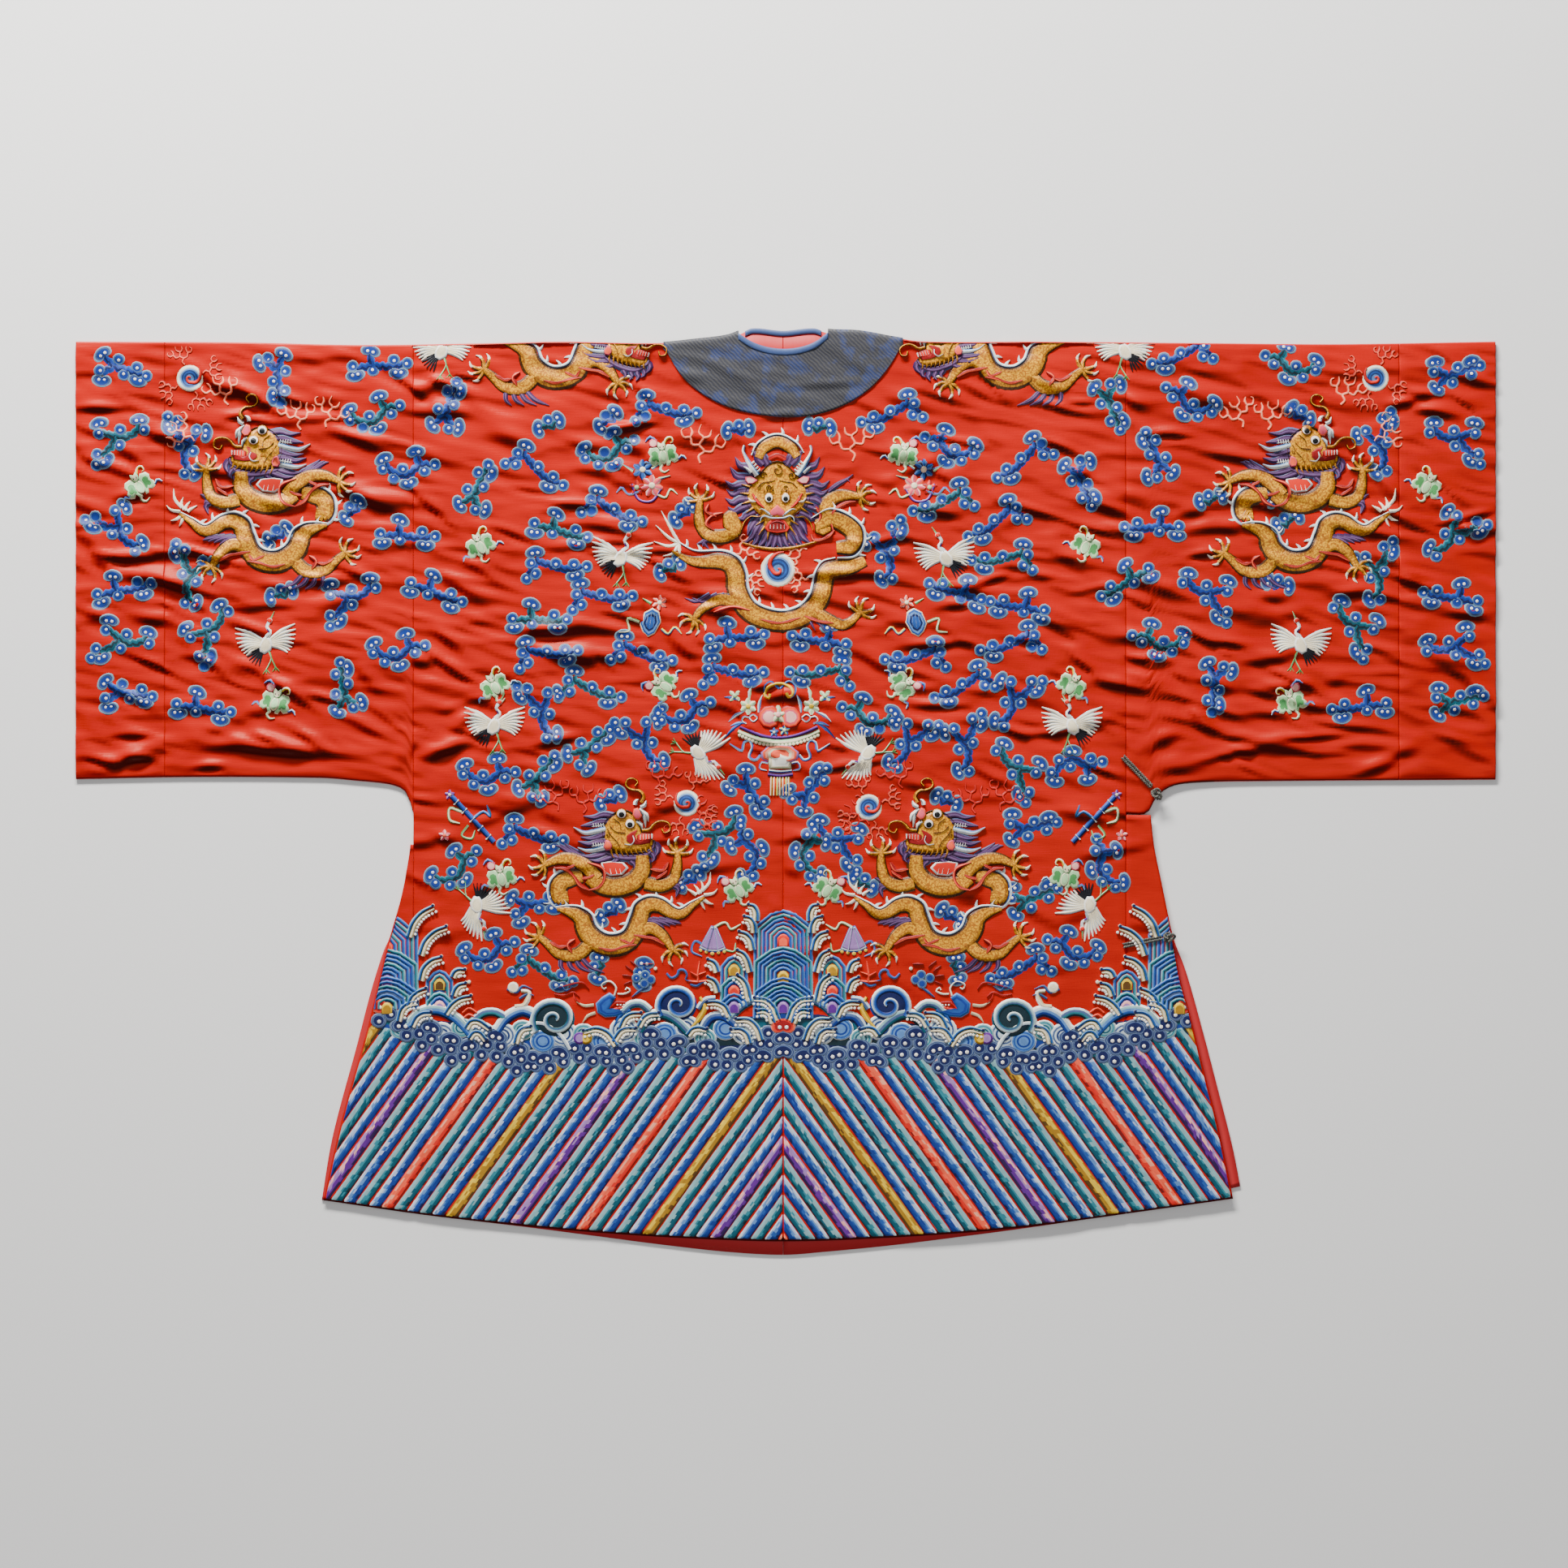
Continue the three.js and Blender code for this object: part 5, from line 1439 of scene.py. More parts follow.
# %% The belt of curls
CURLS = [  # x, y, knots
    (-478, -800, 1), (-464, -792, 1), (-450, -805, 2), (-445, -817, 1), (-430, -815, 1), (-427, -829, 1),
    (-416, -821, 1), (-416, -808, 2), (-408, -834, 1), (-393, -833, 1), (-393, -822, 2),
    (-392, -847, 1), (-378, -842, 1), (-372, -830, 2), (-357, -840, 1), (-350, -828, 1),
    (-339, -842, 1), (-339, -818, 2), (-334, -830, 1), (-325, -848, 1), (-315, -859, 1),
    (-314, -835, 2), (-310, -845, 1), (-298, -853, 2), (-296, -843, 1), (-283, -845, 2),
    (-276, -856, 1), (-264, -838, 2), (-260, -848, 1), (-247, -832, 1),
    (-241, -843, 1), (-232, -832, 1), (-225, -847, 1), (-213, -836, 2), (-209, -847, 1),
    (-200, -858, 1), (-195, -836, 1), (-191, -846, 1), (-184, -855, 1), (-181, -833, 2),
    (-173, -842, 1), (-162, -826, 1), (-158, -839, 1), (-157, -815, 2), (-145, -826, 1),
    (-141, -839, 1), (-126, -825, 2), (-125, -836, 1), (-110, -847, 2), (-106, -835, 1),
    (-95, -839, 1), (-90, -829, 2), (-83, -839, 1), (-81, -851, 1), (-67, -852, 1), (-62, -840, 2),
    (-50, -853, 1), (-42, -846, 1), (-40, -834, 2), (-27, -826, 1), (-24, -841, 2), (-18, -814, 1),
    (-16, -827, 1),
]
curl_designs = bpy.data.collections.new("curl designs")
SEA_REDS = ("peach", "coral", "scarlet", "crimson")
CURL_DESIGNS = [  # whether it is double, and its shades
    (False, SEA_BLUES), (True, SEA_BLUES), (True, SEA_REDS), (False, SEA_REDS),
]
CURL_SIZE = 1.3
for number, (double, shades) in enumerate(CURL_DESIGNS):
    design = Needlework()
    curl_head(design, 0, 0, 0, double, shades, CURL_SIZE)
    design.make(f"curl_{number}", curl_designs)
LOWEST_CURL, CURL_RISE, CURL_TURN = -860, 0.014, 9  # a higher curl lies over a lower one
curl_rows = [(side * x, y, 0.4 + (y - LOWEST_CURL) * CURL_RISE, knots - 1, rng.normal(0, CURL_TURN), side)
             for side in (1, -1) for x, y, knots in CURLS]
curl_rows += [(0, -836, 0.9, 1, 0, 1), (0, -820, 1.2, 1, 0, 1), (0, -806, 1.5, 2, 0, 1),
              (-477, -783, 1.2, 3, 0, 1), (474, -783, 1.2, 3, 0, -1)]
scatter("curls", curl_rows, curl_designs)

# %% [markdown]
# ## Dragons
#
# The dragons are the heart of the robe: one facing out on the back, four coiled ones around it, and
# two whose backs run over the shoulders. They are worked in gold thread over a padded ground, with
# silk for the fins, manes and claws. A dragon is drawn the way an embroiderer sets it up: first
# the line of the back fin, then the body beside it, then legs, head and hair. Charts are on squared
# paper, counted in squares to the right and down.

# %% Parts that dragons share
GOLD_BODY = ("bronze", "amber", "gold", "gold", "gold", "amber", "bronze")
MANE = ("plum", "grape", "lilac", "grape", "slate")


def fin(work, path, side, width=4.5):
    """A white dorsal fin with a curved spike now and then on one side of a path."""
    line = smooth_line(path, 3)
    work.band(line, [2] + [width] * 3 + [2], ("white", "frost", "slate") if side < 0 else
              ("slate", "frost", "white"), 1.6, straight=True)
    for k in range(4, len(line) - 4, 6):
        ahead = line[k + 1] - line[k - 1]
        ahead /= np.hypot(*ahead)
        out = np.array([ahead[1], -ahead[0]]) * side
        work.band([line[k] + out, line[k] + out * 4.5 - ahead, line[k] + out * 8 - ahead * 4],
                  [5, 3.4, 0.8], FROST, 1.4, step=3)


def locks(work, rows, width, shades=MANE, rise=1.1):
    """Pointed locks of hair: each row is the line of one, from its root to its tip."""
    for row in rows:
        work.band(row, [width, width * 1.15, width * 0.8, 0.8], shades, rise, step=4)


def claw(work, place, turn):
    """A foot with five white claws, pointing to turn in degrees clockwise from up."""
    for spread in (-80, -40, -4, 34, 74):
        angle = math.radians(turn + spread)
        way = np.array([math.sin(angle), math.cos(angle)])
        bend = np.array([way[1], -way[0]]) * (3 if spread > 0 else -3)
        knuckle, tip = place + way * 13 + bend, place + way * 19 - bend * 0.4
        work.band([place, place + way * 7 + bend, knuckle], [8, 6, 4.6], BRIGHT_GOLD, 1.6,
                  step=2.5, gold=True)
        work.band([knuckle - way * 2, knuckle + way * 2, tip], [4, 3.6, 0.8], ("white", "cream"), 1.6,
                  step=2)


def leg(work, path, turn, width=17):
    """A leg along a path, with a claw at its end."""
    work.band(path, [width, width, width * 0.8, 9], GOLD_BODY, 1.8, gold=True)
    claw(work, np.array(path[-1], float), turn)


FIRE = [  # one tongue of fire and its branches, from its root
    [(0, 0), (3, 7), (-2, 13), (4, 19), (1, 27), (7, 32), (6, 41)],
    [(-2, 13), (-10, 14), (-13, 21), (-20, 20), (-23, 27), (-20, 30)], [(-13, 21), (-12, 28), (-15, 34)],
    [(4, 19), (12, 18), (15, 25), (22, 24), (26, 31), (23, 34)], [(15, 25), (14, 31), (17, 36)],
    [(1, 27), (-5, 30), (-6, 37)],
]


def fire(work, x, y, turn, size=1.0, shades=("coral", "peach", "coral"), side=1):
    """Antler-shaped flame lines that start at a place and grow towards turn."""
    c, s = math.cos(math.radians(turn)) * size, math.sin(math.radians(turn)) * size
    for branch in FIRE:
        path = np.array(branch, float) * (side, 1) @ np.array([[c, -s], [s, c]]) + (x, y)
        work.band(path, [3.4, 4, 3.6, 1.4], shades, 0.9, step=2.5)


def streak(work, path, width=3.0):
    """A lick of red flame along a limb."""
    width = width * 2.2
    work.lift += 1.2
    work.band(path, [width * 0.3, width, width * 0.7, width, width * 0.3],
              ("crimson", "crimson", "coral", "crimson"), 1.2, step=2.5)
    work.lift -= 1.2


def eye(work, x, y, wide=4.6, tall=5.2):
    """A round eye with its rim, white and pupil."""
    work.bloom(circle(x, y, wide + 1, 12, (tall + 1) / (wide + 1)), ("bronze", "amber"), 1.4, core=0.85,
               gold=True)
    work.bloom(circle(x, y, wide, 12, tall / wide), ("mauve", "blush", "white"), 1.9, core=0.7)
    work.lift += 1.5
    work.bloom(circle(x, y - tall * 0.16, wide * 0.6, 12), ("black",), 1.2)
    work.dot(x + wide * 0.2, y + tall * 0.05, 1.3, WHITE)
    work.lift -= 1.5


def scroll(work, x, y, radius, start=0, side=1, shades=BRONZE, gold=True):
    """A small line that winds inwards."""
    t = np.linspace(0, 1, 12)
    angles = math.radians(start) + side * t * 8
    reach = radius * (1 - 0.85 * t)
    work.band(np.column_stack([x + reach * np.sin(angles), y + reach * np.cos(angles)]), 1.5, shades, 0.9,
              gold=gold, straight=True)


def pearl(work, x, y, radius, turn=0):
    """The flaming pearl: rings from white to deep blue, with a red comma that winds out of it."""
    work.bloom(circle(x, y, radius, 22), ("cream", "white", "frost", "sky", "steel", "azure", "steel",
                                          "sky"), 1.1,
               core=0.1)
    t = np.linspace(0, 1, 26)
    angles = np.radians(turn) + t * 6.6
    reach = radius * (0.03 + 0.4 * t + 0.62 * np.maximum(t - 0.7, 0) / 0.3)
    work.lift += 1.0
    work.band(np.column_stack([x + reach * np.sin(angles), y + reach * np.cos(angles)]),
              [radius * share for share in (0.16, 0.36, 0.38, 0.3, 0.1)],
              ("crimson", "scarlet", "scarlet", "crimson"), 1.2, straight=True)
    work.lift -= 1.0


def teeth(work, start, end, count, length):
    """A row of teeth that point down."""
    for spot in np.linspace(start, end, count):
        work.band([spot, spot + np.array([0, -length])], [2.6, 2.0], WHITE, 1.2, step=2)


# %% The front-facing dragon
FRONT_MIDDLE, FRONT_SQUARE = (75.5, 55), 2.143


def front_chart(rows):
    """Places on the square grid laid over the front-facing dragon, in drafting millimetres."""
    return charted(rows, FRONT_MIDDLE, FRONT_SQUARE)


dragon = Needlework()
dragon.lay(-6, -191)
for x, y, turn, size, side in ((-92, 50, 10, 1.1, -1), (88, 52, -4, 1.1, 1), (-50, -58, 60, 0.7, 1),
                               (34, -52, -100, 0.7, 1), (-40, -88, 100, 0.6, 1), (36, -86, -96, 0.6, -1)):
    fire(dragon, x, y, turn, size, side=side)
LOOP_FIN = [(94, 62), (104, 57), (114, 60), (122, 67), (123, 76), (118, 83), (108, 84)]
loop = front_chart(LOOP_FIN)
dragon.lift = 1.4
dragon.band(beside(smooth_line(loop, 3), 12), [14, 22, 25, 25, 22, 16], GOLD_BODY, 1.7, gold=True,
            straight=True)
fin(dragon, loop, -1)
dragon.lift = 0
BACK_FIN = [(20, 75), (30, 80), (45, 80), (54, 84), (58, 92), (59, 101), (64, 109), (76, 113), (86, 111),
            (93, 104), (96, 92), (100, 86), (107, 84)]
back = front_chart(BACK_FIN)
to_loop = np.vstack([back, front_chart([(114, 83), (121, 80)])])
dragon.band(beside(smooth_line(to_loop, 3), 13), [4, 13, 21, 26, 28, 28, 28, 27, 26, 24, 24, 16],
            GOLD_BODY, 1.9, gold=True, straight=True)
fin(dragon, back, -1)
locks(dragon, [front_chart([(84 + k * 4, 114), (92 + k * 4, 118), (96 + k * 5, 124)]) for k in range(4)],
      6)
locks(dragon, [front_chart([(50 - k * 4, 104), (42 - k * 4, 108), (36 - k * 4, 106)]) for k in range(4)],
      6)
for path in ([(94, 112), (103, 118), (112, 121), (121, 114)],
             [(56, 110), (44, 107), (34, 112), (29, 118)]):
    end = front_chart(path)
    leg(dragon, end, 30 if end[-1][0] > 0 else -150)
for path in ([(60, 113), (50, 111), (40, 114)], [(90, 116), (98, 119), (106, 120)],
             [(66, 118), (76, 120), (88, 117)]):
    streak(dragon, front_chart(path))
dragon.lift = 0.5
for tip in ((8, 66), (11, 58), (7, 75), (12, 83), (19, 86)):
    dragon.band(front_chart([(21, 76), ((21 + tip[0]) / 2 + 1, (76 + tip[1]) / 2 + 2), tip]),
                [4.5, 4, 0.8], ("cream", "white"), 1.3, step=4)

# %% [markdown]
# ### The face
#
# The face is the finest drawing on the robe, so it has a chart of its own with smaller squares. One
# half of it is drawn and turned over for the other. It stands a little above the body, and the eyes,
# nose and teeth above that.

# %% Mane, hood and claws
FACE_MIDDLE, FACE_SQUARE = (77, 52), 1.4694
dragon.lay(-6.9, -192.6, lift=0.5)


def face_chart(rows, side=1):
    """Places on the finer grid laid over its face; side -1 turns them over."""
    return charted(rows, FACE_MIDDLE, FACE_SQUARE) * (side, 1)


hood = face_chart([(62, 13), (66, 5), (77, 0), (88, 5), (93, 12)])
dragon.band(hood, [13, 17, 18, 17, 13], GOLD_BODY, 1.7, gold=True)
fin(dragon, beside(smooth_line(hood, 3), -9), -1, 3.5)
dragon.band(face_chart([(70, 14), (77, 11), (84, 14)]), 7, CRIMSON, 1.3)
dragon.bloom(face_chart([(50, 68), (44, 56), (38, 54), (33, 58), (33, 68), (38, 74), (48, 76)]),
             ("bronze", "amber", "gold", "gold"), 2.0, core=0.3, gold=True)
dragon.bloom(face_chart([(107, 62), (113, 60), (120, 64), (121, 72), (114, 76), (107, 73)]),
             ("bronze", "amber", "gold", "gold"), 2.0, core=0.3, gold=True)
leg(dragon, face_chart([(44, 72), (34, 76), (22, 75), (15, 66), (14, 55), (15, 46)]), -8, 19)
leg(dragon, face_chart([(116, 66), (116, 54), (121, 46), (132, 43), (144, 44)]), 80, 21)
scroll(dragon, *face_chart([(42, 67)])[0], 8)
scroll(dragon, *face_chart([(114, 69)])[0], 8)
for row in ([(122, 72), (120, 62), (124, 54), (133, 49), (140, 48)],
            [(104, 74), (107, 79), (117, 77), (123, 71)],
            [(108, 52), (112, 60), (110, 64)], [(33, 57), (24, 60), (20, 66), (26, 71)],
            [(22, 50), (20, 56), (28, 60)]):
    streak(dragon, face_chart(row))
locks(dragon, [face_chart([(118, 40), (126, 34), (133, 30), (138 - 3 * k, 26 + 6 * k)]) for k in range(2)]
      + [face_chart([(24, 78), (18, 80), (12 + 5 * k, 82 + k * 2)]) for k in range(3)], 6)
for side in (1, -1):
    locks(dragon, [face_chart(row, side) for row in (
        [(60, 26), (52, 20), (47, 19), (43, 12)], [(57, 29), (49, 28), (44, 27), (39, 20)],
        [(56, 33), (47, 34), (41, 36), (35, 31)], [(55, 39), (46, 40), (41, 42), (36, 38)],
        [(55, 45), (46, 46), (41, 49), (35, 45)], [(56, 50), (48, 53), (42, 56), (37, 52)],
        [(59, 56), (52, 59), (49, 62), (44, 61)], [(66, 18), (62, 14), (60, 10), (56, 7)],
        [(70, 19), (67, 14), (66, 11), (61, 10)], [(63, 60), (58, 65), (56, 68), (53, 75)],
        [(65, 63), (60, 70), (57, 76), (50, 82)], [(67, 68), (62, 75), (60, 80), (56, 84)],
        [(70, 72), (67, 78), (65, 81), (61, 85)], [(73, 74), (71, 79), (70, 82), (67, 86)],
        [(76, 75), (75, 80), (74, 83), (73, 87)])], 11)
dragon.band(face_chart([(49, 81), (62, 84.5), (77, 86), (92, 84.5), (109, 80)]), [3, 5, 5.5, 5, 3],
            BRIGHT_GOLD, 1.9, gold=True)
# %% The head itself
HEAD_RIM = [(77, 15.5), (71, 17), (66, 22), (61, 27), (56, 32), (52, 38), (51, 45), (54, 52), (60, 56),
            (65, 61), (66, 68), (70, 73), (77, 74)]
head_rim = np.vstack([face_chart(HEAD_RIM), face_chart(HEAD_RIM, -1)[-2:0:-1]])
dragon.lift = 0.8
for side in (1, -1):
    for root, tip in (((55, 36), (48, 34)), ((54, 42), (47, 41)), ((55, 48), (48, 50)),
                      ((58, 53), (52, 57)),
                      ((67, 68), (62, 75)), ((70, 72), (69, 79)), ((66, 63), (60, 67))):
        dragon.band(face_chart([root, tip], side), [6.5, 0.8], BRIGHT_GOLD, 2.2, step=3, gold=True)
dragon.bloom(head_rim, ("amber", "gold", "gold", "gold"), 1.5, core=0.3, gold=True)
dragon.band(np.vstack([head_rim, head_rim[:1]]), 1.5, BRONZE, 1.6, gold=True)
dragon.lift = 2.9
scroll(dragon, *face_chart([(77, 23)])[0], 7)
for side in (1, -1):
    def both(*rows):
        return face_chart(rows, side)
    dragon.band(both((61, 27), (56, 20), (52, 13), (49.5, 7), (50.5, 3)), [9, 7.5, 5.5, 3.5, 3], ICE,
                2.2, step=3)
    dragon.band(both((50, 20), (53, 22), (56, 25)), [1.5, 5, 5], FROST, 2.0, step=3)
    for x, y in ((57, 16.5), (58.6, 18.6), (60, 20.8), (61.6, 23)):
        dragon.band(both((x - 0.6, y + 1), (x + 1.6, y - 0.8)), 2.3, WHITE, 2.6, step=2)
    dragon.bloom(both((51, 28), (56, 27.5), (62, 31), (58, 34), (53, 34), (51, 31)),
                 ("crimson", "rose", "blush"), 1.6)
    scroll(dragon, *both((55, 31))[0], 3, shades=("crimson",), gold=False)
    scroll(dragon, *both((65.5, 27))[0], 5, 90, -side)
    scroll(dragon, *both((70.5, 37))[0], 4, 200, side)
    dragon.band(both((75.5, 31), (71, 32), (65, 33), (61, 37)), 1.7, BRONZE, 0.9, gold=True)
    dragon.band(both((73.5, 38), (74.5, 44), (73, 50)), 1.8, BRONZE, 0.9, gold=True)
    for k in range(4):
        dragon.band(both((66 + k * 2.3, 40.6), (66.4 + k * 2.2, 37.4)), [2.6, 1], ("gold", "bronze"), 1.6,
                    step=2, gold=True)
    eye(dragon, *both((70.3, 45.2))[0], 5.4, 6.2)
    dragon.band(both((57, 41.5), (59.5, 46), (62, 49.5), (66, 53)), [3, 6.5, 6.5, 3],
                ("crimson", "scarlet", "crimson"), 1.4)
    dragon.band(both((54, 45), (56, 47.8), (60, 48)), [1.5, 4.4, 2.4], ("white", "cream"), 2.2, step=2)
    dragon.band(both((60, 44), (59, 46.6)), [3.4, 1.6], WHITE, 2.2, step=2)
    dragon.band(both((73, 59.5), (68, 56), (65, 54), (62.5, 54.5)), [3.6, 3.4, 2.6, 1], ICE, 2.0)
    dragon.band(both((77, 61.5), (71, 61), (67, 59.5), (64, 61), (63.5, 64)), [3, 3.6, 3.2, 2.4, 1],
                ICE, 2.0)
    dragon.band(both((68, 58), (62, 60.5), (56, 60), (51, 64), (48, 71)), [2.8, 2.6, 2.2, 1.4],
                ("bronze", "gold"), 1.0, gold=True)
dragon.bloom(face_chart([(77, 50), (80.4, 53), (84, 56), (83, 59.4), (79.4, 60), (77, 59), (74.6, 60),
                         (71, 59.4),
                         (70, 56), (73.6, 53)]), ("crimson", "coral", "rose", "rose"), 2.6, core=0.4)
for side in (1, -1):
    dragon.dot(*face_chart([(74, 58)], side)[0], 1.5, ("crimson",))
dragon.bloom(face_chart([(71, 62.4), (77, 61), (83, 62.4), (88, 69), (86, 72.6), (77, 74), (68, 72.6),
                         (66, 69)]),
             ("crimson", "scarlet", "scarlet", "crimson", "brick"), 0.8, core=0.5)
dragon.lift = 3.7
dragon.band(face_chart([(72, 65.4), (77, 63.8), (82, 65.4)]), 3.2, ("rose", "coral"), 1.2)
start, end = face_chart([(71.4, 66.6), (82.6, 66.6)])
teeth(dragon, start, end, 5, 5)
dragon.lay(-6, -191, lift=0.3)
x, y = front_chart([(75.5, 90.5)])[0]
pearl(dragon, x, y, 21)
settle(dragon.make("dragon_front"))

# %% [markdown]
# ### The coiled dragons
#
# Six more dragons share one drawing: four lie on the skirt and the sleeves, each chasing a pearl,
# and two run over the shoulders, where only the part below the fold shows. The body is drawn first
# and the head over it, and a dragon that faces left is the same drawing turned over.

# %% The coiled dragon's body
COILED_MIDDLE, COILED_SQUARE = (75.7, 81.5), 1.652
BODY_WIDTHS = [5, 17, 25, 28, 29, 28, 26, 24, 22, 19, 16, 10, 4]


def coiled_chart(*rows):
    """Places on the square grid laid over a coiled dragon, in drafting millimetres."""
    return charted(rows, COILED_MIDDLE, COILED_SQUARE)


def coiled_body(work):
    """The coils, fins and legs of a dragon that faces right."""
    locks(work, [coiled_chart((46 - 4 * k, 67 - k), (38 - 4 * k, 62 - k),
                              (32 - 3 * k, 57 + k)) for k in range(3)], 8)
    locks(work, [coiled_chart((30 + 5 * k, 140), (30 + 7 * k, 146), (34 + 9 * k, 150)) for k in range(4)],
          6)
    upper = coiled_chart((44, 74), (34, 76), (27, 79), (21.5, 86), (21.5, 97), (27, 103.5), (36, 103))
    work.band(beside(smooth_line(upper, 3), -12), [18, 24, 25, 24, 18], GOLD_BODY, 1.7, gold=True,
              straight=True)
    fin(work, upper, 1)
    leg(work, coiled_chart((52, 128), (42, 137), (30, 137), (20, 129), (14, 124)), -60, 19)
    streak(work, coiled_chart((40, 126), (35, 130), (38, 136)))
    streak(work, coiled_chart((22, 128), (29, 132), (34, 131)))
    work.lift = 0.4
    locks(work, [coiled_chart((90 + 5 * k, 112), (98 + 5 * k, 114),
                              (104 + 4 * k, 118 - k)) for k in range(4)], 8)
    leg(work, coiled_chart((84, 122), (94, 118), (103, 124), (110, 134)), 150, 19)
    lower = coiled_chart((27, 103), (36, 102), (44, 103), (52, 108), (56, 117), (64, 122), (74, 120),
                         (79, 110), (83, 100), (93, 95), (103, 97), (114, 104), (122, 100), (132, 95))
    # The line follows the backbone, so the body lies beside it by half its width at each place.
    spine = smooth_line(lower, 3)
    widths = np.interp(np.linspace(0, 1, 60), np.linspace(0, 1, len(BODY_WIDTHS)), BODY_WIDTHS)
    widths = np.interp(np.linspace(0, 1, len(spine)), np.linspace(0, 1, 60), widths)
    work.band(beside(spine, widths[:, None] / 2), BODY_WIDTHS, GOLD_BODY, 1.9, gold=True, straight=True)
    fin(work, lower, -1)
    for row in (((57, 132), (66, 134), (76, 131), (84, 130)), ((72, 126), (80, 129), (83, 125)),
                ((82, 123), (92, 125), (97, 126), (104, 130))):
        streak(work, coiled_chart(*row))
    for tip in ((137, 78), (142, 90), (130, 84), (125, 87), (120, 90), (139, 101), (133, 105)):
        root = ((tip[0] + 3 * 129) / 4, (tip[1] + 3 * 96) / 4)
        middle = ((tip[0] + root[0]) / 2 + (2 if tip[1] < 96 else 0), (tip[1] + root[1]) / 2 + 1)
        work.band(coiled_chart(root, middle, tip), [4.6, 4, 0.8], ("cream", "white"), 1.4, step=4)
    work.lift = 0.7
    locks(work, [coiled_chart((110, 88), (114, 84 + 3 * k), (118 - 3 * k, 82 + 7 * k)) for k in range(3)],
          7)
    leg(work, coiled_chart((90, 86), (101, 88), (110, 84), (113, 75), (113.5, 64)), 5, 19)
    streak(work, coiled_chart((94, 76), (103, 77), (107, 71)))
    streak(work, coiled_chart((98, 83), (104, 79), (106, 77)))
    work.lift = 1.0
    chest = coiled_chart((88, 66), (88, 77), (82, 85), (70, 89), (58, 87), (50, 82))
    work.band(chest, [20, 25, 27, 27, 26, 20], GOLD_BODY, 2.0, gold=True)
    work.bloom(coiled_chart((58, 71), (66, 70), (75, 71), (78.5, 75), (74, 80), (65, 81), (60, 78)),
               ("white", "frost", "scarlet", "scarlet"), 1.6, core=0.6)
    for x in (62, 66, 70, 73):
        work.band(coiled_chart((x, 79.5), (x - 1, 75.5)), [3, 0.8], WHITE, 2.2, step=2)
    work.lift = 1.4
    leg(work, coiled_chart((56, 83), (48, 74), (38, 69), (28, 69), (18, 73)), -90, 21)
    for row in (((25, 75), (33, 76), (39, 81), (44, 88), (50, 91)),
                ((50, 91), (57, 89), (61, 83), (60, 76), (49, 71)),
                ((34, 76), (40, 73)), ((45, 83), (50, 82), (54, 80))):
        streak(work, coiled_chart(*row))
    work.lift = 0


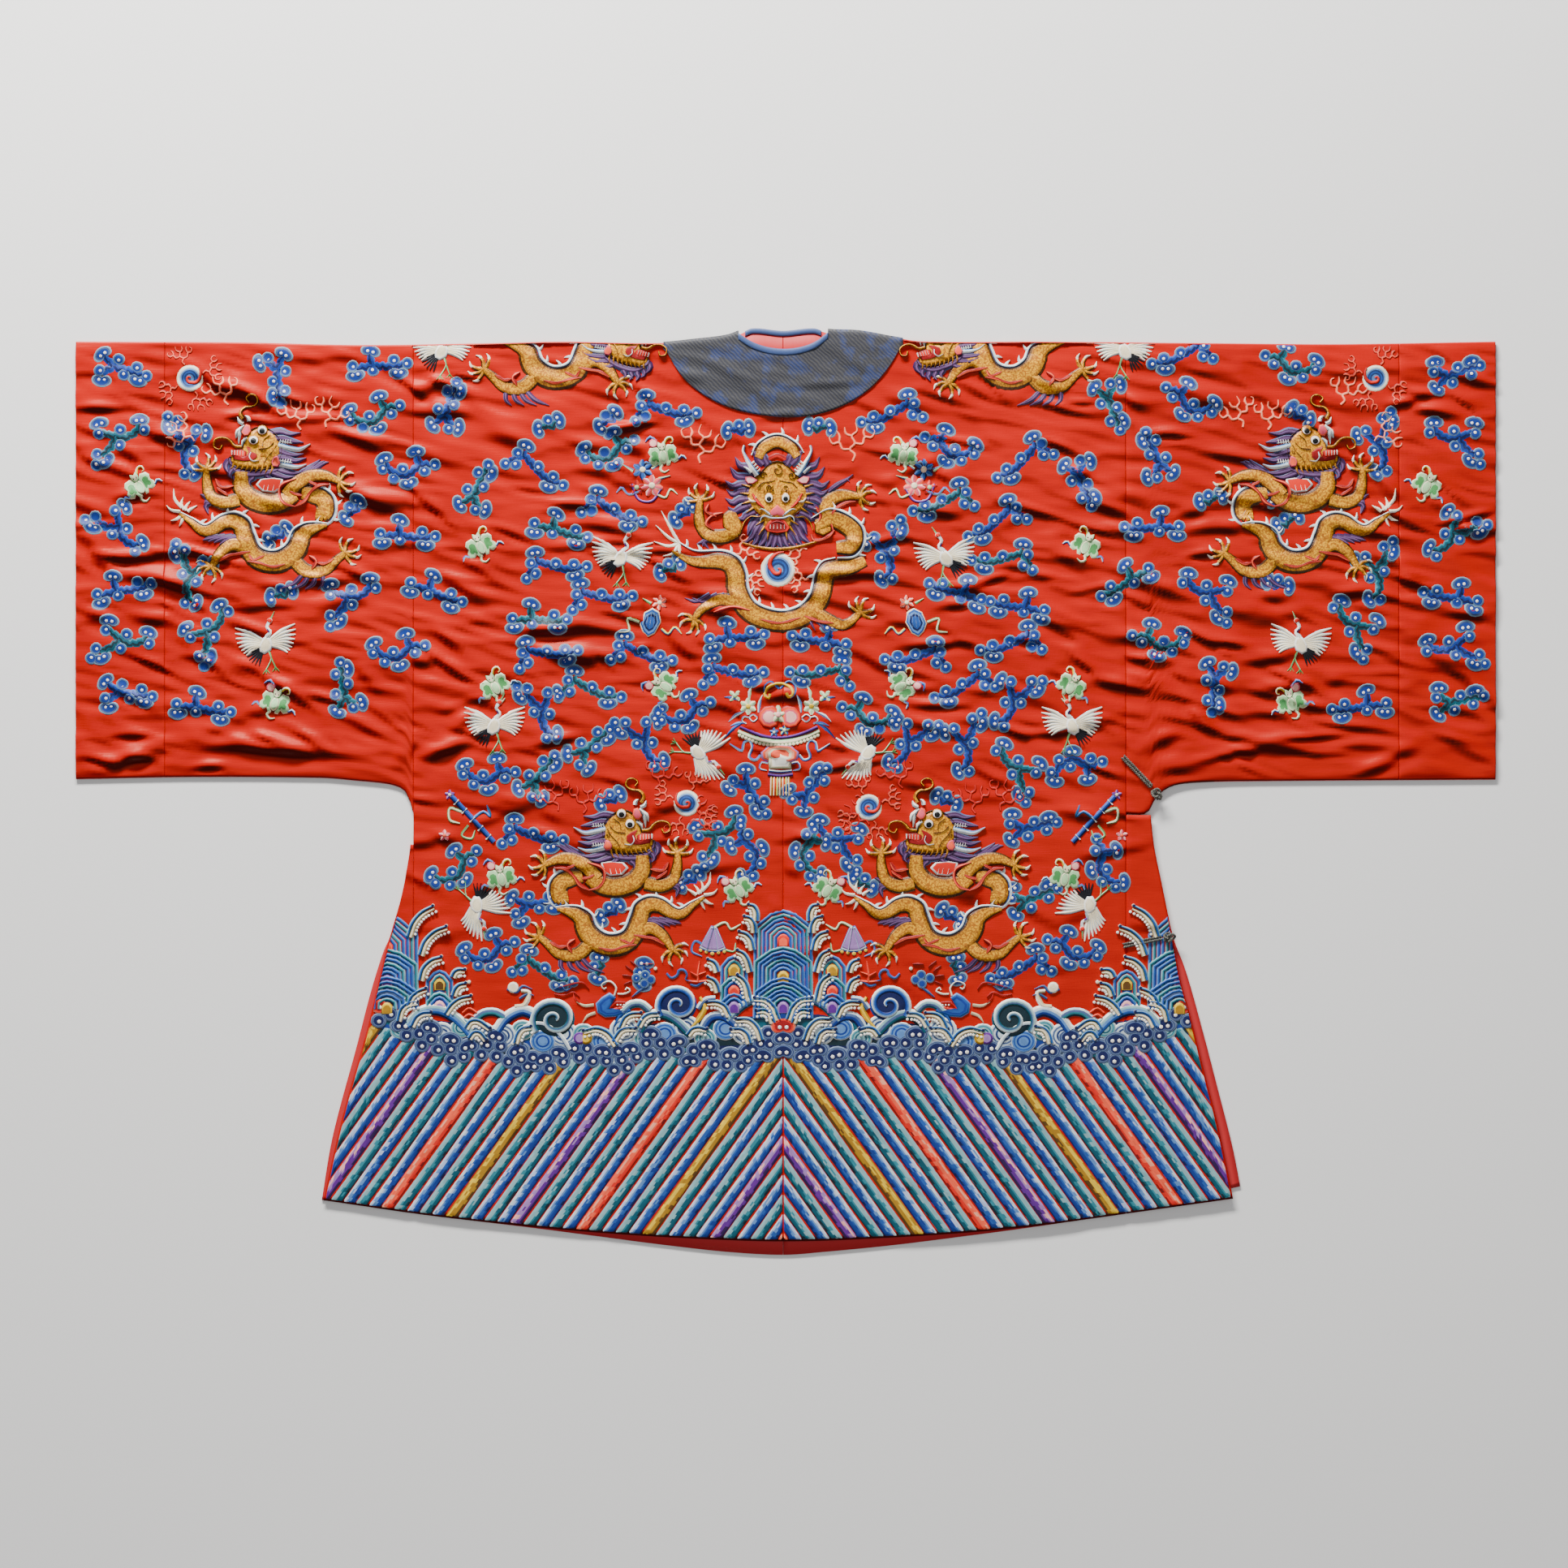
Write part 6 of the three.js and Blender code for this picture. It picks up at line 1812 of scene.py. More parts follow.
# %% The coiled dragon's head
def coiled_head(work):
    """A head looking up and to the right, with its horns, mane, beard and whiskers."""
    work.lift = 1.2
    locks(work, [coiled_chart(*row) for row in (
        ((68, 38), (60, 37), (54, 39), (46, 38)), ((64, 42), (58, 42), (52, 44), (44, 45)),
        ((63, 50), (56, 53), (50, 54), (44, 53)), ((62, 56), (56, 56), (50, 58), (42, 56)),
        ((64, 64), (56, 66), (50, 67), (44, 66)), ((68, 66), (60, 69), (56, 70), (50, 69)),
        ((74, 66), (70, 69), (68, 71), (64, 71)), ((80, 66), (80, 70), (83, 73), (82, 76)),
        ((85, 66), (86, 70), (88, 72), (87, 76)), ((90, 65), (91, 69), (93, 71), (92, 75)),
        ((94, 62), (96, 66), (97, 68), (95, 71)), ((96, 58), (99, 60), (99, 64), (97, 67)))], 9)
    work.band(coiled_chart((62, 64), (70, 67), (79, 68), (88, 67), (95, 62), (97, 56)),
              [6, 10, 11, 11, 9, 4], MANE, 1.3)
    for spine, bars in (([(62, 47), (54, 49), (47, 50), (39, 46)], 44),
                        ([(62, 60), (55, 62), (48, 62.5), (42, 60.5)], 58)):
        work.band(coiled_chart(*spine), [9, 7.5, 5, 1], ICE, 2.0)
        work.band(coiled_chart((61, bars), (52, bars + 1.6)), [2.6, 1.4], FROST, 1.8)
        for k in range(5):
            work.band(coiled_chart((53.5 + k * 1.8, bars + 1.8), (53 + k * 1.8, bars - 1)), 1.9, WHITE,
                      2.1, step=2)
    for k, x in enumerate((66, 69.5, 73, 76.5, 80, 83.5, 87, 90.5, 94)):
        work.band(coiled_chart((x, 61.5 - 0.2 * k), (x + 0.4, 65 - 0.3 * k), (x + 2, 68 - 0.5 * k)),
                  [6, 4.5, 0.8], BRIGHT_GOLD, 1.9, step=3, gold=True)
    work.lift = 1.8
    skull = coiled_chart((66, 37), (71, 34.5), (77, 34), (82, 36.5), (85, 41), (87, 46), (88, 51),
                         (92, 55), (97, 55.5),
                         (97.5, 59), (93, 62.5), (85, 64), (77, 64.5), (69, 63.5), (63, 60.5), (60, 54),
                         (60, 46), (62, 41))
    work.bloom(skull, ("amber", "gold", "gold", "gold"), 1.3, core=0.3, gold=True)
    work.band(np.vstack([skull, skull[:1]]), 1.5, BRONZE, 1.4, gold=True)
    work.lift = 3.0
    work.bloom(coiled_chart((62, 54.5), (65, 55.5), (67, 59), (66, 62.5), (62, 63), (60, 60)),
               ("crimson", "rose", "coral"), 2.0)
    scroll(work, *coiled_chart((63.5, 51.5))[0], 3)
    work.bloom(coiled_chart((85, 47), (80, 49), (76.5, 52), (76.5, 56), (80, 58.5), (88, 59), (95, 57.5),
                            (95.5, 55),
                            (90, 56), (85, 55), (83, 51)), ("brick", "crimson", "crimson"), 1.1,
               middle=coiled_chart((82, 55))[0], core=0.6)
    work.bloom(coiled_chart((84, 51.5), (88, 50), (95, 50.5), (95.5, 54.5), (88, 56.4), (84, 55.5)),
               ("brick", "crimson", "scarlet"), 0.8, core=0.4)
    work.lift = 4.1
    work.band(coiled_chart((81.5, 52), (82.4, 55.5), (80, 58.4), (75.5, 58)), [2.5, 5, 4, 1], FROST, 1.2,
              step=2)
    start, end = coiled_chart((87, 51.4), (95, 50.6))
    teeth(work, start, end, 5, 5.6)
    work.lift = 2.8
    for path in ([(83, 30), (83.5, 27.5), (85.5, 26)], [(87, 31.5), (90, 30), (91, 27)],
                 [(88, 35), (91, 37), (92.5, 42)],
                 [(84, 42), (87, 44), (88, 48)], [(86, 33), (89.5, 36), (90, 41), (90.5, 46)]):
        work.band(coiled_chart(*path), [5, 5.5, 1], FROST, 2.2, step=3)
    work.bloom(coiled_chart((82, 32.5), (85, 31.5), (87, 35), (88.5, 38), (86, 41), (83, 40.5), (81, 37)),
               ("crimson", "coral", "rose"), 2.8)
    for x, y in ((73.4, 36.4), (79.4, 43.6)):
        eye(work, *coiled_chart((x, y))[0], 6.2, 5.8)
    for path in ([(68, 40), (72, 43), (73, 48)], [(65, 45), (69, 49), (76, 50)],
                 [(63, 47), (66, 52), (70, 56), (72, 60)]):
        work.band(coiled_chart(*path), 2.2, BRONZE, 1.8, gold=True)
    for path in ([(87, 28), (89, 24), (86, 20), (80, 19), (76.5, 16), (77.5, 12), (81.5, 11), (85, 13.5),
                  (83, 16.5)],
                 [(88, 48), (93, 47.5), (96, 44), (101, 41.5), (107, 43), (108, 48), (104, 50),
                  (102, 47)]):
        work.band(coiled_chart(*path), [6, 4.4, 3, 2.6, 2.2, 2], BRIGHT_GOLD, 1.2, step=2.4, gold=True)
    work.lift = 0


# %% Placing the coiled dragons
COILED = [  # name, x and y of the middle, 1 to face right or -1 left, and the pearl
    ("dragon_lower_left", -187, -630, 1, (-114, -543)),
    ("dragon_lower_right", 178, -630, -1, (101, -548)),
    ("dragon_sleeve_left", -619, -177, -1, (-701, -41)),
    ("dragon_sleeve_right", 622, -177, 1, (700, -41)),
]
for name, x, y, face, jewel in COILED:
    coil = Needlework()
    coil.lay(x, y, flip=face)
    fires = ("crimson", "scarlet", "crimson") if "lower" in name else ("coral", "peach", "coral")
    for fire_x, fire_y, turn, side in ((28, 34, -20, 1), (46, 36, 10, 1), (98, 18, 20, 1),
                                       (122, 44, 60, -1)):
        fire(coil, *coiled_chart((fire_x, fire_y))[0], turn, 0.9, fires, side)
    coiled_body(coil)
    coiled_head(coil)
    coil.lay(*jewel, flip=face)
    pearl(coil, 0, 0, 16, -60)
    for turn in (-160, -70, 20, 120):
        way = np.array([math.sin(math.radians(turn)), math.cos(math.radians(turn))])
        fire(coil, *way * 17, turn, 0.6, ("crimson", "coral", "crimson"))
    settle(coil.make(name))

# %% The dragons that run over the shoulders
for name, x, face in (("dragon_shoulder_left", -252, 1), ("dragon_shoulder_right", 252, -1)):
    coil = Needlework()
    coil.lay(x, 40, flip=face)
    coiled_body(coil)
    coil.lay(x + face * 52, -46, size=0.9, flip=face, turn=-18)
    coiled_head(coil)
    settle(coil.make(name))

# %% [markdown]
# ## Cranes, bats and treasures
#
# Between the clouds fly cranes and bats, which stand for long life and good luck, with fans, flutes,
# flowers, castanets and a dish of peaches. Each kind is drawn once about its own middle. The
# scatter tree lays the cranes and bats, and the rest are worked in place.

# %% Cranes and bats
flyers = bpy.data.collections.new("flyers")


def ribbon(work, path, width=4.0, shades=("frost", "sky", "azure")):
    """A waving ribbon that narrows to its end."""
    work.band(path, [width, width, width * 0.8, width, width * 0.4], shades, 1.0, step=3.4)


def crane(name, wing_turns):
    """A crane seen from above, with wings spread to the given angles."""
    work = Needlework()
    for side, (first, last) in wing_turns:
        for k in range(8):
            angle = math.radians(first + (last - first) * k / 7)
            way = np.array([side * math.sin(angle), math.cos(angle)])
            reach = 37 - 2.4 * k
            root = np.array([side * (3 + k * 0.5), -k * 0.9])
            work.band([root, root + way * reach * 0.55 + (0, 2), root + way * reach], [4, 5.2, 1.6],
                      ("white", "cream", "frost"), 1.0, step=6)
    for k in range(7):
        angle = math.radians(196 + k * 12)
        way = np.array([math.sin(angle), math.cos(angle)])
        work.band([(-4, -8), way * 13 + (-4, -8), way * 22 + (-4, -8)], [4, 4, 1.2], ("black", "ink"),
                  1.0, step=7)
    work.bloom([(0, 6), (6, 3), (8, -4), (5, -12), (-3, -16), (-9, -13), (-9, -5), (-5, 2)],
               ("frost", "white", "cream"), 1.6)
    for foot in ((-2, -34), (9, -32)):
        work.band([(2, -11), (5, -21), foot], [2.4, 1.8, 1.8], LEAF, 1.0, step=5)
        for toe in (-4, 0, 4):
            work.band([foot, (foot[0] + toe, foot[1] - 5)], [1.6, 1], ("leaf",), 0.9, step=4)
    work.band([(1, 4), (6, 10), (2, 16), (5, 22)], [6, 4.4, 3.6, 4.4], ("frost", "white"), 1.8, step=3)
    work.band([(5, 10), (3, 14)], 3, ("violet", "navy"), 2.1, step=3)
    work.bloom(circle(6, 23.5, 3.2, 8), ("white", "scarlet"), 2.0)
    work.band([(7, 25), (12, 34)], [2.6, 0.8], LEAF, 1.4, step=4)
    work.make(name, flyers)


def bat(name, fruit):
    """A pale green bat with rounded, folded wings, ribbons, and perhaps a peach in its mouth."""
    work = Needlework()
    for side in (1, -1):
        ribbon(work, [(side * 13, -3), (side * 17, -8), (side * 22, -5), (side * 26, -10)], 3.4)
        work.bloom([(side * x, y) for x, y in ((2, 6), (7, 11), (14, 10), (17, 5), (15, 0), (18, -4),
                                               (17, -10),
                    (12, -12), (8, -9), (6, -14), (2, -14), (2, -4))], ("cream", "mint", "mint", "leaf"),
                   1.3, middle=(side * 10, -1), core=0.25)
        scroll(work, side * 12, 5, 4.4, 90, side, ("moss",), False)
        scroll(work, side * 12.5, -6, 3.6, 90, side, ("moss",), False)
    work.bloom(circle(0, -3, 5.4, 12, 1.7), ("moss", "cream", "mint", "mint"), 2.0)
    work.bloom([(0, 13), (4, 16), (5.4, 11), (4, 6), (0, 3), (-4, 6), (-5.4, 11), (-4, 16)],
               ("moss", "mint", "cream"), 2.3)
    work.band([(4, 13), (8, 18), (13, 18), (14, 13), (11, 12)], [3, 3.4, 2.6, 1.4], ("cream", "lemon"),
              1.4, step=2.4)
    work.band([(-3, -11), (-6, -17), (-2, -21), (4, -19)], [3.4, 3, 1.2], ("cream", "mint"), 1.3, step=3)
    for side in (1, -1):
        work.dot(side * 2, 9, 1.0, ("black",), 2.8)
    if fruit:
        work.bloom(circle(-9, 15, 6, 9), ("crimson", "rose", "blush"), 1.8)
        work.band([(-5, 17), (-12, 23), (-18, 18)], [3, 4, 1], ("azure", "sky"), 1.7, step=4)
    work.make(name, flyers)


crane("flyer_0", [(1, (62, 118)), (-1, (62, 118))])
crane("flyer_1", [(1, (20, 66)), (-1, (50, 104))])
bat("flyer_2", False)
bat("flyer_3", True)
FLYERS = [  # x, y, which flyer, turn; each is turned over for the right half
    (-611, -351, 0, 4), (-341, -447, 0, 0), (-191, -249, 0, -6), (-96, -486, 1, -112),
    (-360, -668, 1, -150),
    (-403, -4, 0, 0), (-761, -167, 2, 30), (-358, -238, 2, 24), (-142, -131, 3, 10), (-341, -404, 2, 28),
    (-141, -404, 3, 60), (-600, -423, 3, -14), (-333, -630, 3, 12), (-53, -644, 3, 30),
]
flyer_rows = [(side * x, y, 0.2, kind, side * turn, side) for side in (1, -1) for x, y, kind,
              turn in FLYERS]
scatter("flyers", flyer_rows, flyers)

# %% [markdown]
# ### Treasures
#
# A dish of peaches with flowers and tassels stands below the front-facing dragon, on the middle of
# the back. Four small treasures lie among the clouds, each with ribbons, and are turned over for
# the other side.

# %% The dish of peaches
PEACH_MIDDLE, PEACH_SQUARE = (77.5, 68), 1.2245


def peach_chart(*rows):
    """Places on the square grid laid over the dish, in drafting millimetres."""
    return charted(rows, PEACH_MIDDLE, PEACH_SQUARE)


def flower(work, x, y, radius, petals, shades, heart, turn=0):
    """Petals round a heart."""
    for k in range(petals):
        angle = math.radians(turn + 360 * k / petals)
        way = np.array([math.sin(angle), math.cos(angle)])
        work.band([(x, y) + way * radius * 0.2, (x, y) + way * radius * 0.65, (x, y) + way * radius],
                  [radius * 0.5, radius * 0.8, radius * 0.3], shades, 1.2, step=4)
    work.bloom(circle(x, y, radius * 0.34, 8), heart, 1.8)


treasures = Needlework()
treasures.lay(-4, -464)
for side in (1, -1):
    def half(*rows):
        return peach_chart(*rows) * (side, 1)
    ribbon(treasures, half((96, 86), (101, 91), (107, 88), (104, 78), (107, 72), (112, 74), (114, 82),
                           (120, 79), (126, 75)))
    ribbon(treasures, half((78, 22), (86, 15), (92, 19), (92, 27), (88, 31)), 3.4,
           ("sky", "azure", "navy"))
    ribbon(treasures, half((89, 94), (95, 93), (97, 99), (90, 101)), 3, ("frost", "azure"))
    for start, end, shades in (((112, 44), (127, 54), ("frost", "slate")),
                               ((112, 54), (131, 70), ("navy", "azure")),
                               ((110, 55), (125, 58), ("azure", "sky")),
                               ((98, 45), (94, 28), ("frost", "sky")),
                               ((107, 33), (104, 19), ("frost", "mint")),
                               ((118, 33), (131, 30), ("slate", "azure"))):
        middle = ((start[0] + end[0]) / 2 + 1, (start[1] + end[1]) / 2 - 1)
        treasures.band(half(start, middle, end), [2, 5.5, 1], shades, 1.0, step=4)
    flower(treasures, *half((108, 39))[0], 10, 6, ("cream", "mint", "cream"), ("mustard", "lemon"))
    flower(treasures, *half((121, 29))[0], 8, 4, ("mint", "cream"), LEAF, 45)
    treasures.band(half((99, 50), (103, 47), (107, 50), (103, 54), (99, 51)), 2.4, ("white", "slate"),
                   1.2, step=2.4)
    treasures.band(half((107, 50), (112, 49), (114, 53), (110, 56)), 2.4, ("white", "slate"), 1.2,
                   step=2.4)
    treasures.bloom(half((78, 41), (84, 38), (92, 39), (98, 45), (99, 52), (94, 59), (86, 61), (79, 58)),
                    ("crimson", "scarlet", "coral", "rose", "blush"), 2.0, core=0.25)
treasures.lift = 0.5
flower(treasures, *peach_chart((76, 47))[0], 11, 5, ("mint", "cream", "mint"), ("mauve", "blush"))
flower(treasures, *peach_chart((72, 64))[0], 5.5, 5, ("azure", "sky"), ("lemon", "cream"))
flower(treasures, *peach_chart((82, 62))[0], 6.5, 5, ("azure", "mint"), ("lemon", "cream"))
handle = peach_chart((68, 27), (67, 31), (63, 28), (66, 21), (77, 17), (88, 21), (90, 28), (86, 30),
                     (84, 26))
treasures.band(handle, 4.2, ("gold", "lemon", "amber"), 1.3, step=2.6)
TRAY = [(39, 59), (50, 64), (62, 68), (76, 69.5), (90, 68), (103, 64), (114, 59)]
tray = smooth_line(peach_chart(*TRAY), 4)
treasures.band(beside(tray, 5.5), [5, 8, 8, 5], CELADON, 1.0, straight=True)
for spot in beside(tray, 9)[1:-1]:
    treasures.dot(*spot, 2.4, ("mint", "cream"))
treasures.band(tray, 4.4, ("violet", "plum"), 1.4, straight=True)
bowl = peach_chart((66, 77), (78, 76), (89, 77), (96, 83), (95, 90), (88, 93), (78, 92), (67, 93),
                   (60, 90), (59, 83))
treasures.bloom(bowl, ("mauve", "coral", "peach", "cream", "coral"), 1.6, core=0.25)
treasures.bloom(peach_chart((66, 88), (78, 84), (90, 88), (89, 99), (67, 99)), ("mint", "cream", "white"),
                1.8)
treasures.band(peach_chart((67, 101), (78, 102), (89, 101)), 4, ("frost", "azure"), 1.6)
treasures.band(peach_chart((66, 104.5), (78, 106), (90, 104.5)), 5, ("plum", "violet", "plum"), 1.6)
TASSELS = [("mustard", "cream"), ("coral", "cream"), ("mint", "lemon")]
for k in range(7):
    x = 69.5 + k * 2.8
    treasures.band(peach_chart((x, 107), (x + (x - 78) * 0.05, 125)), 3.2, TASSELS[k % 3], 1.1, step=6)

# %% Small treasures
def lotus(work):
    """A lotus and two other flowers with a ribbon."""
    ribbon(work, [(-6, -10), (-20, -14), (-28, -6), (-34, -12)], 3.6)
    ribbon(work, [(10, -12), (24, -18), (30, -8), (38, -14)], 3.6, CELADON)
    ribbon(work, [(-16, -2), (-8, -20), (8, -22), (20, -6)], 4, ("mauve", "violet", "plum"))
    flower(work, -3, 15, 12, 6, ("sky", "azure", "navy"), ("coral", "cream"))
    flower(work, 8, -4, 13, 7, ("coral", "rose", "blush"), ("lemon", "cream"))
    flower(work, -10, -6, 9, 5, CRIMSON, ("cream", "mint"))
    for start, end in (((-14, 14), (-28, 22)), ((8, 16), (20, 24)), ((16, 4), (30, 8))):
        work.band([start, end], [5, 1], ("mint", "slate"), 0.9, step=4)


def fan(work):
    """A fan with a flower and ribbons."""
    ribbon(work, [(-12, -2), (-26, 2), (-24, -12), (-36, -14)], 3.8, CELADON)
    ribbon(work, [(14, -10), (22, -16), (30, -8), (38, -16)], 3.8, ("lemon", "mint", "azure"))
    work.bloom([(-12, -4), (-6, 10), (4, 15), (12, 10), (14, -2), (6, -16), (-2, -20), (-8, -14)],
                    ("cream", "azure", "sky", "navy", "azure"), 1.6, core=0.2)
    for k in range(5):
        work.band([(-8 + k * 4.2, -8), (-5 + k * 3.8, 9)], [1.6, 2.6], ("frost", "azure"), 1.9, step=5)
    flower(work, 12, 21, 9, 6, ("crimson", "coral", "blush"), ("lemon", "cream"))
    work.band([(2, 20), (-8, 26)], [5, 1], LEAF, 0.9, step=4)


def flute(work):
    """A flute with ribbons."""
    ribbon(work, [(-8, 10), (-22, 14), (-22, 0), (-10, -4)], 4.2, CELADON)
    ribbon(work, [(6, 2), (18, 10), (26, 4), (22, 18)], 4.2, ("sky", "azure", "teal"))
    ribbon(work, [(0, -6), (-8, -18), (4, -22), (8, -12)], 3.6, ("mint", "leaf"))
    work.band([(-20, 28), (30, -26)], 7, ("azure", "royal", "navy"), 1.8, step=6)
    for k in range(5):
        x = -14 + k * 9.5
        work.band([(x - 3, -1.08 * x + 3), (x + 3, -1.08 * x + 9)], 2, WHITE, 2.2, step=3)
    flower(work, -22, 30, 6, 5, ("violet", "mauve"), ("lemon", "cream"))
    flower(work, -28, -18, 7, 5, ("rose", "blush"), ("crimson", "coral"))


def castanets(work):
    """A pair of castanets with ribbons."""
    ribbon(work, [(0, 12), (14, 18), (20, 10), (32, 16)], 3.8, CELADON)
    ribbon(work, [(-10, -10), (-22, -4), (-26, -16), (-14, -22)], 3.6, ("sky", "azure"))
    ribbon(work, [(12, -14), (24, -16), (26, -6)], 3.2, ("mint", "leaf"))
    for lean in (-16, 10):
        a = math.radians(lean)
        way, across = np.array([math.sin(a), -math.cos(a)]), np.array([math.cos(a), math.sin(a)])
        top = np.array([0, 14.0])
        work.bloom([top, top + across * 3, top + way * 30 + across * 10, top + way * 32,
                         top + way * 30 - across * 10, top - across * 3],
                        ("azure", "frost", "lilac", "mauve", "mauve", "mauve"), 1.4)
        work.band([top, top + way * 16, top + way * 31], 1.8, ("frost", "azure"), 2.6, step=4)
        for edge in (-7, 0, 7):
            work.dot(*(top + way * 32 + across * edge), 2.4, ("azure", "lemon"))


TREASURES = [(lotus, -163, -164), (fan, -158, -327), (flute, -372, -563),
             (castanets, -82, -702)]  # kind, x, y
for side in (1, -1):
    for draw, x, y in TREASURES:
        treasures.lay(side * x, y, flip=side, lift=0.2)
        draw(treasures)
settle(treasures.make("treasures"))

# %% [markdown]
# ## Toggles
#
# Two closures at the right side are knotted from dark round cord: a doubled strap with a ball button
# at its end, a trefoil knot. A cord is a row of strands that lean over each other, so a Geometry
# Nodes tree sets one small bead at each step along a path and leans it left and right by turns.

# %% The cord tree
CORD_RADIUS = 1.6


def cord_tree():
    """Lays leaning beads along every line of a mesh."""
    tree = new_tree("cord", "Beads", Path="Geometry", Step="Float", Lean="Float", Strand="Object",
                    Cord="Material")
    make = tree.nodes.new
    given, done = make("NodeGroupInput"), make("NodeGroupOutput")
    line = make("GeometryNodeMeshToCurve")
    even = make("GeometryNodeResampleCurve")
    even.mode = "LENGTH"
    strand = make("GeometryNodeObjectInfo")
    strand.inputs["As Instance"].default_value = True
    ahead = make("FunctionNodeAlignRotationToVector")
    ahead.axis = "X"
    tangent = make("GeometryNodeInputTangent")
    number = make("GeometryNodeInputIndex")
    parity = make("ShaderNodeMath")
    parity.operation = "PINGPONG"
    parity.inputs[1].default_value = 1
    swing = make("ShaderNodeMapRange")
    swing.inputs["To Min"].default_value = -1
    angle = make("ShaderNodeMath")
    angle.operation = "MULTIPLY"
    lean = make("FunctionNodeAxisAngleToRotation")
    lean.inputs["Axis"].default_value = (0, 0, 1)
    both = make("FunctionNodeRotateRotation")
    both.rotation_space = "LOCAL"
    place = make("GeometryNodeInstanceOnPoints")
    real = make("GeometryNodeRealizeInstances")
    dress = make("GeometryNodeSetMaterial")
    return wire(
        tree,
        (given, "Path", line, "Mesh"),
        (line, "Curve", even, "Curve"),
        (given, "Step", even, "Length"),
        (given, "Strand", strand, "Object"),
        (tangent, "Tangent", ahead, "Vector"),
        (number, "Index", parity, 0),
        (parity, "Value", swing, "Value"),
        (swing, "Result", angle, 0),
        (given, "Lean", angle, 1),
        (angle, "Value", lean, "Angle"),
        (ahead, "Rotation", both, "Rotation"),
        (lean, "Rotation", both, "Rotate By"),
        (even, "Curve", place, "Points"),
        (strand, "Geometry", place, "Instance"),
        (both, "Rotation", place, "Rotation"),
        (place, "Instances", real, "Geometry"),
        (real, "Geometry", dress, "Geometry"),
        (given, "Cord", dress, "Material"),
        (dress, "Geometry", done, "Beads"),
    )


cord_nodes = cord_tree()
cord_silk = new_finish("toggle cord", "26261f", 0.6, Sheen_Weight=0.3)
tint(cord_silk, stretched_noise(cord_silk, 900, (1, 1, 1), 2).outputs["Fac"], "23241d", "8b8670", 0.52,
     0.66)

# %% One bead of a cord
def spot_order(spot):
    """One number for a corner of the bead, from its place."""
    return spot.co.x + 3.1 * spot.co.y + 9.7 * spot.co.z


bead_mesh = bpy.data.meshes.new("strand")
shaping = bmesh.new()
bmesh.ops.create_uvsphere(shaping, u_segments=8, v_segments=5, radius=CORD_RADIUS / 1000)
bmesh.ops.scale(shaping, vec=(1.5, 0.78, 1), verts=shaping.verts)
# A new sphere lists its faces differently in each run, so they are put in a fixed order
shaping.verts.sort(key=spot_order)
shaping.faces.sort(key=lambda face: sum(spot_order(spot) for spot in face.verts))
shaping.to_mesh(bead_mesh)
shaping.free()
bead_mesh.shade_smooth()
bead = new_object("strand", bead_mesh)

# %% Straps and ball buttons
BEAD_STEP, BEAD_LEAN = 0.00135, 0.62  # metres and radians
BALL_LOBES, BALL_REACH, BALL_SWING, BALL_FLAT = 3, 4.6, 2.3, 0.72
TOGGLES = [  # name, where the strap starts, where it ends, then the button: x, y and its turn in degrees
    ("upper", (402, -489), (434, -522.5), (441, -532, -54)),
    ("lower", (403, -711), (446, -702), (455.5, -701, 8)),
]


def cord(name, lines, cad_node):
    """One toggle piece from lines of points in drafting millimetres."""
    points = np.concatenate(lines)
    starts = np.cumsum([0] + [len(line) for line in lines])
    edges = [(i, i + 1) for start, end in zip(starts[:-1], starts[1:]) for i in range(start, end - 1)]
    mesh = bpy.data.meshes.new(name)
    mesh.from_pydata(to_frame(points).tolist(), edges, [])
    made = use_tree(new_object(name, mesh), cord_nodes, Step=BEAD_STEP, Lean=BEAD_LEAN, Strand=bead,
                    Cord=cord_silk)
    made.data.shade_smooth()
    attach(made, "root")
    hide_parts(cad_node)
    print(name, len(made.data.polygons), "faces")


for name, start, end, (knot_x, knot_y, turn) in TOGGLES:
    lines = []
    way = (np.array(end) - start) / math.dist(start, end)
    for offset in (CORD_RADIUS * 1.05, -CORD_RADIUS * 1.05):
        flat = np.linspace(start, end, 24) + np.array([-way[1], way[0]]) * offset
        lift = back_height(*flat.T).max() * 0.3 + back_height(*flat.T) * 0.7
        lines.append(np.column_stack([flat, lift + CLOTH / 2 + CORD_RADIUS]))
    cord(f"strap_{name}", lines, f"toggle_strap_{name}")
    t = np.linspace(0, 2 * math.pi, 90)
    ring = BALL_REACH + BALL_SWING * np.cos(BALL_LOBES * t)
    long, wide = ring * np.cos(2 * t), ring * np.sin(2 * t) * BALL_FLAT
    c, s = math.cos(math.radians(turn)), math.sin(math.radians(turn))
    rest = back_height(knot_x, knot_y).item() + CLOTH / 2 + 4.3
    ball = np.column_stack([knot_x + long * c - wide * s, knot_y + long * s + wide * c,
                            rest + 2.5 * np.sin(BALL_LOBES * t)])
    cord(f"button_{name}", [ball], f"toggle_knot_{name}")
bpy.data.objects.remove(bead)

# %% [markdown]
# ## Floor, light and camera
#
# The photograph was taken from straight above, so the camera looks down the Z axis. A long lens far
# away keeps the robe's edges free of perspective. The key light is large and low at the collar end,
# which is what makes the creases show, and a wide overhead light fills the shadows.

# %% Studio
floor_mesh = bpy.data.meshes.new("floor")
floor_mesh.from_pydata([(-6, -6, 0), (6, -6, 0), (6, 6, 0), (-6, 6, 0)], [], [(0, 1, 2, 3)])
floor = new_object("floor", floor_mesh)
floor_mesh.materials.append(new_finish("pale floor", "f2f0ec", 0.9))


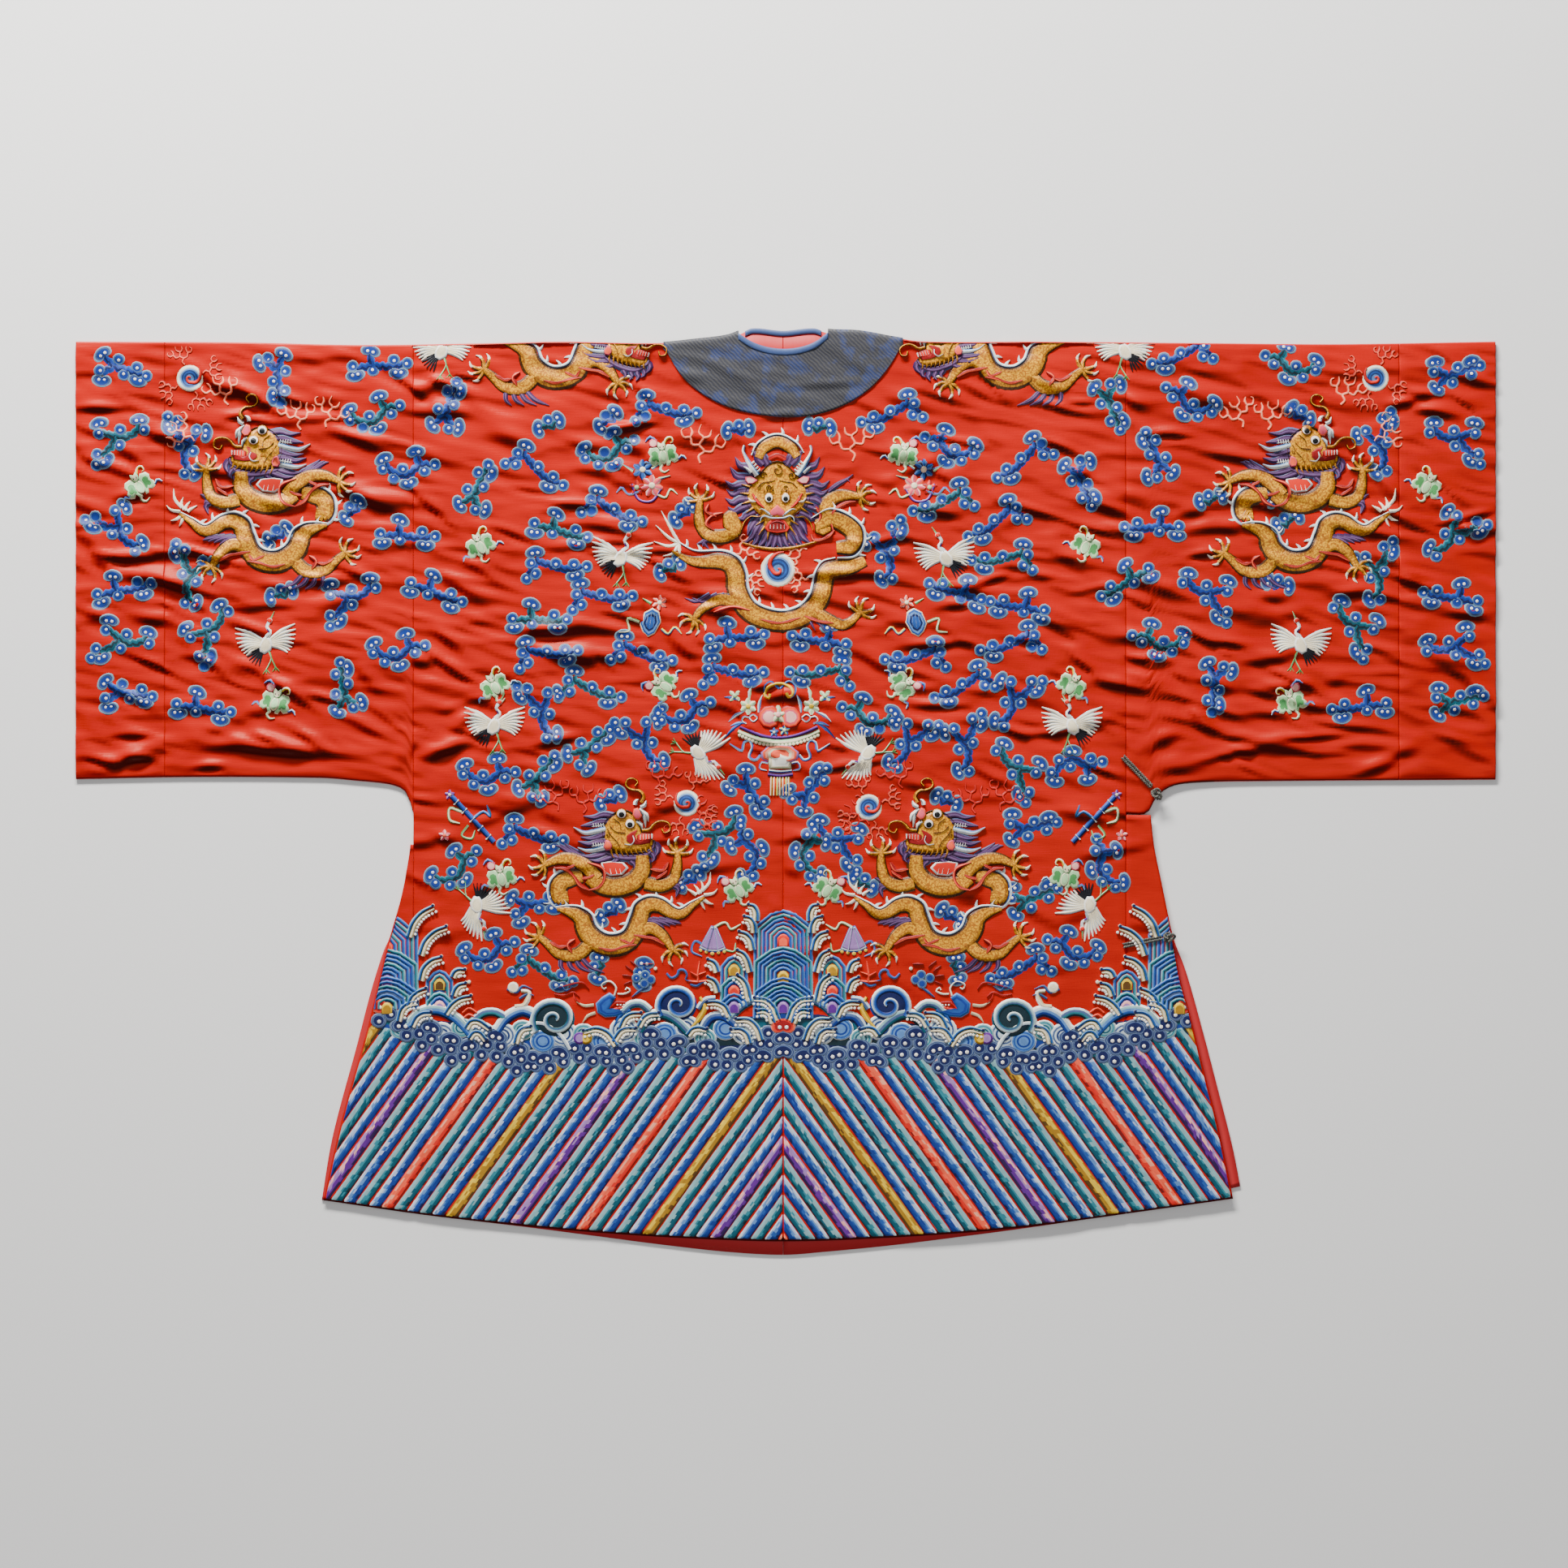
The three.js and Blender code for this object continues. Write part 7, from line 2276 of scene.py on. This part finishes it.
def area_light(name, place, aim, width, height, power):
    """A rectangular lamp that points at a place."""
    light = bpy.data.lights.new(name, "AREA")
    light.shape = "RECTANGLE"
    light.size, light.size_y, light.energy = width, height, power
    lamp = bpy.data.objects.new(name, light)
    lamp.location = place
    lamp.rotation_euler = (Vector(aim) - Vector(place)).to_track_quat("-Z", "Y").to_euler()
    bpy.context.scene.collection.objects.link(lamp)


area_light("key", (-0.8, 3.2, 1.45), (0, 0, 0), 2.0, 0.5, 410)
area_light("fill", (0.3, -0.4, 3.6), (0, 0, 0), 3.2, 3.2, 36)
world = bpy.data.worlds.new("studio")
world.use_nodes = True
world.node_tree.nodes["Background"].inputs["Color"].default_value = (0.9, 0.92, 1, 1)
world.node_tree.nodes["Background"].inputs["Strength"].default_value = 0.25
bpy.context.scene.world = world

LENS, SENSOR = 90, 36
FRAME_WIDTH = 1.8547  # the photograph's width on the table, metres
camera_data = bpy.data.cameras.new("camera")
camera_data.lens, camera_data.sensor_width = LENS, SENSOR
camera = bpy.data.objects.new("camera", camera_data)
camera.location = (-0.002, 0.009, FRAME_WIDTH * LENS / SENSOR)
bpy.context.scene.collection.objects.link(camera)
bpy.context.scene.camera = camera
print("camera", round(camera.location.z, 2), "m above the table")

# %% [markdown]
# ## Pieces on the body
#
# Every piece rides on the part's only body and stands for the CAD nodes that it dresses.

# %% Bodies, replaced nodes and cuts
CUTS = [  # piece, CAD node, width, length, share of that rectangle that the cut fills
    ("cloth_body_left", "body_left", 0.437, 2.140, 1),
    ("cloth_body_right", "body_right", 0.405, 2.090, 1),
    ("cloth_overlap_front", "overlap_front", 0.405, 0.979, 0.82),
    ("cloth_sleeve_left", "sleeve_left", 0.294, 1.034, 1),
    ("cloth_sleeve_right", "sleeve_right", 0.323, 1.036, 1),
    ("cloth_cuff_left", "cuff_band_left", 0.105, 1.032, 1),
    ("cloth_cuff_right", "cuff_band_right", 0.114, 1.034, 1),
    ("cloth_gore_back_left", "gore_back_left", 0.106, 0.436, 0.5),
    ("cloth_gore_front_left", "gore_front_left", 0.108, 0.436, 0.5),
    ("cloth_gore_back_right", "gore_back_right", 0.126, 0.471, 0.57),
    ("cloth_gore_inner_right", "gore_inner_right", 0.113, 0.441, 0.57),
    ("cloth_gore_overlap_right", "gore_overlap_right", 0.135, 0.470, 0.6),
    ("cloth_collar", "collar", 0.283, 0.200, 0.8),
    ("cloth_binding_back", "neck_binding_back", 0.115, 0.0105, 0.8),
    ("cloth_binding_front", "neck_binding_front", 0.092, 0.0105, 0.6),
]
for name, cad_node, width, length, share in CUTS:
    cloth = pieces[name]
    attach(cloth, "root")
    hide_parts(cad_node)
    "brocade" if "collar" in name or "binding" in name else "satin"

for made in stitched:
    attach(made, "root")
for group in (cloud_designs, curl_designs, flyers):
    for design in list(group.objects):
        bpy.data.objects.remove(design)
    bpy.data.collections.remove(group)
